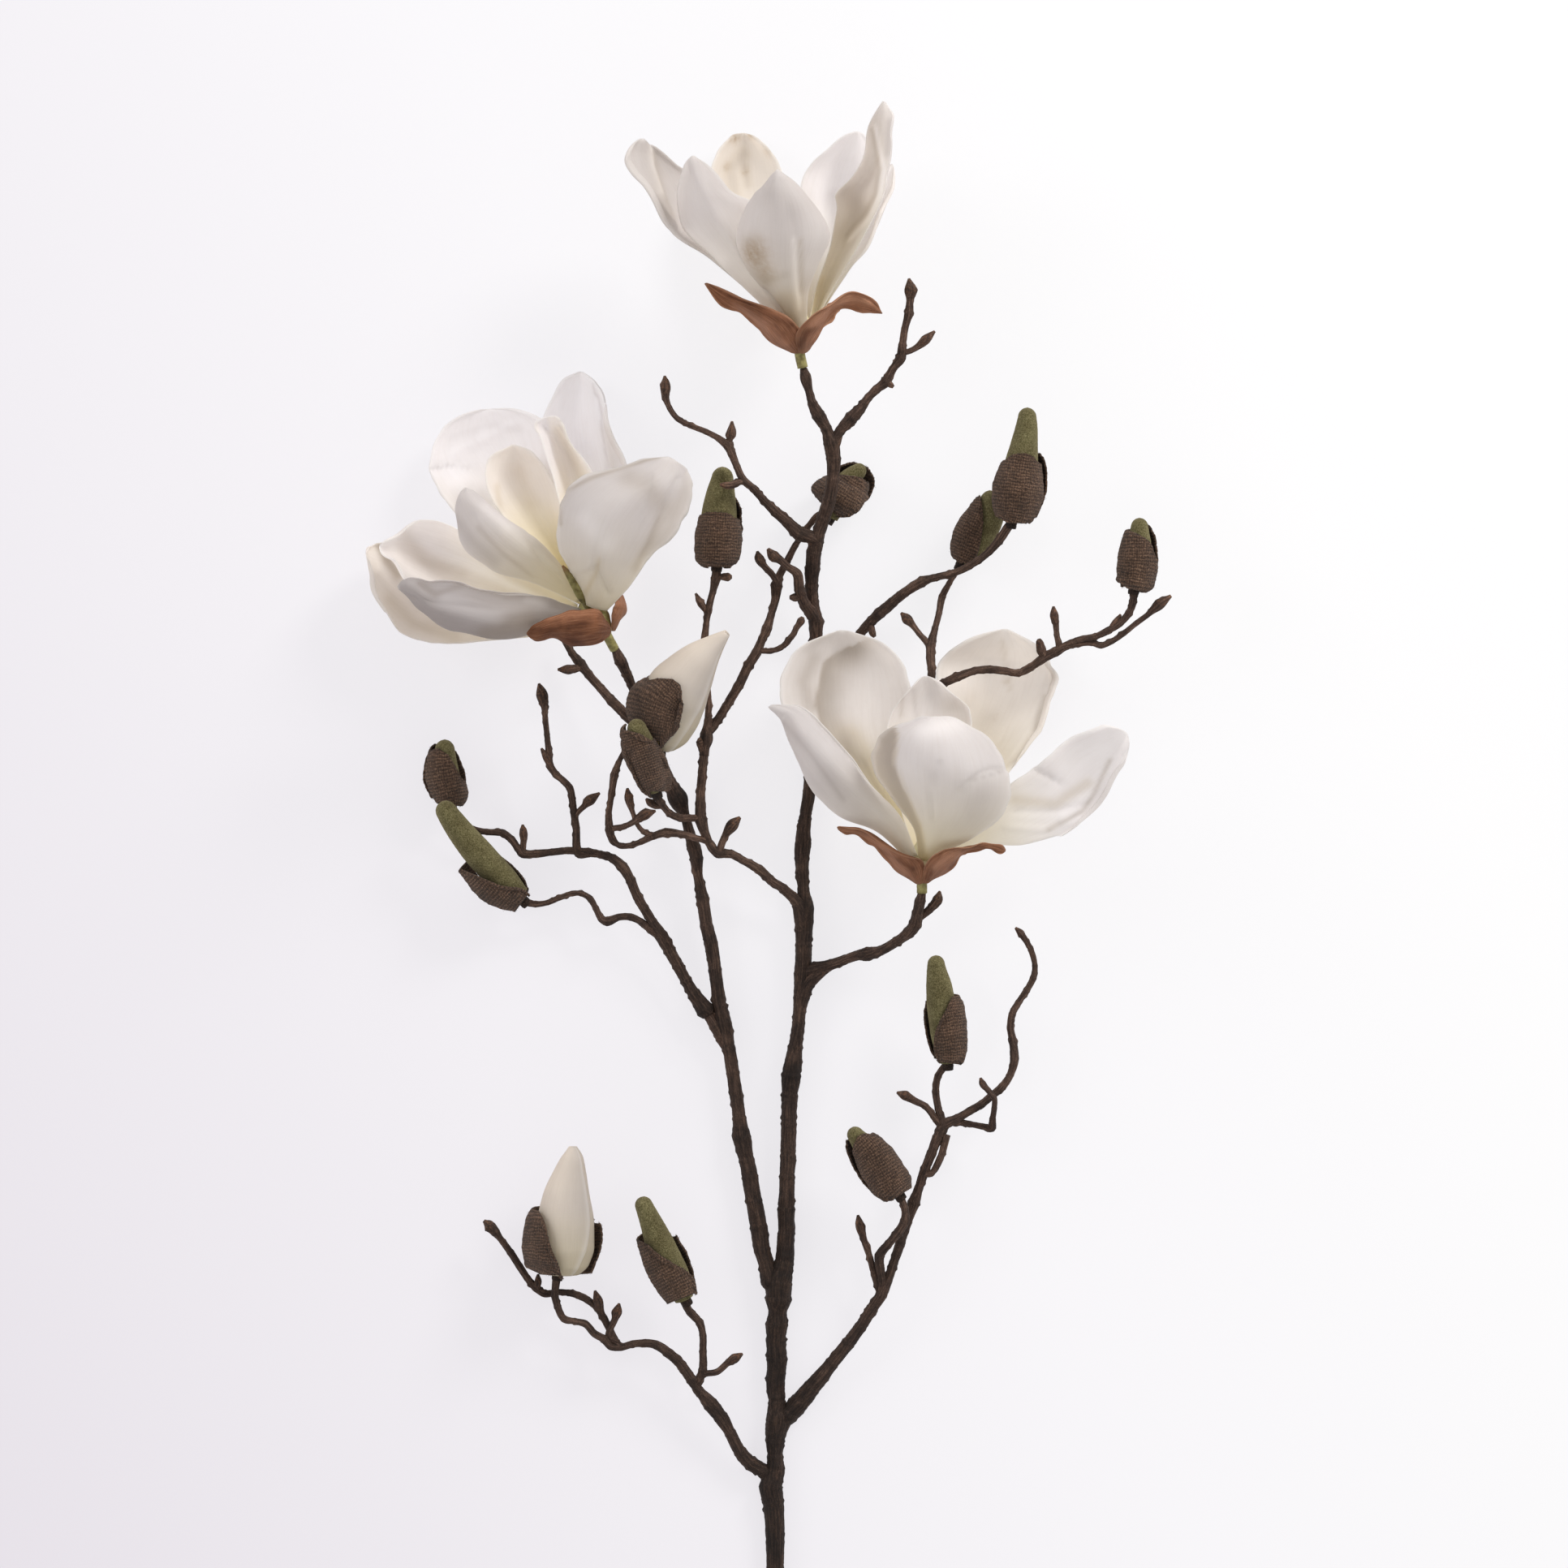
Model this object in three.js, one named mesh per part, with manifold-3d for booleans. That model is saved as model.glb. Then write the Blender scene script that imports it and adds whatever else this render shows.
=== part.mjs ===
// A cut saucer magnolia branch, laid down on a surface: one stem that forks into two leaders, woody
// side sprigs set into it, three open white flowers, two white buds and eleven felted green buds.
//
// Millimetres, +Z up. The branch lies in the XY plane, its cut end towards -Y. The origin is under
// the middle of the whole branch, on the surface that it lies on. Every point of an outline is given
// as [across, down, height]: across and down are the place on the reference picture, height is the
// real height over the surface. place() turns such a point into a real one.

import * as THREE from "three";
import * as BufferGeometryUtils from "three/addons/utils/BufferGeometryUtils.js";
import Module from "manifold-3d";

const wasm = await Module();
wasm.setup();

// Driving dimensions, in millimetres.
const EYE_HEIGHT = 1825; // the height that the branch is seen from
const VIEW_WIDTH = 657; // the width of surface that the picture spans
const PICTURE_WIDTH = 1932; // the same width in steps of the picture
const EYE_X = 7; // the middle of the picture over the origin
const EYE_Y = 55.8;
const LOWER = 0.18; // brings the lowest point down to the surface
const PETAL_THICKNESS = 1.0;
const SEPAL_THICKNESS = 0.9;
const CLEARANCE = 0.3; // between pieces that touch

const PETAL_STEPS = { along: 9, across: 5 };
const SEPAL_STEPS = { along: 7, across: 3 };
const STEM_SIDES = 9;
const TWIG_SIDES = 6;
const BUD_SIDES = 10;
const TWIG_WIDTH = 5.5; // a branch that starts thinner than this has fewer sides

const SMALLEST_DETAIL = 0.02; // what a cut leaves smaller than this is smoothed away

const STEP = VIEW_WIDTH / PICTURE_WIDTH;

// The wood. Each piece is a list of branches, the first its own stem, and each branch is rows of
// [across, down, height, width], from where it starts to its tip or tip bud.
const WOOD = {
  main_stem: [
    [
      [957, 2108, 4.2, 23], [955, 2045, 4.3, 22], [954, 1985, 4.4, 22], [955, 1932, 4.5, 22],
      [955, 1900, 4.6, 23], [953, 1850, 4.7, 26], [950, 1832, 4.8, 29], [955, 1813, 4.8, 22],
      [955, 1795, 4.9, 20], [955, 1775, 5, 24], [958, 1750, 5, 29], [957, 1728, 5, 21],
      [956, 1705, 5.2, 23], [957, 1675, 5.3, 25], [956, 1650, 5.4, 24], [957, 1632, 5.5, 27],
      [958, 1617, 5.6, 23], [959, 1600, 5.8, 32], [960, 1580, 6, 32], [966, 1556, 6.2, 24],
      [969, 1520, 6.4, 21], [969, 1490, 6.5, 21], [970, 1450, 6.6, 19], [971, 1425, 6.7, 19],
      [972, 1385, 6.8, 19], [973, 1350, 7, 20], [975, 1325, 7.2, 24], [980, 1290, 7.6, 18],
      [984, 1260, 7.8, 16], [986, 1230, 8, 17], [989, 1200, 8.2, 21], [990, 1165, 8.4, 20],
      [991, 1122, 8.6, 24], [990, 1095, 8.6, 15], [988, 1058, 8.4, 18], [989, 1040, 8.3, 20],
      [992, 1008, 8, 15], [997, 975, 7.6, 16], [1001, 930, 7, 16], [1003, 880, 6.6, 15],
      [1004, 830, 7, 16], [1005, 790, 8.6, 16], [1005, 765, 10.5, 18], [1001, 742, 13, 16],
      [1000, 722, 15.5, 16], [1001, 700, 19, 18], [1003, 680, 22, 18], [1008, 660, 25, 16],
      [1015, 638, 28, 16], [1022, 615, 31, 16], [1026, 590, 34, 15], [1027, 565, 36.5, 18],
      [1024, 545, 38.5, 19], [1018, 528, 40, 14], [1008, 511, 42, 16], [1001, 497, 44, 12],
      [997, 482, 46, 10], [993, 467, 48, 14], [990, 454, 49.5, 9],
    ],
  ],
  left_leader: [
    [
      [956, 1588, 6, 20], [949, 1578, 6, 23], [945, 1560, 6.2, 20], [939, 1540, 6.4, 20],
      [935, 1512, 6.6, 22], [929, 1480, 6.8, 20], [924, 1450, 6.9, 20], [920, 1430, 7, 19],
      [914, 1402, 7.1, 22], [911, 1378, 7.2, 17], [903, 1322, 7.4, 16], [898, 1292, 7.5, 16],
      [892, 1263, 7.7, 20], [887, 1240, 7.8, 18], [881, 1195, 8, 16], [876, 1162, 8.2, 17],
      [871, 1142, 8.4, 16], [865, 1104, 8.7, 15], [860, 1079, 9, 12], [858, 1058, 9.1, 17],
      [855, 1044, 9.3, 17], [850, 1028, 9.6, 13], [845, 1008, 10.4, 12], [835, 984, 12, 24],
      [825, 963, 13.5, 15], [808, 925, 16.5, 14], [795, 890, 21, 13], [783, 855, 28, 11],
      [772, 830, 36, 12], [765, 815, 41, 15], [758, 800, 46, 10],
    ],
  ],
  short_twig: [
    [
      [790, 898, 20, 13], [770, 880, 18, 13], [755, 865, 16, 12], [740, 848, 14, 11], [725, 831, 12, 11],
      [715, 818, 10, 13], [705, 805, 9, 9], [696, 789, 8, 9],
    ],
    [
      [717, 824, 11, 6], [708, 824, 12, 10], [700, 825, 12, 12], [687, 825, 12, 3],
    ],
  ],
  lower_left_sprig: [
    [
      [951, 1822, 4.8, 16], [940, 1812, 5, 18], [925, 1803, 6, 18], [912, 1789, 7, 16],
      [900, 1766, 8.5, 14], [888, 1746, 10, 18], [875, 1730, 11, 18], [861, 1713, 12, 12],
      [852, 1700, 13, 13], [840, 1683, 14, 12], [825, 1668, 15, 12], [808, 1657, 15.5, 11],
      [795, 1655, 16, 10], [780, 1656, 16, 9], [765, 1660, 16, 9], [752, 1659, 16.5, 9],
      [744, 1650, 17, 10], [732, 1643, 17.5, 9], [721, 1631, 18.5, 9], [708, 1628, 19, 8],
      [695, 1625, 19.5, 9], [687, 1610, 20, 9], [684, 1595, 20.5, 9], [686, 1573, 21, 11],
    ],
    [
      [765, 1659, 16, 8], [752, 1640, 15, 9], [744, 1624, 14, 9], [736, 1612, 14, 9], [724, 1602, 14, 9],
      [712, 1596, 14, 9], [700, 1593, 14, 8], [686, 1592, 13.5, 8], [672, 1594, 13.5, 9],
      [660, 1587, 13.5, 9], [650, 1575, 14, 9], [640, 1560, 14, 9], [629, 1543, 14.5, 9],
      [617, 1527, 15, 8], [611, 1519, 15, 11], [605, 1512, 15, 14], [596, 1504, 15, 4],
    ],
    [
      [663, 1588, 14, 6], [663, 1579, 15, 9], [663, 1570, 15.5, 3],
    ],
    [
      [741, 1616, 15, 7], [737, 1603, 16, 12], [733, 1590, 16, 3],
    ],
    [
      [750, 1646, 16, 8], [757, 1627, 17, 8], [760, 1617, 17.5, 13], [763, 1606, 18, 3],
    ],
    [
      [858, 1711, 12, 10], [862, 1700, 12.5, 11], [866, 1688, 13, 11], [866, 1665, 14, 9],
      [866, 1645, 15, 9], [862, 1630, 16, 10], [850, 1616, 17.5, 10], [842, 1603, 19, 9],
    ],
    [
      [866, 1694, 13, 8], [884, 1690, 14, 8], [896, 1680, 15, 8], [905, 1674, 15.5, 12],
      [915, 1668, 16, 3],
    ],
  ],
  lower_right_sprig: [
    [
      [958, 1756, 5, 18], [972, 1742, 5.4, 24], [985, 1728, 6, 24], [1000, 1710, 7, 21],
      [1025, 1680, 8.5, 17], [1045, 1655, 10, 16], [1060, 1635, 11, 15], [1075, 1612, 12, 14],
      [1086, 1595, 13, 14], [1094, 1578, 13.5, 11], [1101, 1556, 14, 11], [1110, 1530, 15, 12],
      [1118, 1505, 15.5, 12], [1126, 1482, 16, 15], [1132, 1464, 16, 11], [1140, 1440, 16, 12],
      [1148, 1420, 16.5, 12], [1155, 1402, 17, 13], [1163, 1387, 17, 14], [1180, 1378, 17, 11],
      [1195, 1369, 17, 10], [1210, 1360, 17, 10], [1222, 1350, 17, 10], [1235, 1339, 17.5, 10],
      [1245, 1324, 18, 9], [1250, 1304, 18, 11], [1248, 1284, 18.5, 10], [1245, 1265, 19, 9],
      [1247, 1250, 19, 9], [1255, 1235, 19.5, 8], [1265, 1220, 20, 8], [1273, 1205, 20, 8],
      [1275, 1190, 20.5, 7], [1270, 1170, 21, 7], [1262, 1156, 21.5, 7], [1258, 1150, 22, 9],
      [1251, 1143, 22, 3],
    ],
    [
      [1085, 1594, 13, 11], [1086, 1575, 14.5, 11], [1084, 1560, 17, 11], [1084, 1547, 19, 12],
      [1095, 1532, 22, 10], [1107, 1518, 23.5, 11], [1115, 1504, 24, 12], [1115, 1490, 24, 9],
      [1108, 1471, 24, 9],
    ],
    [
      [1137, 1448, 16.5, 7], [1147, 1446, 17, 8], [1158, 1428, 17.5, 9], [1167, 1398, 17.5, 9],
    ],
    [
      [1083, 1600, 12.5, 7], [1077, 1570, 14, 8], [1072, 1550, 15, 8], [1065, 1529, 16, 8],
      [1060, 1511, 17, 12], [1057, 1497, 17, 3],
    ],
    [
      [1162, 1390, 17, 11], [1156, 1366, 18, 9], [1153, 1345, 19, 9], [1156, 1326, 20, 9],
      [1166, 1311, 21, 9],
    ],
    [
      [1161, 1389, 17, 8], [1150, 1375, 18, 8], [1140, 1363, 19, 8], [1128, 1357, 20, 9],
      [1115, 1350, 21, 12], [1105, 1346, 21.5, 3],
    ],
    [
      [1165, 1386, 17, 9], [1180, 1383, 16, 9], [1195, 1385, 15.5, 8], [1210, 1388, 16, 8],
      [1222, 1390, 17, 10], [1223, 1379, 19.5, 8], [1225, 1366, 22.5, 7], [1225, 1353, 24.5, 7],
      [1218, 1344, 24.5, 7], [1211, 1336, 24.5, 9], [1208, 1328, 24.5, 3],
    ],
  ],
  mid_left_sprig: [
    [
      [887, 1252, 7.8, 12], [880, 1247, 8, 16], [867, 1239, 8.5, 18], [855, 1225, 9, 16],
      [845, 1208, 9.5, 14], [835, 1190, 10, 14], [825, 1171, 11, 15], [815, 1153, 12.5, 16],
      [804, 1136, 13.5, 12], [785, 1104, 15, 12], [777, 1085, 15.5, 12], [767, 1068, 16, 13],
      [755, 1058, 16, 11], [740, 1053, 16, 10], [720, 1050, 16, 11], [700, 1048, 16, 9],
      [680, 1050, 15, 9], [660, 1052, 14.5, 10], [645, 1052, 14, 10], [638, 1045, 14, 9],
      [630, 1034, 13.5, 9], [620, 1027, 13, 9], [600, 1025, 12.5, 8], [583, 1022, 12, 9],
      [570, 1013, 12.5, 8], [557, 999, 13, 9],
    ],
    [
      [713, 1050, 16, 11], [710, 1020, 17.5, 9], [707, 1000, 18.5, 9], [705, 984, 19.5, 9],
      [702, 971, 20.5, 9], [694, 962, 21, 8], [685, 954, 21.5, 9], [678, 943, 22, 9],
      [676, 925, 22.5, 8], [674, 905, 23, 7], [672, 885, 23.5, 7], [671, 871, 24, 9],
      [668, 857, 24.5, 15], [664, 842, 25, 3],
    ],
    [
      [710, 1004, 18.5, 6], [720, 993, 19, 8], [727, 986, 19.5, 13], [739, 977, 20, 3],
    ],
    [
      [680, 946, 22, 7], [674, 934, 23, 10], [667, 922, 24, 3],
    ],
    [
      [645, 1050, 14, 8], [645, 1036, 15, 8], [645, 1028, 15.5, 11], [644, 1016, 16, 3],
    ],
    [
      [812, 1153, 12.5, 11], [802, 1145, 13, 11], [790, 1136, 13.5, 9], [777, 1130, 14, 9],
      [763, 1130, 14, 9], [748, 1135, 14, 12], [741, 1132, 14, 9], [734, 1119, 14, 8],
      [727, 1107, 14.5, 8], [716, 1101, 15, 7], [705, 1101, 15, 7], [690, 1106, 15, 7],
      [675, 1112, 15, 7], [660, 1114, 15, 8], [646, 1111, 15, 10],
    ],
  ],
  middle_sprig: [
    [
      [990, 1135, 9, 18], [983, 1113, 11.5, 14], [965, 1095, 13.5, 12], [950, 1085, 15, 11],
      [935, 1071, 16.5, 12], [915, 1060, 17.5, 10], [900, 1052, 18, 10], [885, 1051, 18.5, 12],
      [877, 1044, 18.5, 10], [870, 1030, 18.5, 11], [864, 1010, 19, 15], [863, 990, 19, 13],
      [864, 972, 19, 11], [866, 948, 19.5, 11], [868, 925, 20, 11], [870, 911, 20, 17],
      [872, 888, 20.5, 9], [873, 865, 20.5, 8], [870, 830, 21, 8], [868, 795, 22, 10], [870, 770, 23, 8],
      [873, 750, 24, 9], [878, 730, 25, 8], [882, 713, 26, 12], [883, 702, 26.5, 11],
    ],
    [
      [888, 1050, 18.5, 9], [893, 1031, 20, 9], [902, 1017, 21.5, 15], [912, 1007, 22, 4],
    ],
    [
      [864, 1010, 19, 10], [850, 1008, 20.5, 9], [838, 1008, 22.5, 9], [825, 1002, 26, 9],
      [815, 990, 31, 9], [808, 979, 35.5, 10],
    ],
    [
      [816, 994, 30, 6], [808, 993, 31, 8], [801, 989, 31.5, 10], [796, 984, 32, 3],
    ],
    [
      [868, 912, 20, 12], [862, 915, 20.5, 11], [858, 916, 20.5, 4],
    ],
    [
      [883, 709, 26, 6], [889, 711, 26.5, 7], [897, 711, 27, 11], [902, 711, 27, 4],
    ],
    [
      [871, 755, 23.5, 6], [864, 744, 24.5, 9], [857, 731, 25, 3],
    ],
    [
      [870, 908, 20, 11], [880, 894, 19, 11], [895, 870, 19, 11], [910, 845, 19, 12], [922, 820, 19, 12],
      [932, 804, 19, 12], [940, 786, 19, 10], [945, 774, 19, 12], [950, 758, 18.5, 9],
      [955, 740, 18, 10], [957, 722, 17, 14], [959, 712, 16.5, 10], [968, 695, 15, 9], [980, 672, 13, 8],
      [995, 650, 11.5, 8], [1010, 634, 11, 8], [1021, 640, 11, 9],
    ],
    [
      [957, 718, 17.5, 9], [950, 706, 18.5, 8], [943, 699, 19, 8], [936, 689, 19.5, 12],
      [933, 679, 19.5, 3],
    ],
    [
      [933, 803, 19, 7], [950, 802, 20, 7], [962, 798, 20.5, 7], [975, 785, 21, 7], [982, 773, 21, 7],
      [987, 765, 21, 10], [989, 760, 21, 4],
    ],
    [
      [874, 1038, 18.5, 8], [855, 1032, 18.5, 8], [840, 1028, 18.5, 9], [820, 1026, 18.5, 11],
      [805, 1030, 18.5, 9], [790, 1037, 18.5, 8], [775, 1042, 18.5, 7], [764, 1042, 18.5, 7],
      [755, 1035, 18.5, 9], [751, 1022, 18.5, 11], [750, 1005, 19, 8], [752, 990, 19, 7],
      [754, 975, 19.5, 8], [757, 955, 20, 10], [762, 940, 20.5, 7], [769, 926, 21, 6],
    ],
    [
      [752, 1023, 18.5, 8], [770, 1018, 20, 7], [784, 1011, 21, 8], [794, 1004, 22, 13],
      [808, 999, 22, 3],
    ],
    [
      [802, 1029, 18.5, 7], [788, 1020, 19.5, 6], [780, 1002, 20.5, 6], [775, 984, 21, 11],
      [773, 971, 21.5, 3],
    ],
  ],
  hooked_twig: [
    [
      [1006, 772, 10, 14], [1001, 758, 13, 15], [992, 745, 17, 14], [985, 726, 22, 13],
      [982, 707, 25, 12], [970, 698, 27, 9], [961, 690, 28.5, 10], [953, 685, 29, 14], [946, 676, 29, 4],
    ],
    [
      [987, 735, 20, 8], [980, 736, 21, 11], [973, 736, 21.5, 5],
    ],
  ],
  upper_left_sprig: [
    [
      [1007, 668, 24, 14], [999, 662, 25.5, 16], [985, 657, 27, 18], [970, 643, 29, 14],
      [955, 630, 31.5, 13], [940, 615, 34.5, 10], [928, 602, 37.5, 10], [915, 590, 40, 10],
      [908, 575, 41.5, 9], [902, 560, 42, 10], [897, 550, 42, 11], [885, 540, 42, 8],
      [870, 532, 41.5, 7], [850, 524, 41, 7], [835, 516, 40.5, 7], [825, 503, 40, 7], [820, 489, 40, 9],
      [820, 477, 40, 13], [819, 463, 40, 3],
    ],
    [
      [898, 552, 42, 7], [899, 541, 42.5, 8], [901, 533, 43, 12], [902, 519, 43, 3],
    ],
    [
      [915, 593, 40, 8], [903, 597, 41.5, 9], [895, 598, 42, 9], [887, 597, 42, 3],
    ],
  ],
  right_flower_sprig: [
    [
      [990, 1200, 8.5, 16], [1003, 1194, 9.5, 16], [1020, 1190, 12, 14], [1040, 1183, 16, 12],
      [1057, 1177, 20, 13], [1070, 1175, 23.5, 17], [1085, 1171, 27.5, 12], [1105, 1160, 33.5, 12],
      [1120, 1149, 38.5, 15], [1128, 1138, 42.5, 16], [1131, 1124, 46.5, 14], [1134, 1110, 50, 13],
      [1136, 1100, 52, 10],
    ],
    [
      [1131, 1133, 43.5, 9], [1145, 1121, 46, 10], [1155, 1109, 48, 13], [1158, 1098, 49, 3],
    ],
  ],
  right_sprig: [
    [
      [1003, 905, 6.5, 12], [1015, 880, 5.6, 12], [1032, 840, 5, 12], [1046, 808, 6, 12],
      [1060, 781, 8.5, 12], [1074, 765, 11, 13], [1085, 755, 13, 14], [1100, 742, 15.5, 13],
      [1115, 730, 18, 12], [1136, 717, 21, 13], [1150, 712, 23, 9], [1175, 706, 26, 9],
      [1195, 697, 28.5, 9], [1215, 683, 31, 9], [1230, 667, 33, 11], [1243, 648, 34.5, 11],
    ],
    [
      [1072, 770, 11, 7], [1075, 780, 11.5, 9], [1078, 785, 11.5, 4],
    ],
  ],
  outer_right_sprig: [
    [
      [1001, 955, 7, 12], [1022, 944, 5.8, 12], [1055, 930, 5, 12], [1092, 910, 6, 12],
      [1122, 884, 11, 12], [1137, 864, 18, 12], [1150, 850, 24, 11], [1163, 842, 28.5, 11],
      [1180, 834, 30, 11], [1200, 827, 30.5, 9], [1220, 825, 30.5, 10], [1240, 827, 30.5, 9],
      [1255, 829, 30.5, 9], [1270, 822, 31, 10], [1284, 812, 31.5, 11], [1300, 803, 32, 12],
      [1315, 796, 33, 9], [1330, 793, 33.5, 8], [1345, 792, 34, 8], [1357, 795, 34.5, 8],
      [1370, 790, 35, 7], [1385, 780, 35.5, 7], [1400, 768, 36, 7], [1416, 756, 37, 7],
      [1428, 745, 37.5, 13], [1443, 734, 38, 4],
    ],
    [
      [1138, 863, 19, 11], [1146, 845, 24, 11], [1148, 830, 26, 10], [1147, 813, 25.5, 11],
      [1147, 795, 24, 12], [1152, 775, 22, 8], [1157, 755, 20, 8], [1161, 735, 18, 9],
      [1170, 718, 16, 7], [1181, 699, 14, 8],
    ],
    [
      [1145, 797, 24, 8], [1132, 780, 24.5, 7], [1125, 771, 25, 8], [1118, 763, 25, 13],
      [1110, 755, 25, 3],
    ],
    [
      [1300, 802, 32, 9], [1320, 792, 33.5, 8], [1335, 787, 35, 8], [1350, 784, 36, 8],
      [1365, 777, 37, 9], [1380, 768, 38, 9], [1391, 755, 39, 9], [1396, 741, 40, 10],
      [1397, 728, 40.5, 11],
    ],
    [
      [1367, 777, 37, 7], [1374, 767, 37.5, 8], [1381, 757, 38, 3],
    ],
    [
      [1286, 812, 31.5, 8], [1283, 800, 32.5, 12], [1281, 791, 33, 9], [1280, 787, 33, 4],
    ],
    [
      [1305, 800, 32, 8], [1302, 782, 33, 7], [1301, 769, 33.5, 8], [1299, 759, 34, 11],
      [1298, 747, 34, 3],
    ],
  ],
  top_right_twig: [
    [
      [1026, 549, 38.5, 12], [1035, 531, 40, 13], [1049, 515, 41.5, 16], [1060, 504, 42.5, 13],
      [1070, 490, 43, 10], [1080, 480, 44, 11], [1092, 470, 45, 13], [1100, 455, 46, 10],
      [1110, 440, 47, 13], [1112, 425, 48, 10], [1115, 405, 49, 9], [1120, 385, 50, 11],
      [1121, 371, 50.5, 9], [1122, 358, 51, 16], [1120, 343, 51, 3],
    ],
    [
      [1111, 436, 47, 8], [1122, 432, 47.5, 7], [1131, 427, 48, 8], [1140, 419, 48.5, 12],
      [1152, 408, 49, 3],
    ],
    [
      [1092, 470, 45, 8], [1097, 474, 45.5, 8], [1101, 477, 45.5, 4],
    ],
  ],
};

// The green stalk and the flower's core, from the wood up.
const STALKS = {
  flower_1_stalk: [
    [989, 453, 50.3, 13], [985, 433, 51.5, 13], [985, 424, 51.8, 26], [985, 410, 52, 32],
    [985, 396, 52, 26], [985, 380, 52, 10],
  ],
  flower_2_stalk: [
    [757, 799.5, 47, 12], [748, 783, 51, 12], [745, 776, 52, 20], [736, 764, 53, 34], [726, 751, 54, 32],
    [724, 747, 57, 9], [715, 732, 63, 12], [705, 716, 66.5, 9], [698, 704, 68, 7], [693, 697, 68.5, 2.5],
  ],
  flower_3_stalk: [
    [1136, 1100, 52.2, 13], [1136, 1088, 53, 13], [1136, 1080, 53, 28], [1137, 1064, 53, 38],
    [1138, 1050, 53, 32], [1137, 1034, 53, 12],
  ],
};

// Felted buds and white buds, from the stem to the tip.
const BUDS = {
  bud_1: [
    [1246, 646, 35, 16], [1250, 637, 35, 44], [1254, 605, 37, 62], [1258, 575, 38, 50],
    [1262, 545, 39.5, 35], [1265, 520, 41, 23], [1266, 505, 41.5, 17], [1266, 497, 42, 7],
  ],
  bud_2: [
    [1183, 698, 14, 14], [1188, 687, 14, 33], [1200, 658, 15, 46], [1210, 635, 16, 36],
    [1213, 619, 17, 18], [1213, 610, 17, 7],
  ],
  bud_3: [
    [1021, 641, 11.5, 14], [1026, 632, 12, 38], [1039, 609, 13, 54], [1051, 591, 14, 44],
    [1058, 579, 15, 20], [1061, 572, 15, 7],
  ],
  bud_4: [
    [883, 700, 27, 14], [884, 691, 27, 44], [885, 665, 28, 56], [886, 640, 29, 49], [887, 618, 30, 37],
    [889, 596, 31.5, 28], [890, 582, 32.5, 20], [890, 575, 33, 8],
  ],
  bud_5: [
    [1397, 728, 41, 15], [1399, 716, 41, 38], [1402, 690, 42, 48], [1402, 665, 43, 38],
    [1403, 647, 44, 20], [1403, 632, 45, 8],
  ],
  bud_6: [
    [809, 978, 36, 14], [805, 969, 39, 34], [797, 945, 46, 50], [788, 920, 53, 42], [783, 901, 57.5, 24],
    [780, 887, 60, 8],
  ],
  bud_7: [
    [556, 996, 14, 14], [555, 986, 14, 34], [549, 957, 15, 48], [546, 934, 16, 38], [547, 919, 17, 21],
    [547, 911, 17, 8],
  ],
  bud_8: [
    [646, 1111, 15, 14], [637, 1104, 16, 36], [612, 1081, 18.5, 50], [590, 1057, 20.5, 34],
    [571, 1032, 22.5, 28], [553, 1004, 25.5, 23], [544, 990, 27, 9],
  ],
  bud_9: [
    [1168, 1313, 21.5, 14], [1170, 1304, 22, 36], [1166, 1270, 24, 49], [1161, 1240, 26, 40],
    [1157, 1213, 27.5, 29], [1154, 1193, 29, 21], [1153, 1178, 30, 8],
  ],
  bud_10: [
    [1109, 1474, 24, 14], [1103, 1467, 24, 36], [1086, 1440, 26, 50], [1070, 1415, 28, 40],
    [1056, 1400, 29, 23], [1049, 1392, 30, 8],
  ],
  bud_11: [
    [846, 1604, 20, 14], [843, 1597, 20, 34], [829, 1570, 22, 50], [815, 1541, 25, 41],
    [806, 1516, 27, 29], [797, 1494, 29, 22], [789, 1477, 30, 8],
  ],
  white_bud_1: [
    [813, 932, 36, 14], [814, 920, 38, 44], [817, 892, 41, 74], [825, 868, 44, 84], [842, 848, 48, 72],
    [861, 825, 51, 50], [881, 800, 54, 25], [895, 783, 56, 6],
  ],
  white_bud_2: [
    [687, 1573, 21.5, 14], [690, 1564, 22, 62], [693, 1537, 22, 92], [694, 1507, 23, 84],
    [699, 1475, 24, 60], [704, 1446, 25, 38], [706, 1425, 26, 21], [706, 1412, 26, 6],
  ],
};

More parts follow.
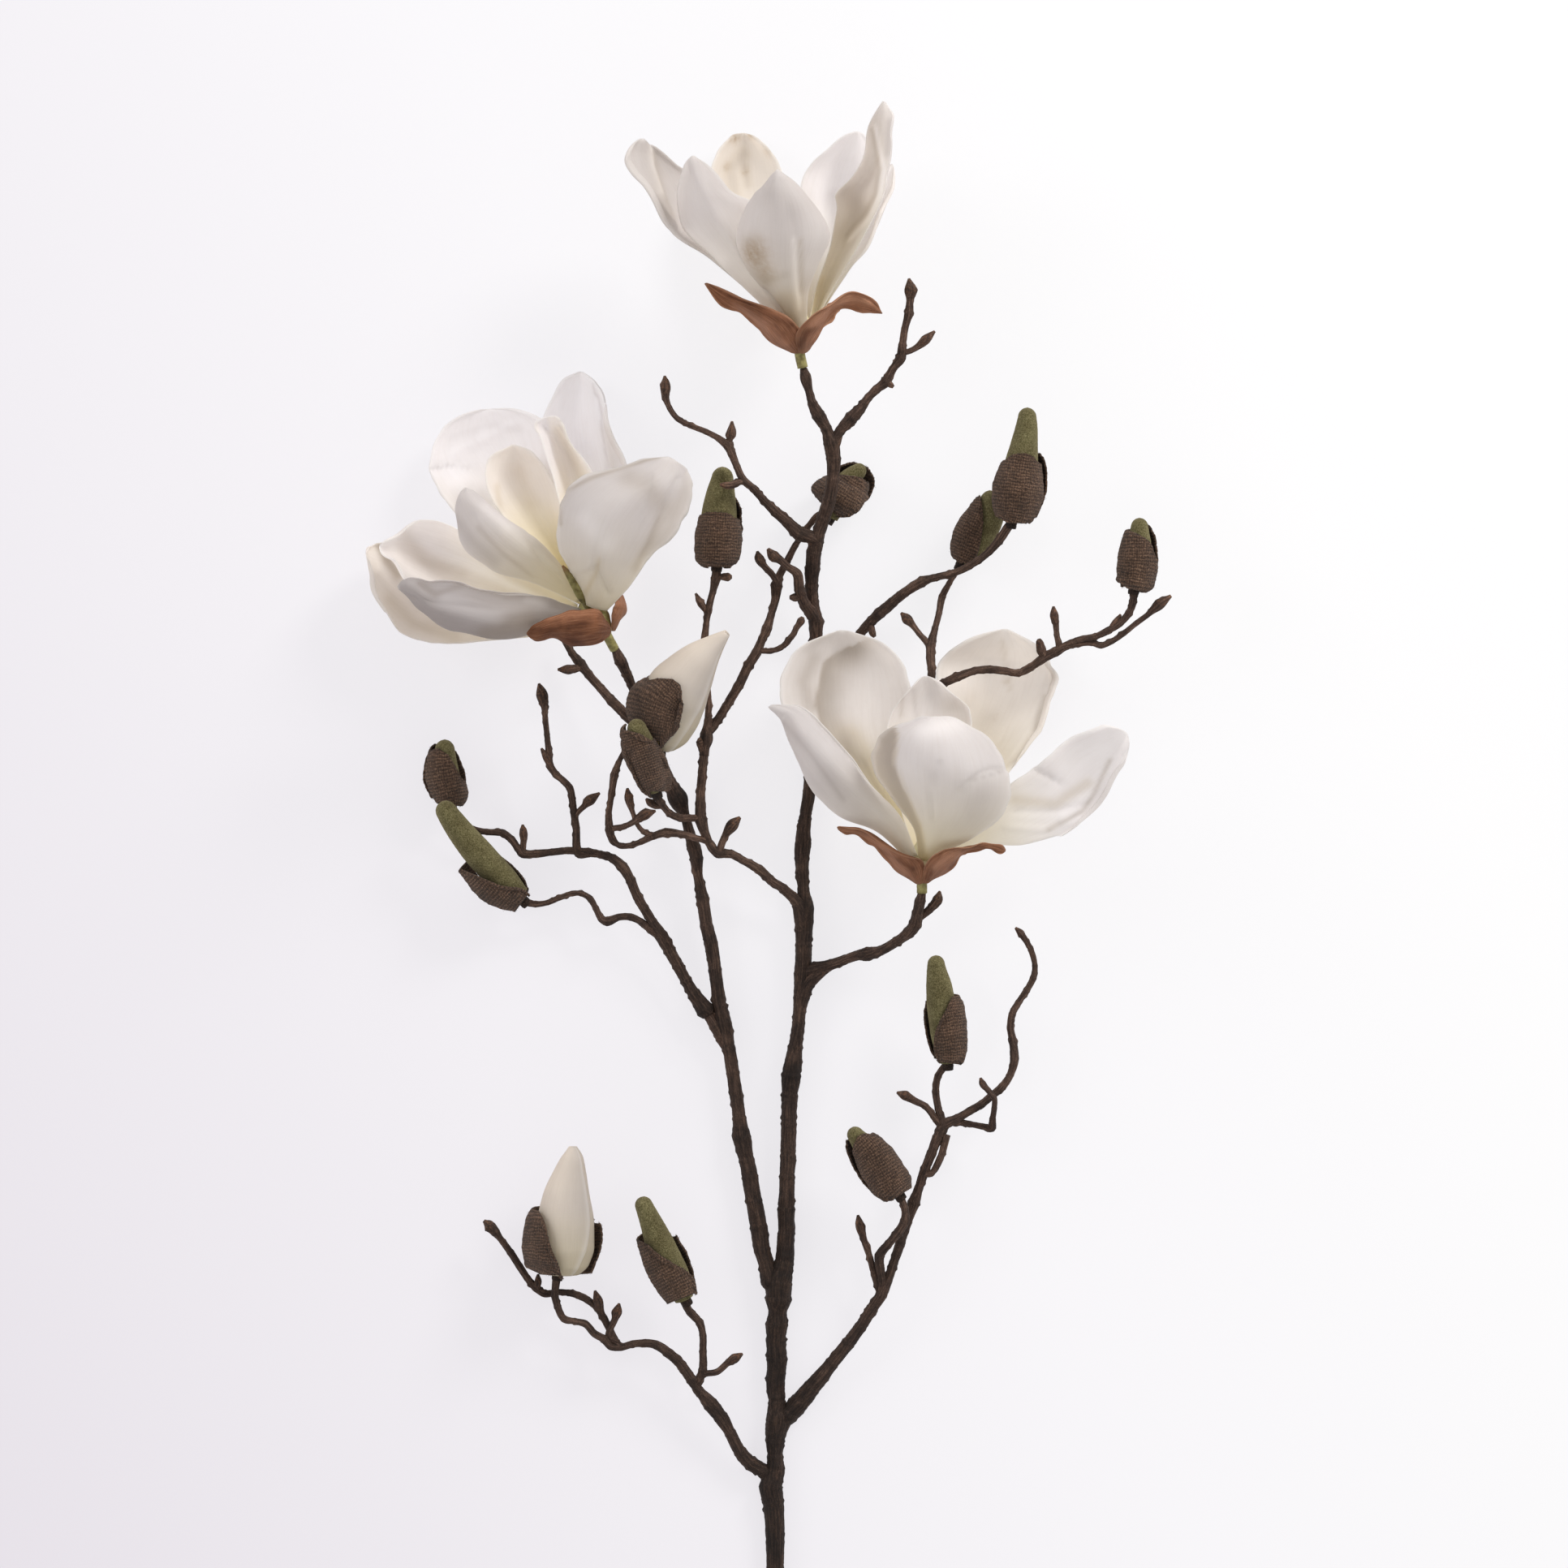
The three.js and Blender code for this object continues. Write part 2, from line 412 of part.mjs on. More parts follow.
// Petals, as stations of [left edge, middle, right edge] from base to tip.
const PETALS = {
  flower_1_petal_1: [
    [[968, 410, 50], [966, 412, 46], [972, 408, 44]], [[932, 368, 50], [934, 364, 42], [948, 352, 40]],
    [[880, 320, 58], [890, 311, 44], [915, 300, 38]], [[830, 284, 64], [845, 271, 46], [880, 255, 38]],
    [[794, 231, 68], [815, 225, 48], [855, 220, 40]], [[773, 199, 68], [800, 190, 52], [833, 205, 44]],
    [[784, 170, 64], [790, 171, 58], [798, 175, 54]],
  ],
  flower_1_petal_2: [
    [[970, 404, 54], [974, 400, 60], [982, 396, 60]], [[925, 362, 56], [945, 350, 66], [968, 340, 62]],
    [[880, 316, 58], [905, 300, 72], [950, 290, 64]], [[845, 280, 60], [878, 262, 77], [930, 255, 68]],
    [[837, 240, 63], [865, 235, 79], [900, 236, 73]], [[842, 212, 67], [860, 214, 78], [880, 214, 75]],
    [[849, 193, 73], [854, 192, 75], [861, 195, 75]],
  ],
  flower_1_petal_3: [
    [[978, 402, 48], [984, 404, 45], [990, 402, 48]], [[940, 355, 36], [965, 350, 30], [990, 352, 36]],
    [[897, 300, 26], [932, 290, 14], [978, 298, 26]], [[874, 250, 18], [920, 240, 6], [972, 250, 19]],
    [[880, 202, 13], [918, 198, 3], [962, 210, 14]], [[895, 175, 10], [918, 174, 4], [943, 180, 11]],
    [[909, 165, 8], [916, 164, 6], [924, 166, 8]],
  ],
  flower_1_petal_4: [
    [[976, 404, 57], [984, 408, 60], [994, 404, 57]], [[950, 365, 62], [972, 365, 70], [996, 362, 62]],
    [[920, 332, 68], [966, 325, 82], [1008, 330, 68]], [[906, 292, 74], [966, 285, 93], [1025, 292, 74]],
    [[918, 253, 82], [964, 248, 99], [1009, 258, 82]], [[941, 225, 90], [960, 222, 100], [984, 229, 92]],
    [[954, 210, 97], [958, 209, 99], [963, 210, 97]],
  ],
  flower_1_petal_5: [
    [[988, 400, 50], [996, 402, 46], [1002, 402, 50]],
    [[990, 350, 42], [1012, 350, 34], [1030, 350, 42]],
    [[988, 300, 36], [1020, 295, 22], [1055, 300, 34]],
    [[988, 255, 33], [1030, 245, 17], [1075, 255, 33]],
    [[996, 213, 33], [1040, 205, 18], [1082, 215, 34]],
    [[1020, 185, 34], [1050, 182, 24], [1078, 190, 37]],
    [[1049, 163, 34], [1056, 162, 32], [1066, 164, 34]],
  ],
  flower_1_petal_6: [
    [[996, 402, 52], [1002, 400, 50], [1004, 398, 54]],
    [[1006, 352, 48], [1021, 346, 44], [1030, 350, 56]],
    [[1024, 298, 46], [1046, 296, 42], [1062, 298, 66]],
    [[1028, 262, 47], [1062, 257, 42], [1086, 252, 72]],
    [[1025, 240, 48], [1066, 234, 44], [1093, 222, 74]],
    [[1046, 220, 50], [1076, 210, 46], [1098, 196, 76]],
    [[1062, 190, 55], [1083, 182, 50], [1101, 168, 76]],
    [[1067, 158, 60], [1087, 152, 57], [1104, 146, 74]],
    [[1083, 126, 66], [1089, 126, 66], [1098, 132, 70]],
  ],
  flower_1_petal_7: [
    [[1004, 400, 48], [1005, 400, 43], [1001, 402, 38]],
    [[1024, 366, 50], [1024, 360, 40], [1014, 356, 30]],
    [[1048, 328, 54], [1050, 320, 40], [1034, 308, 24]],
    [[1070, 297, 56], [1072, 284, 40], [1054, 270, 20]],
    [[1087, 261, 56], [1089, 250, 40], [1072, 238, 22]],
    [[1097, 230, 52], [1098, 220, 42], [1086, 212, 30]],
    [[1101, 206, 46], [1100, 203, 43], [1098, 201, 40]],
  ],
  flower_2_petal_1: [
    [[715, 745, 46], [722, 742, 42], [730, 742, 44]], [[650, 710, 36], [678, 690, 26], [705, 682, 36]],
    [[590, 660, 26], [635, 630, 12], [688, 630, 25]], [[548, 614, 20], [608, 570, 7], [688, 575, 20]],
    [[532, 577, 18], [588, 532, 8], [684, 532, 18]], [[547, 531, 15], [588, 511, 10], [657, 511, 15]],
    [[580, 506, 12], [600, 504, 11], [622, 504, 12]],
  ],
  flower_2_petal_2: [
    [[728, 742, 44], [735, 742, 42], [741, 744, 45]], [[712, 690, 32], [735, 680, 24], [760, 685, 34]],
    [[690, 630, 20], [728, 620, 10], [776, 628, 26]], [[678, 570, 13], [718, 565, 3], [768, 572, 20]],
    [[672, 520, 11], [712, 515, 2], [748, 520, 16]], [[690, 475, 9], [715, 477, 4], [739, 484, 12]],
    [[707, 459, 8], [715, 458, 7], [723, 460, 8]],
  ],
  flower_2_petal_3: [
    [[728, 740, 48], [733, 738, 46], [738, 740, 50]], [[708, 690, 44], [722, 685, 36], [738, 690, 46]],
    [[694, 630, 40], [712, 622, 28], [740, 628, 44]], [[679, 575, 38], [698, 565, 26], [722, 578, 40]],
    [[668, 540, 38], [682, 535, 28], [700, 538, 38]], [[663, 523, 38], [672, 521, 32], [690, 521, 36]],
    [[669, 514, 37], [678, 513, 36], [688, 512, 37]],
  ],
  flower_2_petal_4: [
    [[718, 740, 48], [724, 738, 45], [730, 738, 48]], [[668, 690, 42], [690, 680, 34], [706, 680, 42]],
    [[625, 640, 36], [655, 625, 24], [692, 640, 36]], [[602, 600, 33], [638, 590, 20], [682, 600, 32]],
    [[604, 572, 31], [635, 565, 21], [664, 570, 30]], [[620, 551, 29], [633, 548, 26], [648, 552, 29]],
  ],
  flower_2_petal_5: [
    [[712, 742, 54], [718, 738, 58], [724, 736, 56]], [[655, 718, 54], [680, 700, 63], [698, 705, 56]],
    [[605, 702, 54], [640, 675, 66], [668, 668, 57]], [[570, 676, 55], [605, 645, 67], [636, 648, 58]],
    [[559, 640, 57], [584, 622, 66], [608, 627, 60]], [[564, 614, 61], [574, 608, 64], [589, 609, 62]],
    [[570, 602, 63], [574, 601, 63], [578, 602, 63]],
  ],
  flower_2_petal_6: [
    [[712, 745, 50], [712, 750, 46], [716, 754, 50]], [[655, 712, 44], [650, 730, 32], [665, 755, 46]],
    [[600, 674, 38], [585, 700, 22], [600, 750, 42]], [[556, 644, 36], [535, 685, 18], [545, 745, 42]],
    [[515, 638, 36], [500, 672, 22], [505, 725, 42]], [[493, 656, 38], [480, 672, 30], [482, 695, 40]],
    [[472, 667, 39], [468, 672, 37], [468, 680, 39]],
  ],
  flower_2_petal_7: [
    [[714, 752, 46], [718, 756, 42], [724, 760, 44]], [[640, 735, 30], [645, 765, 22], [665, 783, 34]],
    [[575, 705, 17], [575, 765, 7], [590, 792, 30]], [[515, 680, 12], [515, 745, 3], [537, 797, 28]],
    [[470, 668, 14], [478, 720, 7], [490, 776, 28]], [[454, 672, 22], [457, 700, 20], [465, 736, 28]],
    [[450, 675, 29], [451, 684, 29], [454, 693, 30]],
  ],
  flower_2_petal_8: [
    [[715, 750, 58], [718, 758, 60], [722, 764, 58]], [[670, 738, 64], [668, 755, 70], [668, 778, 64]],
    [[620, 735, 70], [615, 758, 80], [618, 789, 70]], [[568, 721, 74], [568, 748, 86], [572, 783, 74]],
    [[530, 724, 76], [532, 742, 86], [538, 770, 76]], [[502, 713, 80], [505, 726, 84], [510, 745, 80]],
    [[491, 719, 82], [490, 724, 82], [494, 730, 82]],
  ],
  flower_2_petal_9: [
    [[722, 745, 60], [735, 750, 63], [748, 752, 58]], [[705, 708, 66], [738, 712, 76], [772, 726, 62]],
    [[689, 668, 72], [742, 680, 88], [800, 683, 64]], [[690, 625, 76], [755, 640, 95], [836, 645, 66]],
    [[722, 590, 78], [780, 610, 95], [851, 612, 68]], [[775, 573, 78], [812, 588, 88], [848, 585, 72]],
    [[811, 559, 80], [826, 564, 80], [838, 571, 76]],
  ],
  flower_3_petal_1: [
    [[1120, 1060, 50], [1127, 1058, 46.2], [1134, 1058, 46.2]],
    [[1085, 1010, 41], [1098, 1000, 34], [1122, 1000, 40]],
    [[1030, 950, 36], [1065, 940, 23], [1120, 950, 32]],
    [[975, 900, 35], [1045, 890, 15], [1122, 900, 28]],
    [[962, 850, 36], [1040, 840, 13], [1122, 850, 26]],
    [[982, 808, 33], [1040, 800, 14], [1102, 806, 24]],
    [[1015, 780, 26], [1038, 777, 18], [1065, 781, 20]],
  ],
  flower_3_petal_2: [
    [[1122, 1064, 56], [1124, 1058, 60], [1130, 1054, 58]],
    [[1082, 1026, 60], [1096, 1014, 68], [1108, 1004, 64]],
    [[1030, 1004, 62], [1050, 975, 76], [1072, 965, 70]],
    [[996, 970, 60], [1014, 940, 78], [1042, 928, 72]],
    [[974, 920, 60], [985, 905, 76], [1012, 892, 72]], [[962, 882, 64], [970, 880, 70], [985, 872, 70]],
    [[944, 873, 68], [948, 870, 69], [954, 866, 69]],
  ],
  flower_3_petal_3: [
    [[1126, 1050, 50], [1134, 1050, 47], [1142, 1050, 50]],
    [[1105, 980, 46], [1140, 975, 38], [1172, 980, 46]],
    [[1090, 910, 44], [1142, 905, 36], [1198, 915, 44]],
    [[1098, 876, 43], [1144, 870, 36], [1196, 878, 43]],
    [[1120, 848, 42], [1146, 846, 38], [1174, 850, 42]],
    [[1132, 835, 41], [1141, 833, 40], [1152, 836, 41]],
  ],
  flower_3_petal_4: [
    [[1132, 1058, 57], [1140, 1060, 60], [1148, 1056, 57]],
    [[1126, 1020, 68], [1155, 1022, 80], [1195, 1034, 68]],
    [[1100, 982, 76], [1160, 985, 97], [1237, 998, 76]],
    [[1077, 935, 82], [1160, 945, 106], [1240, 955, 82]],
    [[1092, 905, 86], [1158, 912, 106], [1222, 918, 86]],
    [[1125, 888, 92], [1155, 891, 102], [1188, 891, 92]],
    [[1145, 884, 97], [1152, 883, 98], [1160, 884, 97]],
  ],
  flower_3_petal_5: [
    [[1140, 1058, 46.2], [1147, 1058, 46.8], [1153, 1060, 50]],
    [[1142, 1000, 38], [1170, 990, 28], [1205, 1000, 38]],
    [[1150, 930, 30], [1197, 915, 13], [1258, 930, 32]],
    [[1162, 870, 20], [1220, 855, 2], [1292, 872, 26]],
    [[1155, 825, 15], [1228, 815, 3], [1300, 832, 25]],
    [[1180, 797, 17], [1234, 795, 10], [1281, 803, 21]],
    [[1224, 777, 16], [1238, 775, 15], [1251, 778, 16]],
  ],
  flower_3_petal_6: [
    [[1154, 1052, 56], [1157, 1058, 52], [1155, 1064, 48]],
    [[1205, 1010, 60], [1212, 1032, 52], [1210, 1042, 46]],
    [[1240, 972, 64], [1258, 1012, 50], [1262, 1041, 42]],
    [[1275, 948, 64], [1298, 988, 46], [1310, 1026, 40]],
    [[1312, 917, 62], [1336, 950, 46], [1352, 990, 42]],
    [[1350, 898, 60], [1374, 922, 50], [1377, 948, 48]],
    [[1374, 893, 58], [1388, 903, 56], [1394, 919, 55]],
  ],
};

// Brown sepals under each flower, given as petals are.
const SEPALS = {
  flower_1_sepal_1: [
    [[974, 434, 52], [982, 435, 56], [989, 433, 56]], [[951, 422, 50], [966, 418, 63], [989, 412, 66]],
    [[935, 402, 51], [950, 398, 68], [976, 396, 71]], [[916, 387, 56], [926, 382, 66], [944, 380, 68]],
    [[892, 373, 60], [897, 368, 63], [903, 365, 63]], [[866, 350, 60], [869, 349, 60], [873, 348, 60]],
  ],
  flower_1_sepal_2: [
    [[984, 434, 58], [990, 435, 56], [996, 432, 52]], [[981, 412, 68], [993, 412, 67], [1006, 418, 58]],
    [[994, 395, 73], [1008, 392, 70], [1018, 396, 60]],
    [[1022, 374, 71], [1026, 377, 68], [1030, 380, 62]],
    [[1050, 359, 67], [1052, 369, 64], [1050, 382, 60]],
    [[1072, 367, 64], [1070, 375, 63], [1066, 381, 60]],
    [[1086, 384, 60], [1087, 386, 60], [1086, 388, 59]],
  ],
  flower_1_sepal_3: [
    [[986, 436, 50], [992, 434, 48], [998, 430, 50]], [[976, 420, 40], [1000, 414, 34], [1010, 408, 48]],
    [[985, 400, 28], [1012, 394, 26], [1026, 390, 42]],
    [[1008, 382, 24], [1026, 378, 28], [1034, 380, 38]],
    [[1028, 372, 28], [1032, 373, 30], [1034, 375, 32]],
  ],
  flower_2_sepal_1: [
    [[746, 764, 60], [752, 774, 58], [750, 784, 54]], [[735, 750, 70], [735, 770, 74], [735, 794, 62]],
    [[710, 751, 74], [708, 772, 79], [708, 797, 66]], [[685, 757, 76], [682, 775, 80], [682, 789, 71]],
    [[662, 767, 75], [660, 780, 77], [662, 791, 73]], [[649, 778, 74], [649, 781, 74], [651, 784, 74]],
  ],
  flower_2_sepal_2: [
    [[752, 777, 52], [757, 777, 48], [757, 775, 44]], [[755, 758, 59], [764, 763, 52], [761, 765, 42]],
    [[758, 744, 60], [771, 750, 51], [766, 755, 40]], [[762, 732, 55], [767, 733, 50], [768, 739, 45]],
  ],
  flower_3_sepal_1: [
    [[1126, 1087, 52], [1132, 1089, 57], [1138, 1087, 58]],
    [[1104, 1072, 52], [1116, 1066, 65], [1136, 1060, 67]],
    [[1082, 1044, 56], [1096, 1046, 67], [1112, 1052, 71]],
    [[1060, 1031, 62], [1066, 1026, 67], [1074, 1028, 70]],
    [[1034, 1025, 64], [1032, 1021, 65], [1030, 1016, 65]],
  ],
  flower_3_sepal_2: [
    [[1136, 1087, 58], [1142, 1088, 56], [1146, 1085, 52]],
    [[1140, 1066, 67], [1156, 1070, 65], [1168, 1074, 56]],
    [[1156, 1050, 73], [1172, 1056, 70], [1182, 1056, 60]],
    [[1188, 1042, 71], [1192, 1046, 68], [1194, 1049, 63]],
    [[1216, 1040, 66], [1217, 1043, 66], [1216, 1046, 64]],
    [[1238, 1045, 63], [1239, 1048, 63], [1237, 1051, 62]],
  ],
};

const COLOURS = {
  bark: { color: 0x3b3029, roughness: 0.8, metalness: 0 },
  petal: { color: 0xefe9e0, roughness: 0.55, metalness: 0 },
  sepal: { color: 0x8a5a44, roughness: 0.6, metalness: 0 },
  stalk: { color: 0x84823f, roughness: 0.6, metalness: 0 },
  felt: { color: 0x6b5648, roughness: 0.95, metalness: 0 },
};

// Across and down on the picture, at a real height, to a real point. Nearer points spread less.
function place([across, down, height]) {
  const reach = reachAt(height);
  const middle = PICTURE_WIDTH / 2;
  return new THREE.Vector3(
    (across - middle) * reach + EYE_X,
    (middle - down) * reach + EYE_Y,
    height - LOWER,
  );
}

function reachAt(height) {
  return (STEP * (EYE_HEIGHT - height)) / EYE_HEIGHT;
}

function meshOf(points, faces) {
  const shape = new THREE.BufferGeometry();
  const numbers = points.flatMap((p) => p.toArray());
  shape.setAttribute("position", new THREE.Float32BufferAttribute(numbers, 3));
  shape.setIndex(faces.flat());
  return shape;
}

// A closed round body along rows of [across, down, height, width], with a flat cap at each end.
function roundBody(rows, sides, grow = 0) {
  const centres = rows.map(place);
  const points = [];
  const faces = [];
  let side = new THREE.Vector3(0, 0, 1);
  rows.forEach((row, i) => {
    const before = centres[Math.max(i - 1, 0)];
    const after = centres[Math.min(i + 1, rows.length - 1)];
    const along = after.clone().sub(before).normalize();
    side = side.clone().addScaledVector(along, -side.dot(along)).normalize();
    const other = along.clone().cross(side);
    const radius = (row[3] * reachAt(row[2])) / 2 + grow;
    const isEnd = i === 0 ? -1 : i === rows.length - 1 ? 1 : 0;
    const centre = centres[i].clone().addScaledVector(along, isEnd * grow);
    for (let k = 0; k < sides; k++) {
      const turn = (2 * Math.PI * k) / sides;
      const spoke = side.clone().multiplyScalar(Math.cos(turn)).addScaledVector(other, Math.sin(turn));
      points.push(centre.clone().addScaledVector(spoke, radius));
    }
  });
  for (let i = 0; i + 1 < rows.length; i++) {
    for (let k = 0; k < sides; k++) {
      const [a, b] = [i * sides + k, i * sides + ((k + 1) % sides)];
      faces.push([a, b, b + sides], [a, b + sides, a + sides]);
    }
  }
  const last = (rows.length - 1) * sides;
  for (let k = 1; k + 1 < sides; k++) {
    faces.push([0, k + 1, k], [last, last + k, last + k + 1]);
  }
  return meshOf(points, faces);
}

// A thin closed sheet through stations of [left edge, middle, right edge], from base to tip.
function sheet(stations, thickness, steps, grow = 0) {
  const rails = [0, 1, 2].map((r) => {
    return new THREE.CatmullRomCurve3(stations.map((s) => place(s[r])), false, "centripetal");
  });
  const at = (u, v) => {
    const [left, middle, right] = rails.map((rail) => rail.getPoint(u));
    const point = left.multiplyScalar((1 - v) * (1 - 2 * v));
    point.addScaledVector(middle, 4 * v * (1 - v));
    return point.addScaledVector(right, v * (2 * v - 1));
  };
  const small = 0.001;
  const front = [];
  const back = [];
  for (let i = 0; i <= steps.along; i++) {
    for (let k = 0; k <= steps.across; k++) {
      const [u, v] = [i / steps.along, k / steps.across];
      const along = at(Math.min(u + small, 1), v).sub(at(Math.max(u - small, 0), v)).normalize();
      const across = at(u, Math.min(v + small, 1)).sub(at(u, Math.max(v - small, 0))).normalize();
      const normal = along.clone().cross(across).normalize();
      const point = at(u, v);
      const endU = i === 0 ? -1 : i === steps.along ? 1 : 0;
      const endV = k === 0 ? -1 : k === steps.across ? 1 : 0;
      point.addScaledVector(along, endU * grow).addScaledVector(across, endV * grow);
      front.push(point.clone().addScaledVector(normal, -thickness / 2 - grow));
      back.push(point.clone().addScaledVector(normal, thickness / 2 + grow));
    }
  }
  const row = steps.across + 1;
  const other = front.length;
  const faces = [];
  for (let i = 0; i < steps.along; i++) {
    for (let k = 0; k < steps.across; k++) {
      const a = i * row + k;
      faces.push([a, a + 1, a + row + 1], [a, a + row + 1, a + row]);
      const b = a + other;
      faces.push([b, b + row + 1, b + 1], [b, b + row, b + row + 1]);
    }
  }
  const wall = (a, b) => faces.push([a, b, b + other], [a, b + other, a + other]);
  for (let k = 0; k < steps.across; k++) {
    wall(k + 1, k);
    wall(steps.along * row + k, steps.along * row + k + 1);
  }
  for (let i = 0; i < steps.along; i++) {
    wall(i * row, (i + 1) * row);
    wall((i + 1) * row + row - 1, i * row + row - 1);
  }
  return meshOf(front.concat(back), faces);
}

function toSolid(shape) {
  const merged = BufferGeometryUtils.mergeVertices(shape, 1e-4);
  const build = (index) => {
    return new wasm.Manifold(
      new wasm.Mesh({
        numProp: 3,
        vertProperties: new Float32Array(merged.attributes.position.array),
        triVerts: new Uint32Array(index),
      }),
    );
  };
  const index = Array.from(merged.index.array);
  const solid = build(index);
  return solid.volume() > 0 ? solid : build(index.reverse());
}

function toGeometry(solid) {
  const mesh = solid.getMesh();
  const shape = new THREE.BufferGeometry();
  shape.setAttribute("position", new THREE.BufferAttribute(mesh.vertProperties.slice(), 3));
  shape.setIndex(new THREE.BufferAttribute(mesh.triVerts.slice(), 1));
  return shape;
}

// A piece is its own solid, and the same solid with the clearance added all round.
function woodPiece(branches) {
  const grown = (grow) => {
    return branches.map((rows) => {
      const sides = rows[0][3] * STEP < TWIG_WIDTH ? TWIG_SIDES : STEM_SIDES;
      return toSolid(roundBody(rows, sides, grow));
    });
  };
  const joined = (grow) => grown(grow).reduce((a, b) => a.add(b));
  return { solid: joined(0), fat: joined(CLEARANCE) };
}

function roundPiece(rows) {
  return {
    solid: toSolid(roundBody(rows, BUD_SIDES)),
    fat: toSolid(roundBody(rows, BUD_SIDES, CLEARANCE)),
  };
}

function sheetPiece(stations, thickness, steps) {
  return {
    solid: toSolid(sheet(stations, thickness, steps)),
    fat: toSolid(sheet(stations, thickness, steps, CLEARANCE)),
  };
}

// Each piece is cut back from the pieces before it, and only its main part is kept.
function fitted(piece, earlier) {
  let solid = piece.solid;
  for (const other of earlier) {
    if (overlaps(solid.boundingBox(), other.fat.boundingBox())) {
      solid = solid.subtract(other.fat);
    }
  }
  const parts = solid.decompose().sort((a, b) => b.volume() - a.volume());
  return parts[0].simplify(SMALLEST_DETAIL);
}

function overlaps(a, b) {
  return [0, 1, 2].every((k) => a.min[k] <= b.max[k] && b.min[k] <= a.max[k]);
}

const branch = new THREE.Group();
const made = [];

function add(name, piece, look) {
  const solid = fitted(piece, made);
  made.push(piece);
  const mesh = new THREE.Mesh(toGeometry(solid), new THREE.MeshStandardMaterial(COLOURS[look]));
  mesh.name = name;
  branch.add(mesh);
}

for (const [name, branches] of Object.entries(WOOD)) {
  add(name, woodPiece(branches), "bark");
}
for (const [name, rows] of Object.entries(STALKS)) {
  add(name, roundPiece(rows), "stalk");
}
for (const [name, rows] of Object.entries(BUDS)) {
  add(name, roundPiece(rows), name.startsWith("white") ? "petal" : "felt");
}
for (const [name, stations] of Object.entries(PETALS)) {
  add(name, sheetPiece(stations, PETAL_THICKNESS, PETAL_STEPS), "petal");
}
for (const [name, stations] of Object.entries(SEPALS)) {
  add(name, sheetPiece(stations, SEPAL_THICKNESS, SEPAL_STEPS), "sepal");
}

export default branch;
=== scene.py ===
"""A cut saucer magnolia branch, laid down and seen from straight above.

Every outline is given as [across, down, height]: across and down are the place on the reference
picture, height is the real height over the surface in millimetres. place() turns such a point into
a real one, in metres, in the frame that the CAD model uses.
"""
import math

import bpy
import numpy as np
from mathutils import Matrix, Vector, noise


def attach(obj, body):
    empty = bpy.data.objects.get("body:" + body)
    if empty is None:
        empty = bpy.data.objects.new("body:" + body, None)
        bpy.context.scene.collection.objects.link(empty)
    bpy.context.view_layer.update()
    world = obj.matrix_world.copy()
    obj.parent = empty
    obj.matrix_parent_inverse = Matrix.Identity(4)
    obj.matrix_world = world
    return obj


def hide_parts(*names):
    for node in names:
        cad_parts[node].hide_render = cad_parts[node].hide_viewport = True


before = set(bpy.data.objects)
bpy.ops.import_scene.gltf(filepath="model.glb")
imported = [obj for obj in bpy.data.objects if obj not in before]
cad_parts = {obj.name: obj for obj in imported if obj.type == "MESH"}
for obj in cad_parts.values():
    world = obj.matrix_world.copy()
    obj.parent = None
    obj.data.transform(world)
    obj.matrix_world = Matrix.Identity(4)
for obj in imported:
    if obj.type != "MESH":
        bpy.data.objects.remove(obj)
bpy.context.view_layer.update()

# Driving dimensions, in millimetres, as in the CAD model.
EYE_HEIGHT = 1825  # of the camera over the surface
EYE_X, EYE_Y = 7, 55.8  # where the camera stands over it
VIEW_WIDTH = 657  # of the surface that the picture shows
PICTURE_WIDTH = 1932  # in pixels
MIDDLE = PICTURE_WIDTH / 2
STEP = VIEW_WIDTH / PICTURE_WIDTH  # a pixel at the surface
LOWER = 0.18  # brings the lowest point down to the surface
MM = 0.001

PETAL_THICKNESS = 0.55
SEPAL_THICKNESS = 0.6
SCALE_THICKNESS = 0.8
ROLL_THICKNESS = 0.5

# The wood's rings, nodules and flares. Lengths are in millimetres.
RING_LENGTH = 0.7
RING_LIMIT = 0.22
RING_SHARE = 0.08  # of the radius
RING_SIZES = (0.35, 1.0)
GROOVE_LENGTH = 0.5
GROOVE_GAP = 1.2
NODULE_SPACING = 2.2
NODULE_LENGTH = 0.8
NODULE_TURN = 0.5  # radians round the branch
NODULE_SIZES = (0.15, 0.65)
FLARE = 0.35  # of the radius, at a side branch's foot
FLARE_LENGTH = 8
THIN_RADIUS = 2.7
# The bark's relief: depth as a share of the radius, and how fine it is round and along a branch.
RELIEF = ((0.035, (800, 800, 60)), (0.05, (260, 260, 190)), (0.025, (1500, 1500, 900)))
# Widths in pixels: from which one a fork has a web, and up to which one a branch has a tip bud.
WEB_WIDTH = 12
TIP_WIDTH = 4
TIP_ROWS = 2.2  # rows up to a tip bud's end that take its tan tone

# How finely shapes are drawn: spacings along tubes in metres, and rows and columns of sheets.
WOOD_SPACING = 0.0007
NECK_SPACING = 0.0006
ROLL_SPACING = 0.0006
BUD_SPACING = 0.0004
THICK_WOOD = 6  # mm, from which a branch has more sides
THICK_SIDES, THIN_SIDES = 22, 16
NECK_SIDES = 16
STALK_SIDES = 20
CORE_SIDES = 30
SHEET_ROWS, SHEET_COLUMNS = 60, 34
SCALE_ROWS, SCALE_COLUMNS, CURL_COLUMNS = 40, 26, 4
ROLL_ROWS, ROLL_COLUMNS = 80, 110

# Petals and sepals. Lengths are in millimetres, places are shares from base to tip.
FOLDING = 0.7
OPEN_START, OPEN_LENGTH = 0.12, 0.3
TIP_START = 0.9
BASE_END = 0.55
LIP_RADIUS = 0.6
LIP_TURN = math.pi * 0.93
LIP_COLUMNS = 8
BEND_SOFTNESS = 1.5
BEND_LIMIT = 12

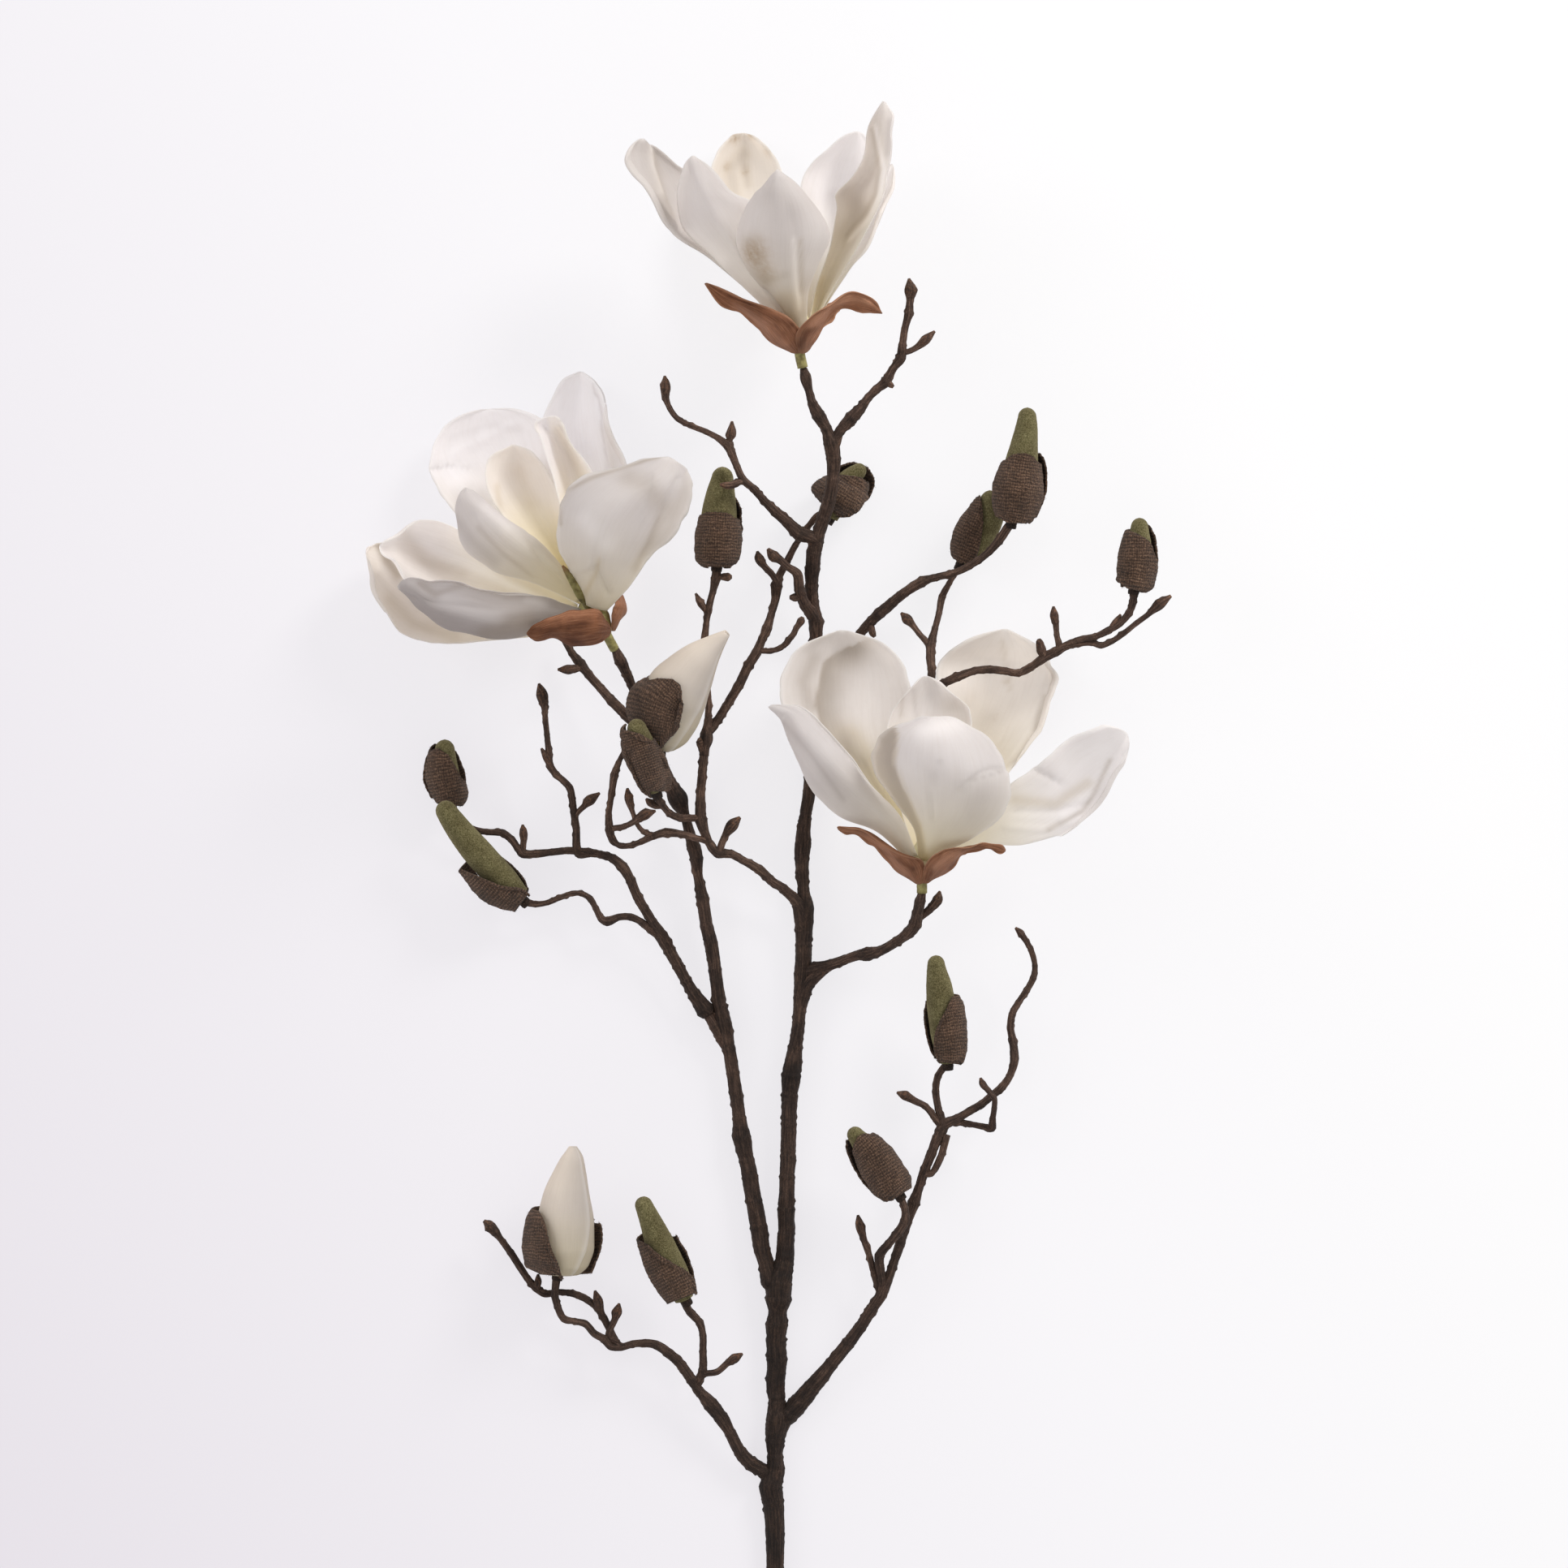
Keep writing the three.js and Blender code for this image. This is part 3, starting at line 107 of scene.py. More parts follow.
# Buds, in millimetres: the gap from core to scale, and the loose fibres on the scales.
FELT_GAP = 0.65
WHITE_GAP = 1.3
HAIR_LENGTHS = (0.5, 1.3)
HAIR_RADIUS = 0.07
HAIR_ROOT = 0.2
HAIR_LEAN = 0.45
HAIRS_INSIDE = 60
CORE_NARROWING = (0.93, 0.85)  # of the last two traced widths of a felted core
NECK_WIDTHS = (13, 14, 12, 8)  # in pixels, of the bark neck from the twig up into the bud
# Degrees that a white bud's petals wind round it.
ROLL_TURN = 560
# Shares of that winding: how much lies under its outermost turn, where the painted shade in the
# crack under the outermost rim is darkest, and how wide that painted shade is.
UNDER_SHARE = 0.357
CRACK_SHADE, CRACK_SHADE_WIDTH = 0.335, 0.035
PISTIL_STALK = "flower_2_stalk"  # the one that goes on as a pistil

TINY = 1e-9  # keeps row numbers in range and divisions from zero

# The wood. Each piece is a list of branches, the first its own stem, and each branch is rows of
# [across, down, height, width], from where it starts to its tip or tip bud.
WOOD = {
    "main_stem": [
        [[957, 2108, 4.2, 23], [955, 2045, 4.3, 22], [954, 1985, 4.4, 22], [955, 1932, 4.5, 22],
         [955, 1900, 4.6, 23], [953, 1850, 4.7, 26], [950, 1832, 4.8, 29], [955, 1813, 4.8, 22],
         [955, 1795, 4.9, 20], [955, 1775, 5, 24], [958, 1750, 5, 29], [957, 1728, 5, 21],
         [956, 1705, 5.2, 23], [957, 1675, 5.3, 25], [956, 1650, 5.4, 24], [957, 1632, 5.5, 27],
         [958, 1617, 5.6, 23], [959, 1600, 5.8, 32], [960, 1580, 6, 32], [966, 1556, 6.2, 24],
         [969, 1520, 6.4, 21], [969, 1490, 6.5, 21], [970, 1450, 6.6, 19], [971, 1425, 6.7, 19],
         [972, 1385, 6.8, 19], [973, 1350, 7, 20], [975, 1325, 7.2, 24], [980, 1290, 7.6, 18],
         [984, 1260, 7.8, 16], [986, 1230, 8, 17], [989, 1200, 8.2, 21], [990, 1165, 8.4, 20],
         [991, 1122, 8.6, 24], [990, 1095, 8.6, 15], [988, 1058, 8.4, 18], [989, 1040, 8.3, 20],
         [992, 1008, 8, 15], [997, 975, 7.6, 16], [1001, 930, 7, 16], [1003, 880, 6.6, 15],
         [1004, 830, 7, 16], [1005, 790, 8.6, 16], [1005, 765, 10.5, 18], [1001, 742, 13, 16],
         [1000, 722, 15.5, 16], [1001, 700, 19, 18], [1003, 680, 22, 18], [1008, 660, 25, 16],
         [1015, 638, 28, 16], [1022, 615, 31, 16], [1026, 590, 34, 15], [1027, 565, 36.5, 18],
         [1024, 545, 38.5, 19], [1018, 528, 40, 14], [1008, 511, 42, 16], [1001, 497, 44, 12],
         [997, 482, 46, 10], [993, 467, 48, 14], [990, 454, 49.5, 9]],
    ],
    "left_leader": [
        [[956, 1588, 6, 20], [949, 1578, 6, 23], [945, 1560, 6.2, 20], [939, 1540, 6.4, 20],
         [935, 1512, 6.6, 22], [929, 1480, 6.8, 20], [924, 1450, 6.9, 20], [920, 1430, 7, 19],
         [914, 1402, 7.1, 22], [911, 1378, 7.2, 17], [903, 1322, 7.4, 16], [898, 1292, 7.5, 16],
         [892, 1263, 7.7, 20], [887, 1240, 7.8, 18], [881, 1195, 8, 16], [876, 1162, 8.2, 17],
         [871, 1142, 8.4, 16], [865, 1104, 8.7, 15], [860, 1079, 9, 12], [858, 1058, 9.1, 17],
         [855, 1044, 9.3, 17], [850, 1028, 9.6, 13], [845, 1008, 10.4, 12], [835, 984, 12, 24],
         [825, 963, 13.5, 15], [808, 925, 16.5, 14], [795, 890, 21, 13], [783, 855, 28, 11],
         [772, 830, 36, 12], [765, 815, 41, 15], [758, 800, 46, 10]],
    ],
    "short_twig": [
        [[790, 898, 20, 13], [770, 880, 18, 13], [755, 865, 16, 12], [740, 848, 14, 11],
         [725, 831, 12, 11], [715, 818, 10, 13], [705, 805, 9, 9], [696, 789, 8, 9]],
        [[717, 824, 11, 6], [708, 824, 12, 10], [700, 825, 12, 12], [687, 825, 12, 3]],
    ],
    "lower_left_sprig": [
        [[951, 1822, 4.8, 16], [940, 1812, 5, 18], [925, 1803, 6, 18], [912, 1789, 7, 16],
         [900, 1766, 8.5, 14], [888, 1746, 10, 18], [875, 1730, 11, 18], [861, 1713, 12, 12],
         [852, 1700, 13, 13], [840, 1683, 14, 12], [825, 1668, 15, 12], [808, 1657, 15.5, 11],
         [795, 1655, 16, 10], [780, 1656, 16, 9], [765, 1660, 16, 9], [752, 1659, 16.5, 9],
         [744, 1650, 17, 10], [732, 1643, 17.5, 9], [721, 1631, 18.5, 9], [708, 1628, 19, 8],
         [695, 1625, 19.5, 9], [687, 1610, 20, 9], [684, 1595, 20.5, 9], [686, 1573, 21, 11]],
        [[765, 1659, 16, 8], [752, 1640, 15, 9], [744, 1624, 14, 9], [736, 1612, 14, 9],
         [724, 1602, 14, 9], [712, 1596, 14, 9], [700, 1593, 14, 8], [686, 1592, 13.5, 8],
         [672, 1594, 13.5, 9], [660, 1587, 13.5, 9], [650, 1575, 14, 9], [640, 1560, 14, 9],
         [629, 1543, 14.5, 9], [617, 1527, 15, 8], [611, 1519, 15, 11], [605, 1512, 15, 14],
         [596, 1504, 15, 4]],
        [[663, 1588, 14, 6], [663, 1579, 15, 9], [663, 1570, 15.5, 3]],
        [[741, 1616, 15, 7], [737, 1603, 16, 12], [733, 1590, 16, 3]],
        [[750, 1646, 16, 8], [757, 1627, 17, 8], [760, 1617, 17.5, 13], [763, 1606, 18, 3]],
        [[858, 1711, 12, 10], [862, 1700, 12.5, 11], [866, 1688, 13, 11], [866, 1665, 14, 9],
         [866, 1645, 15, 9], [862, 1630, 16, 10], [850, 1616, 17.5, 10], [842, 1603, 19, 9]],
        [[866, 1694, 13, 8], [884, 1690, 14, 8], [896, 1680, 15, 8], [905, 1674, 15.5, 12],
         [915, 1668, 16, 3]],
    ],
    "lower_right_sprig": [
        [[958, 1756, 5, 18], [972, 1742, 5.4, 24], [985, 1728, 6, 24], [1000, 1710, 7, 21],
         [1025, 1680, 8.5, 17], [1045, 1655, 10, 16], [1060, 1635, 11, 15], [1075, 1612, 12, 14],
         [1086, 1595, 13, 14], [1094, 1578, 13.5, 11], [1101, 1556, 14, 11], [1110, 1530, 15, 12],
         [1118, 1505, 15.5, 12], [1126, 1482, 16, 15], [1132, 1464, 16, 11], [1140, 1440, 16, 12],
         [1148, 1420, 16.5, 12], [1155, 1402, 17, 13], [1163, 1387, 17, 14], [1180, 1378, 17, 11],
         [1195, 1369, 17, 10], [1210, 1360, 17, 10], [1222, 1350, 17, 10], [1235, 1339, 17.5, 10],
         [1245, 1324, 18, 9], [1250, 1304, 18, 11], [1248, 1284, 18.5, 10], [1245, 1265, 19, 9],
         [1247, 1250, 19, 9], [1255, 1235, 19.5, 8], [1265, 1220, 20, 8], [1273, 1205, 20, 8],
         [1275, 1190, 20.5, 7], [1270, 1170, 21, 7], [1262, 1156, 21.5, 7], [1258, 1150, 22, 9],
         [1251, 1143, 22, 3]],
        [[1085, 1594, 13, 11], [1086, 1575, 14.5, 11], [1084, 1560, 17, 11], [1084, 1547, 19, 12],
         [1095, 1532, 22, 10], [1107, 1518, 23.5, 11], [1115, 1504, 24, 12], [1115, 1490, 24, 9],
         [1108, 1471, 24, 9]],
        [[1137, 1448, 16.5, 7], [1147, 1446, 17, 8], [1158, 1428, 17.5, 9], [1167, 1398, 17.5, 9]],
        [[1083, 1600, 12.5, 7], [1077, 1570, 14, 8], [1072, 1550, 15, 8], [1065, 1529, 16, 8],
         [1060, 1511, 17, 12], [1057, 1497, 17, 3]],
        [[1162, 1390, 17, 11], [1156, 1366, 18, 9], [1153, 1345, 19, 9], [1156, 1326, 20, 9],
         [1166, 1311, 21, 9]],
        [[1161, 1389, 17, 8], [1150, 1375, 18, 8], [1140, 1363, 19, 8], [1128, 1357, 20, 9],
         [1115, 1350, 21, 12], [1105, 1346, 21.5, 3]],
        [[1165, 1386, 17, 9], [1180, 1383, 16, 9], [1195, 1385, 15.5, 8], [1210, 1388, 16, 8],
         [1222, 1390, 17, 10], [1223, 1379, 19.5, 8], [1225, 1366, 22.5, 7], [1225, 1353, 24.5, 7],
         [1218, 1344, 24.5, 7], [1211, 1336, 24.5, 9], [1208, 1328, 24.5, 3]],
    ],
    "mid_left_sprig": [
        [[887, 1252, 7.8, 12], [880, 1247, 8, 16], [867, 1239, 8.5, 18], [855, 1225, 9, 16],
         [845, 1208, 9.5, 14], [835, 1190, 10, 14], [825, 1171, 11, 15], [815, 1153, 12.5, 16],
         [804, 1136, 13.5, 12], [785, 1104, 15, 12], [777, 1085, 15.5, 12], [767, 1068, 16, 13],
         [755, 1058, 16, 11], [740, 1053, 16, 10], [720, 1050, 16, 11], [700, 1048, 16, 9],
         [680, 1050, 15, 9], [660, 1052, 14.5, 10], [645, 1052, 14, 10], [638, 1045, 14, 9],
         [630, 1034, 13.5, 9], [620, 1027, 13, 9], [600, 1025, 12.5, 8], [583, 1022, 12, 9],
         [570, 1013, 12.5, 8], [557, 999, 13, 9]],
        [[713, 1050, 16, 11], [710, 1020, 17.5, 9], [707, 1000, 18.5, 9], [705, 984, 19.5, 9],
         [702, 971, 20.5, 9], [694, 962, 21, 8], [685, 954, 21.5, 9], [678, 943, 22, 9],
         [676, 925, 22.5, 8], [674, 905, 23, 7], [672, 885, 23.5, 7], [671, 871, 24, 9],
         [668, 857, 24.5, 15], [664, 842, 25, 3]],
        [[710, 1004, 18.5, 6], [720, 993, 19, 8], [727, 986, 19.5, 13], [739, 977, 20, 3]],
        [[680, 946, 22, 7], [674, 934, 23, 10], [667, 922, 24, 3]],
        [[645, 1050, 14, 8], [645, 1036, 15, 8], [645, 1028, 15.5, 11], [644, 1016, 16, 3]],
        [[812, 1153, 12.5, 11], [802, 1145, 13, 11], [790, 1136, 13.5, 9], [777, 1130, 14, 9],
         [763, 1130, 14, 9], [748, 1135, 14, 12], [741, 1132, 14, 9], [734, 1119, 14, 8],
         [727, 1107, 14.5, 8], [716, 1101, 15, 7], [705, 1101, 15, 7], [690, 1106, 15, 7],
         [675, 1112, 15, 7], [660, 1114, 15, 8], [646, 1111, 15, 10]],
    ],
    "middle_sprig": [
        [[990, 1135, 9, 18], [983, 1113, 11.5, 14], [965, 1095, 13.5, 12], [950, 1085, 15, 11],
         [935, 1071, 16.5, 12], [915, 1060, 17.5, 10], [900, 1052, 18, 10], [885, 1051, 18.5, 12],
         [877, 1044, 18.5, 10], [870, 1030, 18.5, 11], [864, 1010, 19, 15], [863, 990, 19, 13],
         [864, 972, 19, 11], [866, 948, 19.5, 11], [868, 925, 20, 11], [870, 911, 20, 17],
         [872, 888, 20.5, 9], [873, 865, 20.5, 8], [870, 830, 21, 8], [868, 795, 22, 10],
         [870, 770, 23, 8], [873, 750, 24, 9], [878, 730, 25, 8], [882, 713, 26, 12],
         [883, 702, 26.5, 11]],
        [[888, 1050, 18.5, 9], [893, 1031, 20, 9], [902, 1017, 21.5, 15], [912, 1007, 22, 4]],
        [[864, 1010, 19, 10], [850, 1008, 20.5, 9], [838, 1008, 22.5, 9], [825, 1002, 26, 9],
         [815, 990, 31, 9], [808, 979, 35.5, 10]],
        [[816, 994, 30, 6], [808, 993, 31, 8], [801, 989, 31.5, 10], [796, 984, 32, 3]],
        [[868, 912, 20, 12], [862, 915, 20.5, 11], [858, 916, 20.5, 4]],
        [[883, 709, 26, 6], [889, 711, 26.5, 7], [897, 711, 27, 11], [902, 711, 27, 4]],
        [[871, 755, 23.5, 6], [864, 744, 24.5, 9], [857, 731, 25, 3]],
        [[870, 908, 20, 11], [880, 894, 19, 11], [895, 870, 19, 11], [910, 845, 19, 12],
         [922, 820, 19, 12], [932, 804, 19, 12], [940, 786, 19, 10], [945, 774, 19, 12],
         [950, 758, 18.5, 9], [955, 740, 18, 10], [957, 722, 17, 14], [959, 712, 16.5, 10],
         [968, 695, 15, 9], [980, 672, 13, 8], [995, 650, 11.5, 8], [1010, 634, 11, 8],
         [1021, 640, 11, 9]],
        [[957, 718, 17.5, 9], [950, 706, 18.5, 8], [943, 699, 19, 8], [936, 689, 19.5, 12],
         [933, 679, 19.5, 3]],
        [[933, 803, 19, 7], [950, 802, 20, 7], [962, 798, 20.5, 7], [975, 785, 21, 7],
         [982, 773, 21, 7], [987, 765, 21, 10], [989, 760, 21, 4]],
        [[874, 1038, 18.5, 8], [855, 1032, 18.5, 8], [840, 1028, 18.5, 9], [820, 1026, 18.5, 11],
         [805, 1030, 18.5, 9], [790, 1037, 18.5, 8], [775, 1042, 18.5, 7], [764, 1042, 18.5, 7],
         [755, 1035, 18.5, 9], [751, 1022, 18.5, 11], [750, 1005, 19, 8], [752, 990, 19, 7],
         [754, 975, 19.5, 8], [757, 955, 20, 10], [762, 940, 20.5, 7], [769, 926, 21, 6]],
        [[752, 1023, 18.5, 8], [770, 1018, 20, 7], [784, 1011, 21, 8], [794, 1004, 22, 13],
         [808, 999, 22, 3]],
        [[802, 1029, 18.5, 7], [788, 1020, 19.5, 6], [780, 1002, 20.5, 6], [775, 984, 21, 11],
         [773, 971, 21.5, 3]],
    ],
    "hooked_twig": [
        [[1006, 772, 10, 14], [1001, 758, 13, 15], [992, 745, 17, 14], [985, 726, 22, 13],
         [982, 707, 25, 12], [970, 698, 27, 9], [961, 690, 28.5, 10], [953, 685, 29, 14],
         [946, 676, 29, 4]],
        [[987, 735, 20, 8], [980, 736, 21, 11], [973, 736, 21.5, 5]],
    ],
    "upper_left_sprig": [
        [[1007, 668, 24, 14], [999, 662, 25.5, 16], [985, 657, 27, 18], [970, 643, 29, 14],
         [955, 630, 31.5, 13], [940, 615, 34.5, 10], [928, 602, 37.5, 10], [915, 590, 40, 10],
         [908, 575, 41.5, 9], [902, 560, 42, 10], [897, 550, 42, 11], [885, 540, 42, 8],
         [870, 532, 41.5, 7], [850, 524, 41, 7], [835, 516, 40.5, 7], [825, 503, 40, 7],
         [820, 489, 40, 9], [820, 477, 40, 13], [819, 463, 40, 3]],
        [[898, 552, 42, 7], [899, 541, 42.5, 8], [901, 533, 43, 12], [902, 519, 43, 3]],
        [[915, 593, 40, 8], [903, 597, 41.5, 9], [895, 598, 42, 9], [887, 597, 42, 3]],
    ],
    "right_flower_sprig": [
        [[990, 1200, 8.5, 16], [1003, 1194, 9.5, 16], [1020, 1190, 12, 14], [1040, 1183, 16, 12],
         [1057, 1177, 20, 13], [1070, 1175, 23.5, 17], [1085, 1171, 27.5, 12],
         [1105, 1160, 33.5, 12], [1120, 1149, 38.5, 15], [1128, 1138, 42.5, 16],
         [1131, 1124, 46.5, 14], [1134, 1110, 50, 13], [1136, 1100, 52, 10]],
        [[1131, 1133, 43.5, 9], [1145, 1121, 46, 10], [1155, 1109, 48, 13], [1158, 1098, 49, 3]],
    ],
    "right_sprig": [
        [[1003, 905, 6.5, 12], [1015, 880, 5.6, 12], [1032, 840, 5, 12], [1046, 808, 6, 12],
         [1060, 781, 8.5, 12], [1074, 765, 11, 13], [1085, 755, 13, 14], [1100, 742, 15.5, 13],
         [1115, 730, 18, 12], [1136, 717, 21, 13], [1150, 712, 23, 9], [1175, 706, 26, 9],
         [1195, 697, 28.5, 9], [1215, 683, 31, 9], [1230, 667, 33, 11], [1243, 648, 34.5, 11]],
        [[1072, 770, 11, 7], [1075, 780, 11.5, 9], [1078, 785, 11.5, 4]],
    ],
    "outer_right_sprig": [
        [[1001, 955, 7, 12], [1022, 944, 5.8, 12], [1055, 930, 5, 12], [1092, 910, 6, 12],
         [1122, 884, 11, 12], [1137, 864, 18, 12], [1150, 850, 24, 11], [1163, 842, 28.5, 11],
         [1180, 834, 30, 11], [1200, 827, 30.5, 9], [1220, 825, 30.5, 10], [1240, 827, 30.5, 9],
         [1255, 829, 30.5, 9], [1270, 822, 31, 10], [1284, 812, 31.5, 11], [1300, 803, 32, 12],
         [1315, 796, 33, 9], [1330, 793, 33.5, 8], [1345, 792, 34, 8], [1357, 795, 34.5, 8],
         [1370, 790, 35, 7], [1385, 780, 35.5, 7], [1400, 768, 36, 7], [1416, 756, 37, 7],
         [1428, 745, 37.5, 13], [1443, 734, 38, 4]],
        [[1138, 863, 19, 11], [1146, 845, 24, 11], [1148, 830, 26, 10], [1147, 813, 25.5, 11],
         [1147, 795, 24, 12], [1152, 775, 22, 8], [1157, 755, 20, 8], [1161, 735, 18, 9],
         [1170, 718, 16, 7], [1181, 699, 14, 8]],
        [[1145, 797, 24, 8], [1132, 780, 24.5, 7], [1125, 771, 25, 8], [1118, 763, 25, 13],
         [1110, 755, 25, 3]],
        [[1300, 802, 32, 9], [1320, 792, 33.5, 8], [1335, 787, 35, 8], [1350, 784, 36, 8],
         [1365, 777, 37, 9], [1380, 768, 38, 9], [1391, 755, 39, 9], [1396, 741, 40, 10],
         [1397, 728, 40.5, 11]],
        [[1367, 777, 37, 7], [1374, 767, 37.5, 8], [1381, 757, 38, 3]],
        [[1286, 812, 31.5, 8], [1283, 800, 32.5, 12], [1281, 791, 33, 9], [1280, 787, 33, 4]],
        [[1305, 800, 32, 8], [1302, 782, 33, 7], [1301, 769, 33.5, 8], [1299, 759, 34, 11],
         [1298, 747, 34, 3]],
    ],
    "top_right_twig": [
        [[1026, 549, 38.5, 12], [1035, 531, 40, 13], [1049, 515, 41.5, 16], [1060, 504, 42.5, 13],
         [1070, 490, 43, 10], [1080, 480, 44, 11], [1092, 470, 45, 13], [1100, 455, 46, 10],
         [1110, 440, 47, 13], [1112, 425, 48, 10], [1115, 405, 49, 9], [1120, 385, 50, 11],
         [1121, 371, 50.5, 9], [1122, 358, 51, 16], [1120, 343, 51, 3]],
        [[1111, 436, 47, 8], [1122, 432, 47.5, 7], [1131, 427, 48, 8], [1140, 419, 48.5, 12],
         [1152, 408, 49, 3]],
        [[1092, 470, 45, 8], [1097, 474, 45.5, 8], [1101, 477, 45.5, 4]],
    ],
}

# Extra swellings of the wood where branches meet.
SWELLINGS = {
    "right_flower_sprig": [
        [[984, 1264, 7.8, 7], [986, 1246, 8, 14], [989, 1228, 8.4, 17], [996, 1211, 9.2, 18],
         [1009, 1200, 10.6, 14], [1022, 1192, 12.2, 9], [1034, 1186, 14.5, 4]],
    ],
    "left_leader": [
        [[898, 1298, 7.4, 7], [889, 1279, 7.6, 15], [881, 1264, 8, 15], [873, 1252, 8.4, 12],
         [867, 1243, 8.7, 9]],
    ],
}

# Branches that end in a broken collar of their own, in place of their first three rows.
COLLARS = {
    "mid_left_sprig": [[873, 1251, 8.6, 17], [869, 1245, 8.7, 22], [862, 1235, 8.8, 19]],
}

# How much of the pale tone thin wood takes, for the sprigs that are darker than the rest.
PALENESS = {
    "lower_left_sprig": 0.6,
    "mid_left_sprig": 0.72,
    "lower_right_sprig": 0.76,
}

# The green stalk and the flower's core, from the wood up. The second has the pistil too.
STALKS = {
    "flower_1_stalk": [
        [989, 453, 50.3, 13], [985, 433, 51.5, 13], [985, 424, 51.8, 26], [985, 410, 52, 32],
        [985, 396, 52, 26], [985, 380, 52, 10],
    ],
    "flower_2_stalk": [
        [757, 799.5, 47, 12], [748, 783, 51, 12], [745, 776, 52, 20], [736, 764, 53, 34],
        [726, 751, 54, 32], [724, 747, 57, 9], [715, 732, 63, 12], [705, 716, 66.5, 9],
        [698, 704, 68, 7], [693, 697, 68.5, 2.5],
    ],
    "flower_3_stalk": [
        [1136, 1100, 52.2, 13], [1136, 1088, 53, 13], [1136, 1080, 53, 28], [1137, 1064, 53, 38],
        [1138, 1050, 53, 32], [1137, 1034, 53, 12],
    ],
}

# Felted buds and white buds, from the stem to the tip.
BUDS = {
    "bud_1": [
        [1246, 646, 35, 16], [1250, 637, 35, 44], [1254, 605, 37, 62], [1258, 575, 38, 50],
        [1262, 545, 39.5, 35], [1265, 520, 41, 23], [1266, 505, 41.5, 17], [1266, 497, 42, 7],
    ],
    "bud_2": [
        [1183, 698, 14, 14], [1188, 687, 14, 33], [1200, 658, 15, 46], [1210, 635, 16, 36],
        [1213, 619, 17, 18], [1213, 610, 17, 7],
    ],
    "bud_3": [
        [1021, 641, 11.5, 14], [1026, 632, 12, 38], [1039, 609, 13, 54], [1051, 591, 14, 44],
        [1058, 579, 15, 20], [1061, 572, 15, 7],
    ],
    "bud_4": [
        [883, 700, 27, 14], [884, 691, 27, 44], [885, 665, 28, 56], [886, 640, 29, 49],
        [887, 618, 30, 37], [889, 596, 31.5, 28], [890, 582, 32.5, 20], [890, 575, 33, 8],
    ],
    "bud_5": [
        [1397, 728, 41, 15], [1399, 716, 41, 38], [1402, 690, 42, 48], [1402, 665, 43, 38],
        [1403, 647, 44, 20], [1403, 632, 45, 8],
    ],
    "bud_6": [
        [809, 978, 36, 14], [805, 969, 39, 34], [797, 945, 46, 50], [788, 920, 53, 42],
        [783, 901, 57.5, 24], [780, 887, 60, 8],
    ],
    "bud_7": [
        [556, 996, 14, 14], [555, 986, 14, 34], [549, 957, 15, 48], [546, 934, 16, 38],
        [547, 919, 17, 21], [547, 911, 17, 8],
    ],
    "bud_8": [
        [646, 1111, 15, 14], [637, 1104, 16, 36], [612, 1081, 18.5, 50], [590, 1057, 20.5, 34],
        [571, 1032, 22.5, 28], [553, 1004, 25.5, 23], [544, 990, 27, 9],
    ],
    "bud_9": [
        [1168, 1313, 21.5, 14], [1170, 1304, 22, 36], [1166, 1270, 24, 49], [1161, 1240, 26, 40],
        [1157, 1213, 27.5, 29], [1154, 1193, 29, 21], [1153, 1178, 30, 8],
    ],
    "bud_10": [
        [1109, 1474, 24, 14], [1103, 1467, 24, 36], [1086, 1440, 26, 50], [1070, 1415, 28, 40],
        [1056, 1400, 29, 23], [1049, 1392, 30, 8],
    ],
    "bud_11": [
        [846, 1604, 20, 14], [843, 1597, 20, 34], [829, 1570, 22, 50], [815, 1541, 25, 41],
        [806, 1516, 27, 29], [797, 1494, 29, 22], [789, 1477, 30, 8],
    ],
    "white_bud_1": [
        [813, 932, 36, 14], [814, 920, 38, 44], [817, 892, 41, 74], [825, 868, 44, 84],
        [842, 848, 48, 72], [861, 825, 51, 50], [881, 800, 54, 25], [895, 783, 56, 6],
    ],
    "white_bud_2": [
        [687, 1573, 21.5, 14], [690, 1564, 22, 62], [693, 1537, 22, 92], [694, 1507, 23, 84],
        [699, 1475, 24, 60], [704, 1446, 25, 38], [706, 1425, 26, 21], [706, 1412, 26, 6],
    ],
}

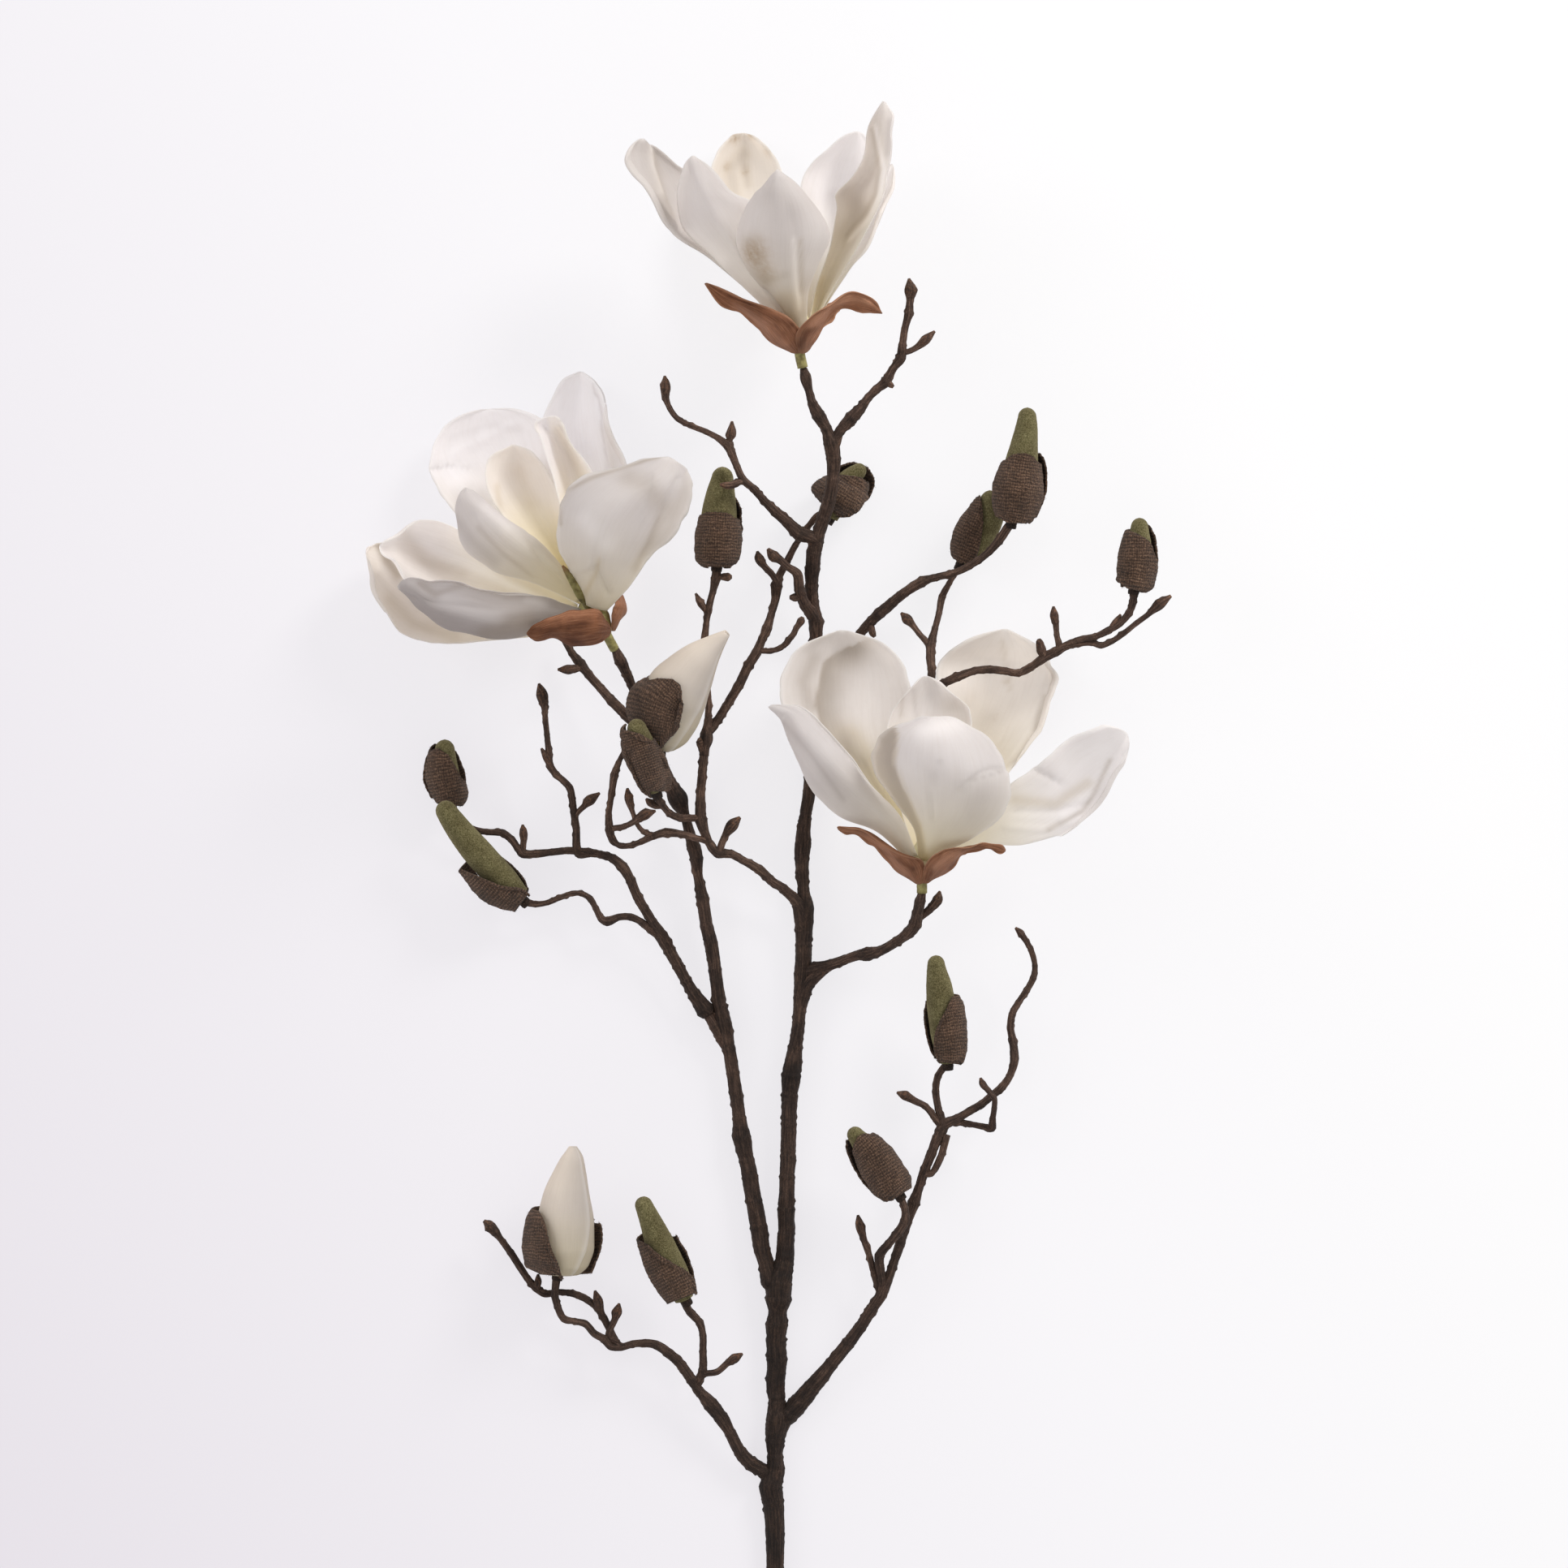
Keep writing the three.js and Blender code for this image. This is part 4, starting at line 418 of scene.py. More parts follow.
# The green or white core of each bud, [across, down, height, width] from base to tip.
CORES = {
    "bud_1": [
        [1250, 640, 35, 34], [1254, 605, 37, 46], [1258, 575, 38.3, 42], [1262, 548, 39.5, 34],
        [1265, 525, 41, 29], [1266, 502, 42, 22],
    ],
    "bud_2": [
        [1188, 694, 14, 22], [1203, 668, 15, 36], [1217, 640, 16, 38], [1220, 618, 17, 31],
        [1219, 604, 17, 21],
    ],
    "bud_3": [
        [1020, 636, 12, 26], [1034, 610, 13, 34], [1046, 591, 14, 27], [1059, 580, 15, 21],
        [1067, 576, 15.3, 17],
    ],
    "bud_4": [
        [884, 694, 27, 34], [885, 665, 28, 46], [886, 635, 29, 44], [888, 608, 30.5, 36],
        [890, 590, 32, 30], [890, 575, 33, 25],
    ],
    "bud_5": [
        [1399, 720, 41, 26], [1402, 690, 42, 36], [1403, 665, 43, 30], [1404, 651, 44, 24],
        [1404, 638, 45, 21],
    ],
    "bud_6": [
        [805, 970, 39, 26], [797, 945, 46, 38], [790, 920, 52, 36], [786, 903, 56, 29],
        [782, 887, 59, 22],
    ],
    "bud_7": [
        [555, 988, 14, 24], [549, 960, 15, 36], [548, 935, 16, 29], [548, 922, 17, 26],
        [548, 911, 17, 23],
    ],
    "bud_8": [
        [640, 1104, 16, 26], [618, 1082, 18.5, 36], [592, 1054, 21, 37], [570, 1028, 23, 33],
        [554, 1006, 25.5, 30], [543, 988, 27, 27],
    ],
    "bud_9": [
        [1168, 1308, 21.5, 24], [1165, 1270, 24, 38], [1160, 1240, 26, 36], [1157, 1215, 27.5, 32],
        [1154, 1195, 29, 26], [1153, 1177, 30, 21],
    ],
    "bud_10": [
        [1103, 1470, 24, 26], [1084, 1440, 26, 38], [1068, 1415, 28, 32], [1056, 1401, 29, 24],
        [1048, 1390, 30, 20],
    ],
    "bud_11": [
        [843, 1600, 20, 24], [829, 1568, 22, 38], [815, 1538, 25, 37], [805, 1513, 27, 30],
        [797, 1494, 29, 26], [789, 1475, 30, 23],
    ],
    "white_bud_1": [
        [817, 917, 38, 36], [820, 905, 40, 60], [826, 880, 43, 78], [834, 855, 46, 82],
        [849, 832, 49, 68], [864, 812, 52, 49], [880, 795, 54, 27], [896, 780, 56, 7],
    ],
    "white_bud_2": [
        [697, 1570, 22, 34], [697, 1560, 22, 58], [697, 1535, 22, 75], [698, 1507, 23, 73],
        [699, 1475, 24, 61], [703, 1446, 25, 42], [706, 1425, 26, 25], [706, 1413, 26, 8],
    ],
}

# Brown scales round each bud, from base to top: [left across, left down, right across, right
# down]. The first scale of a bud faces up, the second wraps its underside.
SCALES = {
    "bud_1": [
        [[1240, 644, 1262, 645], [1228, 634, 1273, 638], [1223, 618, 1281, 618],
         [1226, 597, 1283, 597], [1234, 577, 1281, 577], [1244, 563, 1272, 563],
         [1252, 559, 1265, 559]],
        [[1245, 641, 1276, 637], [1240, 615, 1287, 612], [1243, 590, 1289, 588],
         [1255, 570, 1287, 570], [1272, 559, 1281, 559]],
    ],
    "bud_2": [
        [[1182, 694, 1196, 693], [1173, 683, 1203, 678], [1173, 665, 1207, 658],
         [1180, 645, 1209, 640], [1193, 627, 1209, 625], [1204, 613, 1207, 612]],
        [[1186, 694, 1200, 690], [1190, 675, 1217, 670], [1200, 655, 1224, 652],
         [1208, 642, 1218, 640]],
    ],
    "bud_3": [
        [[1017, 622, 1032, 635], [1005, 611, 1045, 634], [1001, 600, 1056, 627],
         [1013, 589, 1064, 616], [1030, 585, 1068, 605], [1045, 586, 1068, 596],
         [1057, 588, 1065, 591]],
        [[1015, 618, 1045, 630], [1010, 602, 1066, 616], [1022, 585, 1074, 600],
         [1038, 574, 1075, 588], [1052, 570, 1068, 575]],
    ],
    "bud_4": [
        [[868, 698, 899, 699], [861, 691, 909, 690], [857, 674, 913, 671], [858, 655, 912, 655],
         [863, 640, 908, 643], [871, 632, 901, 635], [880, 631, 895, 632]],
        [[870, 692, 906, 692], [866, 665, 913, 662], [872, 640, 913, 642], [888, 620, 911, 625],
         [900, 612, 906, 614]],
    ],
    "bud_5": [
        [[1388, 724, 1412, 729], [1380, 717, 1421, 722], [1377, 705, 1422, 705],
         [1379, 688, 1421, 690], [1382, 672, 1418, 677], [1385, 659, 1413, 666],
         [1389, 653, 1403, 659]],
        [[1385, 722, 1420, 724], [1382, 700, 1425, 705], [1388, 675, 1425, 680],
         [1398, 655, 1421, 658], [1405, 645, 1415, 647]],
    ],
    "bud_6": [
        [[800, 974, 822, 975], [788, 964, 826, 963], [779, 948, 823, 948], [772, 930, 815, 930],
         [767, 914, 806, 914], [765, 903, 793, 906], [767, 899, 780, 903]],
        [[797, 972, 815, 970], [787, 950, 823, 946], [782, 925, 811, 921], [786, 908, 797, 906]],
    ],
    "bud_7": [
        [[542, 989, 568, 993], [533, 980, 573, 983], [528, 965, 572, 971], [527, 950, 566, 955],
         [529, 937, 560, 943], [533, 926, 553, 931], [537, 922, 545, 925]],
        [[532, 983, 560, 987], [523, 962, 571, 962], [524, 942, 567, 944], [531, 923, 562, 930],
         [536, 917, 550, 919]],
    ],
    "bud_8": [
        [[635, 1122, 650, 1102], [619, 1119, 641, 1094], [601, 1112, 620, 1091],
         [588, 1102, 604, 1086], [577, 1088, 587, 1079], [566, 1074, 569, 1072]],
        [[625, 1112, 651, 1099], [607, 1097, 645, 1083], [594, 1080, 632, 1070],
         [584, 1062, 614, 1056], [588, 1048, 598, 1046]],
    ],
    "bud_9": [
        [[1158, 1308, 1183, 1311], [1153, 1290, 1188, 1292], [1154, 1272, 1190, 1270],
         [1158, 1257, 1189, 1252], [1166, 1243, 1186, 1236], [1174, 1228, 1181, 1227]],
        [[1152, 1304, 1172, 1306], [1144, 1284, 1172, 1284], [1140, 1262, 1170, 1262],
         [1140, 1247, 1160, 1246], [1142, 1234, 1149, 1236]],
    ],
    "bud_10": [
        [[1101, 1477, 1123, 1463], [1088, 1475, 1121, 1450], [1074, 1461, 1110, 1433],
         [1063, 1444, 1099, 1418], [1055, 1425, 1088, 1406], [1052, 1411, 1075, 1398],
         [1055, 1402, 1064, 1397]],
        [[1090, 1479, 1106, 1470], [1070, 1464, 1096, 1448], [1056, 1444, 1086, 1425],
         [1045, 1421, 1068, 1407], [1043, 1406, 1052, 1400]],
    ],
    "bud_11": [
        [[823, 1606, 857, 1593], [812, 1592, 854, 1580], [799, 1571, 848, 1566],
         [792, 1552, 834, 1558], [788, 1538, 815, 1548], [785, 1528, 798, 1534]],
        [[830, 1601, 857, 1589], [820, 1581, 852, 1566], [815, 1561, 846, 1545],
         [820, 1540, 838, 1532], [827, 1525, 833, 1523]],
    ],
    "white_bud_1": [
        [[806, 913, 814, 913], [785, 897, 823, 900], [774, 880, 832, 886], [773, 863, 839, 870],
         [779, 848, 842, 853], [790, 840, 840, 843], [808, 836, 832, 837]],
        [[806, 914, 826, 924], [800, 900, 836, 908], [796, 888, 832, 892], [800, 878, 822, 882]],
    ],
    "white_bud_2": [
        [[665, 1569, 694, 1570], [650, 1560, 687, 1556], [645, 1540, 681, 1540],
         [646, 1520, 676, 1522], [650, 1500, 671, 1503], [655, 1490, 664, 1492]],
        [[672, 1572, 728, 1569], [668, 1555, 737, 1546], [690, 1535, 741, 1526],
         [715, 1518, 740, 1513], [730, 1507, 738, 1508]],
    ],
}

# Petals, as stations of [left edge, middle, right edge] from base to tip.
PETALS = {
    "flower_1_petal_1": [
        [[968, 410, 50], [966, 412, 46], [972, 408, 44]],
        [[932, 368, 50], [934, 364, 42], [948, 352, 40]],
        [[880, 320, 58], [890, 311, 44], [915, 300, 38]],
        [[830, 284, 64], [845, 271, 46], [880, 255, 38]],
        [[794, 231, 68], [815, 225, 48], [855, 220, 40]],
        [[773, 199, 68], [800, 190, 52], [833, 205, 44]],
        [[784, 170, 64], [790, 171, 58], [798, 175, 54]],
    ],
    "flower_1_petal_2": [
        [[970, 404, 54], [974, 400, 60], [982, 396, 60]],
        [[925, 362, 56], [945, 350, 66], [968, 340, 62]],
        [[880, 316, 58], [905, 300, 72], [950, 290, 64]],
        [[845, 280, 60], [878, 262, 77], [930, 255, 68]],
        [[837, 240, 63], [865, 235, 79], [900, 236, 73]],
        [[842, 212, 67], [860, 214, 78], [880, 214, 75]],
        [[849, 193, 73], [854, 192, 75], [861, 195, 75]],
    ],
    "flower_1_petal_3": [
        [[978, 402, 48], [984, 404, 45], [990, 402, 48]],
        [[940, 355, 36], [965, 350, 30], [990, 352, 36]],
        [[897, 300, 26], [932, 290, 14], [978, 298, 26]],
        [[874, 250, 18], [920, 240, 6], [972, 250, 19]],
        [[880, 202, 13], [918, 198, 3], [962, 210, 14]],
        [[895, 175, 10], [918, 174, 4], [943, 180, 11]],
        [[909, 165, 8], [916, 164, 6], [924, 166, 8]],
    ],
    "flower_1_petal_4": [
        [[976, 404, 57], [984, 408, 60], [994, 404, 57]],
        [[950, 365, 62], [972, 365, 70], [996, 362, 62]],
        [[920, 332, 68], [966, 325, 82], [1008, 330, 68]],
        [[906, 292, 74], [966, 285, 93], [1025, 292, 74]],
        [[918, 253, 82], [964, 248, 99], [1009, 258, 82]],
        [[941, 225, 90], [960, 222, 100], [984, 229, 92]],
        [[954, 210, 97], [958, 209, 99], [963, 210, 97]],
    ],
    "flower_1_petal_5": [
        [[988, 400, 50], [996, 402, 46], [1002, 402, 50]],
        [[990, 350, 42], [1012, 350, 34], [1030, 350, 42]],
        [[988, 300, 36], [1020, 295, 22], [1055, 300, 34]],
        [[988, 255, 33], [1030, 245, 17], [1075, 255, 33]],
        [[996, 213, 33], [1040, 205, 18], [1082, 215, 34]],
        [[1020, 185, 34], [1050, 182, 24], [1078, 190, 37]],
        [[1049, 163, 34], [1056, 162, 32], [1066, 164, 34]],
    ],
    "flower_1_petal_6": [
        [[996, 402, 52], [1002, 400, 50], [1004, 398, 54]],
        [[1006, 352, 48], [1021, 346, 44], [1030, 350, 56]],
        [[1024, 298, 46], [1046, 296, 42], [1062, 298, 66]],
        [[1028, 262, 47], [1062, 257, 42], [1086, 252, 72]],
        [[1025, 240, 48], [1066, 234, 44], [1093, 222, 74]],
        [[1046, 220, 50], [1076, 210, 46], [1098, 196, 76]],
        [[1062, 190, 55], [1083, 182, 50], [1101, 168, 76]],
        [[1067, 158, 60], [1087, 152, 57], [1104, 146, 74]],
        [[1083, 126, 66], [1089, 126, 66], [1098, 132, 70]],
    ],
    "flower_1_petal_7": [
        [[1004, 400, 48], [1005, 400, 43], [1001, 402, 38]],
        [[1024, 366, 50], [1024, 360, 40], [1014, 356, 30]],
        [[1048, 328, 54], [1050, 320, 40], [1034, 308, 24]],
        [[1070, 297, 56], [1072, 284, 40], [1054, 270, 20]],
        [[1087, 261, 56], [1089, 250, 40], [1072, 238, 22]],
        [[1097, 230, 52], [1098, 220, 42], [1086, 212, 30]],
        [[1101, 206, 46], [1100, 203, 43], [1098, 201, 40]],
    ],
    "flower_2_petal_1": [
        [[715, 745, 46], [722, 742, 42], [730, 742, 44]],
        [[650, 710, 36], [678, 690, 26], [705, 682, 36]],
        [[590, 660, 26], [635, 630, 12], [688, 630, 25]],
        [[548, 614, 20], [608, 570, 7], [688, 575, 20]],
        [[532, 577, 18], [588, 532, 8], [684, 532, 18]],
        [[547, 531, 15], [588, 511, 10], [657, 511, 15]],
        [[580, 506, 12], [600, 504, 11], [622, 504, 12]],
    ],
    "flower_2_petal_2": [
        [[728, 742, 44], [735, 742, 42], [741, 744, 45]],
        [[712, 690, 32], [735, 680, 24], [760, 685, 34]],
        [[690, 630, 20], [728, 620, 10], [776, 628, 26]],
        [[678, 570, 13], [718, 565, 3], [768, 572, 20]],
        [[672, 520, 11], [712, 515, 2], [748, 520, 16]],
        [[690, 475, 9], [715, 477, 4], [739, 484, 12]],
        [[707, 459, 8], [715, 458, 7], [723, 460, 8]],
    ],
    "flower_2_petal_3": [
        [[728, 740, 48], [733, 738, 46], [738, 740, 50]],
        [[708, 690, 44], [722, 685, 36], [738, 690, 46]],
        [[694, 630, 40], [712, 622, 28], [740, 628, 44]],
        [[679, 575, 38], [698, 565, 26], [722, 578, 40]],
        [[668, 540, 38], [682, 535, 28], [700, 538, 38]],
        [[663, 523, 38], [672, 521, 32], [690, 521, 36]],
        [[669, 514, 37], [678, 513, 36], [688, 512, 37]],
    ],
    "flower_2_petal_4": [
        [[718, 740, 48], [724, 738, 45], [730, 738, 48]],
        [[668, 690, 42], [690, 680, 34], [706, 680, 42]],
        [[625, 640, 36], [655, 625, 24], [692, 640, 36]],
        [[602, 600, 33], [638, 590, 20], [682, 600, 32]],
        [[604, 572, 31], [635, 565, 21], [664, 570, 30]],
        [[620, 551, 29], [633, 548, 26], [648, 552, 29]],
    ],
    "flower_2_petal_5": [
        [[712, 742, 54], [718, 738, 58], [724, 736, 56]],
        [[655, 718, 54], [680, 700, 63], [698, 705, 56]],
        [[605, 702, 54], [640, 675, 66], [668, 668, 57]],
        [[570, 676, 55], [605, 645, 67], [636, 648, 58]],
        [[559, 640, 57], [584, 622, 66], [608, 627, 60]],
        [[564, 614, 61], [574, 608, 64], [589, 609, 62]],
        [[570, 602, 63], [574, 601, 63], [578, 602, 63]],
    ],
    "flower_2_petal_6": [
        [[712, 745, 50], [712, 750, 46], [716, 754, 50]],
        [[655, 712, 44], [650, 730, 32], [665, 755, 46]],
        [[600, 674, 38], [585, 700, 22], [600, 750, 42]],
        [[556, 644, 36], [535, 685, 18], [545, 745, 42]],
        [[515, 638, 36], [500, 672, 22], [505, 725, 42]],
        [[493, 656, 38], [480, 672, 30], [482, 695, 40]],
        [[472, 667, 39], [468, 672, 37], [468, 680, 39]],
    ],
    "flower_2_petal_7": [
        [[714, 752, 46], [718, 756, 42], [724, 760, 44]],
        [[640, 735, 30], [645, 765, 22], [665, 783, 34]],
        [[575, 705, 17], [575, 765, 7], [590, 792, 30]],
        [[515, 680, 12], [515, 745, 3], [537, 797, 28]],
        [[470, 668, 14], [478, 720, 7], [490, 776, 28]],
        [[454, 672, 22], [457, 700, 20], [465, 736, 28]],
        [[450, 675, 29], [451, 684, 29], [454, 693, 30]],
    ],
    "flower_2_petal_8": [
        [[715, 750, 58], [718, 758, 60], [722, 764, 58]],
        [[670, 738, 64], [668, 755, 70], [668, 778, 64]],
        [[620, 735, 70], [615, 758, 80], [618, 789, 70]],
        [[568, 721, 74], [568, 748, 86], [572, 783, 74]],
        [[530, 724, 76], [532, 742, 86], [538, 770, 76]],
        [[502, 713, 80], [505, 726, 84], [510, 745, 80]],
        [[491, 719, 82], [490, 724, 82], [494, 730, 82]],
    ],
    "flower_2_petal_9": [
        [[722, 745, 60], [735, 750, 63], [748, 752, 58]],
        [[705, 708, 66], [738, 712, 76], [772, 726, 62]],
        [[689, 668, 72], [742, 680, 88], [800, 683, 64]],
        [[690, 625, 76], [755, 640, 95], [836, 645, 66]],
        [[722, 590, 78], [780, 610, 95], [851, 612, 68]],
        [[775, 573, 78], [812, 588, 88], [848, 585, 72]],
        [[811, 559, 80], [826, 564, 80], [838, 571, 76]],
    ],
    "flower_3_petal_1": [
        [[1120, 1060, 50], [1127, 1058, 46.2], [1134, 1058, 46.2]],
        [[1085, 1010, 41], [1098, 1000, 34], [1122, 1000, 40]],
        [[1030, 950, 36], [1065, 940, 23], [1120, 950, 32]],
        [[975, 900, 35], [1045, 890, 15], [1122, 900, 28]],
        [[962, 850, 36], [1040, 840, 13], [1122, 850, 26]],
        [[982, 808, 33], [1040, 800, 14], [1102, 806, 24]],
        [[1015, 780, 26], [1038, 777, 18], [1065, 781, 20]],
    ],
    "flower_3_petal_2": [
        [[1122, 1064, 56], [1124, 1058, 60], [1130, 1054, 58]],
        [[1082, 1026, 60], [1096, 1014, 68], [1108, 1004, 64]],
        [[1030, 1004, 62], [1050, 975, 76], [1072, 965, 70]],
        [[996, 970, 60], [1014, 940, 78], [1042, 928, 72]],
        [[974, 920, 60], [985, 905, 76], [1012, 892, 72]],
        [[962, 882, 64], [970, 880, 70], [985, 872, 70]],
        [[944, 873, 68], [948, 870, 69], [954, 866, 69]],
    ],
    "flower_3_petal_3": [
        [[1126, 1050, 50], [1134, 1050, 47], [1142, 1050, 50]],
        [[1105, 980, 46], [1140, 975, 38], [1172, 980, 46]],
        [[1090, 910, 44], [1142, 905, 36], [1198, 915, 44]],
        [[1098, 876, 43], [1144, 870, 36], [1196, 878, 43]],
        [[1120, 848, 42], [1146, 846, 38], [1174, 850, 42]],
        [[1132, 835, 41], [1141, 833, 40], [1152, 836, 41]],
    ],
    "flower_3_petal_4": [
        [[1132, 1058, 57], [1140, 1060, 60], [1148, 1056, 57]],
        [[1126, 1020, 68], [1155, 1022, 80], [1195, 1034, 68]],
        [[1100, 982, 76], [1160, 985, 97], [1237, 998, 76]],
        [[1077, 935, 82], [1160, 945, 106], [1240, 955, 82]],
        [[1092, 905, 86], [1158, 912, 106], [1222, 918, 86]],
        [[1125, 888, 92], [1155, 891, 102], [1188, 891, 92]],
        [[1145, 884, 97], [1152, 883, 98], [1160, 884, 97]],
    ],
    "flower_3_petal_5": [
        [[1140, 1058, 46.2], [1147, 1058, 46.8], [1153, 1060, 50]],
        [[1142, 1000, 38], [1170, 990, 28], [1205, 1000, 38]],
        [[1150, 930, 30], [1197, 915, 13], [1258, 930, 32]],
        [[1162, 870, 20], [1220, 855, 2], [1292, 872, 26]],
        [[1155, 825, 15], [1228, 815, 3], [1300, 832, 25]],
        [[1180, 797, 17], [1234, 795, 10], [1281, 803, 21]],
        [[1224, 777, 16], [1238, 775, 15], [1251, 778, 16]],
    ],
    "flower_3_petal_6": [
        [[1154, 1052, 56], [1157, 1058, 52], [1155, 1064, 48]],
        [[1205, 1010, 60], [1212, 1032, 52], [1210, 1042, 46]],
        [[1240, 972, 64], [1258, 1012, 50], [1262, 1041, 42]],
        [[1275, 948, 64], [1298, 988, 46], [1310, 1026, 40]],
        [[1312, 917, 62], [1336, 950, 46], [1352, 990, 42]],
        [[1350, 898, 60], [1374, 922, 50], [1377, 948, 48]],
        [[1374, 893, 58], [1388, 903, 56], [1394, 919, 55]],
    ],
}

# Brown sepals under each flower, given as petals are.
SEPALS = {
    "flower_1_sepal_1": [
        [[974, 434, 52], [982, 435, 56], [989, 433, 56]],
        [[951, 422, 50], [966, 418, 63], [989, 412, 66]],
        [[935, 402, 51], [950, 398, 68], [976, 396, 71]],
        [[916, 387, 56], [926, 382, 66], [944, 380, 68]],
        [[892, 373, 60], [897, 368, 63], [903, 365, 63]],
        [[866, 350, 60], [869, 349, 60], [873, 348, 60]],
    ],
    "flower_1_sepal_2": [
        [[984, 434, 58], [990, 435, 56], [996, 432, 52]],
        [[981, 412, 68], [993, 412, 67], [1006, 418, 58]],
        [[994, 395, 73], [1008, 392, 70], [1018, 396, 60]],
        [[1022, 374, 71], [1026, 377, 68], [1030, 380, 62]],
        [[1050, 359, 67], [1052, 369, 64], [1050, 382, 60]],
        [[1072, 367, 64], [1070, 375, 63], [1066, 381, 60]],
        [[1086, 384, 60], [1087, 386, 60], [1086, 388, 59]],
    ],
    "flower_1_sepal_3": [
        [[986, 436, 50], [992, 434, 48], [998, 430, 50]],
        [[976, 420, 40], [1000, 414, 34], [1010, 408, 48]],
        [[985, 400, 28], [1012, 394, 26], [1026, 390, 42]],
        [[1008, 382, 24], [1026, 378, 28], [1034, 380, 38]],
        [[1028, 372, 28], [1032, 373, 30], [1034, 375, 32]],
    ],
    "flower_2_sepal_1": [
        [[746, 764, 60], [752, 774, 58], [750, 784, 54]],
        [[735, 750, 70], [735, 770, 74], [735, 794, 62]],
        [[710, 751, 74], [708, 772, 79], [708, 797, 66]],
        [[685, 757, 76], [682, 775, 80], [682, 789, 71]],
        [[662, 767, 75], [660, 780, 77], [662, 791, 73]],
        [[649, 778, 74], [649, 781, 74], [651, 784, 74]],
    ],
    "flower_2_sepal_2": [
        [[752, 777, 52], [757, 777, 48], [757, 775, 44]],
        [[755, 758, 59], [764, 763, 52], [761, 765, 42]],
        [[758, 744, 60], [771, 750, 51], [766, 755, 40]],
        [[762, 732, 55], [767, 733, 50], [768, 739, 45]],
    ],
    "flower_3_sepal_1": [
        [[1126, 1087, 52], [1132, 1089, 57], [1138, 1087, 58]],
        [[1104, 1072, 52], [1116, 1066, 65], [1136, 1060, 67]],
        [[1082, 1044, 56], [1096, 1046, 67], [1112, 1052, 71]],
        [[1060, 1031, 62], [1066, 1026, 67], [1074, 1028, 70]],
        [[1034, 1025, 64], [1032, 1021, 65], [1030, 1016, 65]],
    ],
    "flower_3_sepal_2": [
        [[1136, 1087, 58], [1142, 1088, 56], [1146, 1085, 52]],
        [[1140, 1066, 67], [1156, 1070, 65], [1168, 1074, 56]],
        [[1156, 1050, 73], [1172, 1056, 70], [1182, 1056, 60]],
        [[1188, 1042, 71], [1192, 1046, 68], [1194, 1049, 63]],
        [[1216, 1040, 66], [1217, 1043, 66], [1216, 1046, 64]],
        [[1238, 1045, 63], [1239, 1048, 63], [1237, 1051, 62]],
    ],
}

# Each petal's and sepal's share of cream (on a sepal it is painted light, paler where lit), how
# wavy and how ragged its rim is, how yellow its base, which way its rim rolls and how deep it is in
# painted shade.
LOOKS = {
    "flower_1_petal_1": [0.35, 1.2, 1, 0.2, 1, 0.75],
    "flower_1_petal_2": [0.15, 1, 0.8, 0.2, -1, 0.35],
    "flower_1_petal_3": [0.75, 1.4, 1.6, 0.3, 1, 0.2],
    "flower_1_petal_4": [0.2, 0.8, 0.7, 0.25, 1, 0.45],
    "flower_1_petal_5": [0.05, 1.2, 0.8, 0.3, 1, 0],
    "flower_1_petal_6": [0.5, 1.4, 1, 0.35, -1, 0.3],
    "flower_1_petal_7": [0.2, 1.6, 1.6, 0.35, -1, 0],
    "flower_2_petal_1": [0.05, 1.8, 1.8, 0.5, 1, 0],
    "flower_2_petal_2": [0, 1.6, 1.2, 0.4, 1, 0],
    "flower_2_petal_3": [0.35, 1.4, 1, 0.6, 1, 0],
    "flower_2_petal_4": [0.5, 1.2, 0.8, 0.95, 1, 0],
    "flower_2_petal_5": [0.1, 1.6, 1, 0.6, 1, 0.5],
    "flower_2_petal_6": [0.2, 1.8, 1.4, 0.45, 1, 0],
    "flower_2_petal_7": [0.6, 2.2, 2.4, 0.3, 1, 0.3],
    "flower_2_petal_8": [0.1, 2.6, 1, 0.1, -1, 1.4],
    "flower_2_petal_9": [0.15, 1.8, 2.4, 0.35, -1, 0.5],
    "flower_3_petal_1": [0.35, 1.6, 1.4, 0.7, 1, 0.12],
    "flower_3_petal_2": [0.1, 1.6, 1.2, 0.25, 1, 0.5],
    "flower_3_petal_3": [0.2, 1.4, 1, 0.4, -1, 0.1],
    "flower_3_petal_4": [0.05, 1.6, 1.2, 0.45, -1, 0.35],
    "flower_3_petal_5": [0.5, 1.6, 1, 0.45, 1, 0.12],
    "flower_3_petal_6": [0.1, 2.2, 1.4, 0.5, 1, 0],
    "flower_1_sepal_1": [0.12, 1.6, 1.6, 0, -1, 0.1],
    "flower_1_sepal_2": [0.35, 2, 1.6, 0, -1, 0],
    "flower_1_sepal_3": [0.7, 1.2, 1.2, 0, 1, 0],
    "flower_2_sepal_1": [0, 1.6, 1, 0, -1, 0.4],
    "flower_2_sepal_2": [0.3, 1.2, 1.2, 0, 1, 0],
    "flower_3_sepal_1": [0.1, 1.8, 1.6, 0, -1, 0.05],
    "flower_3_sepal_2": [0.15, 2, 2, 0, -1, 0],
}

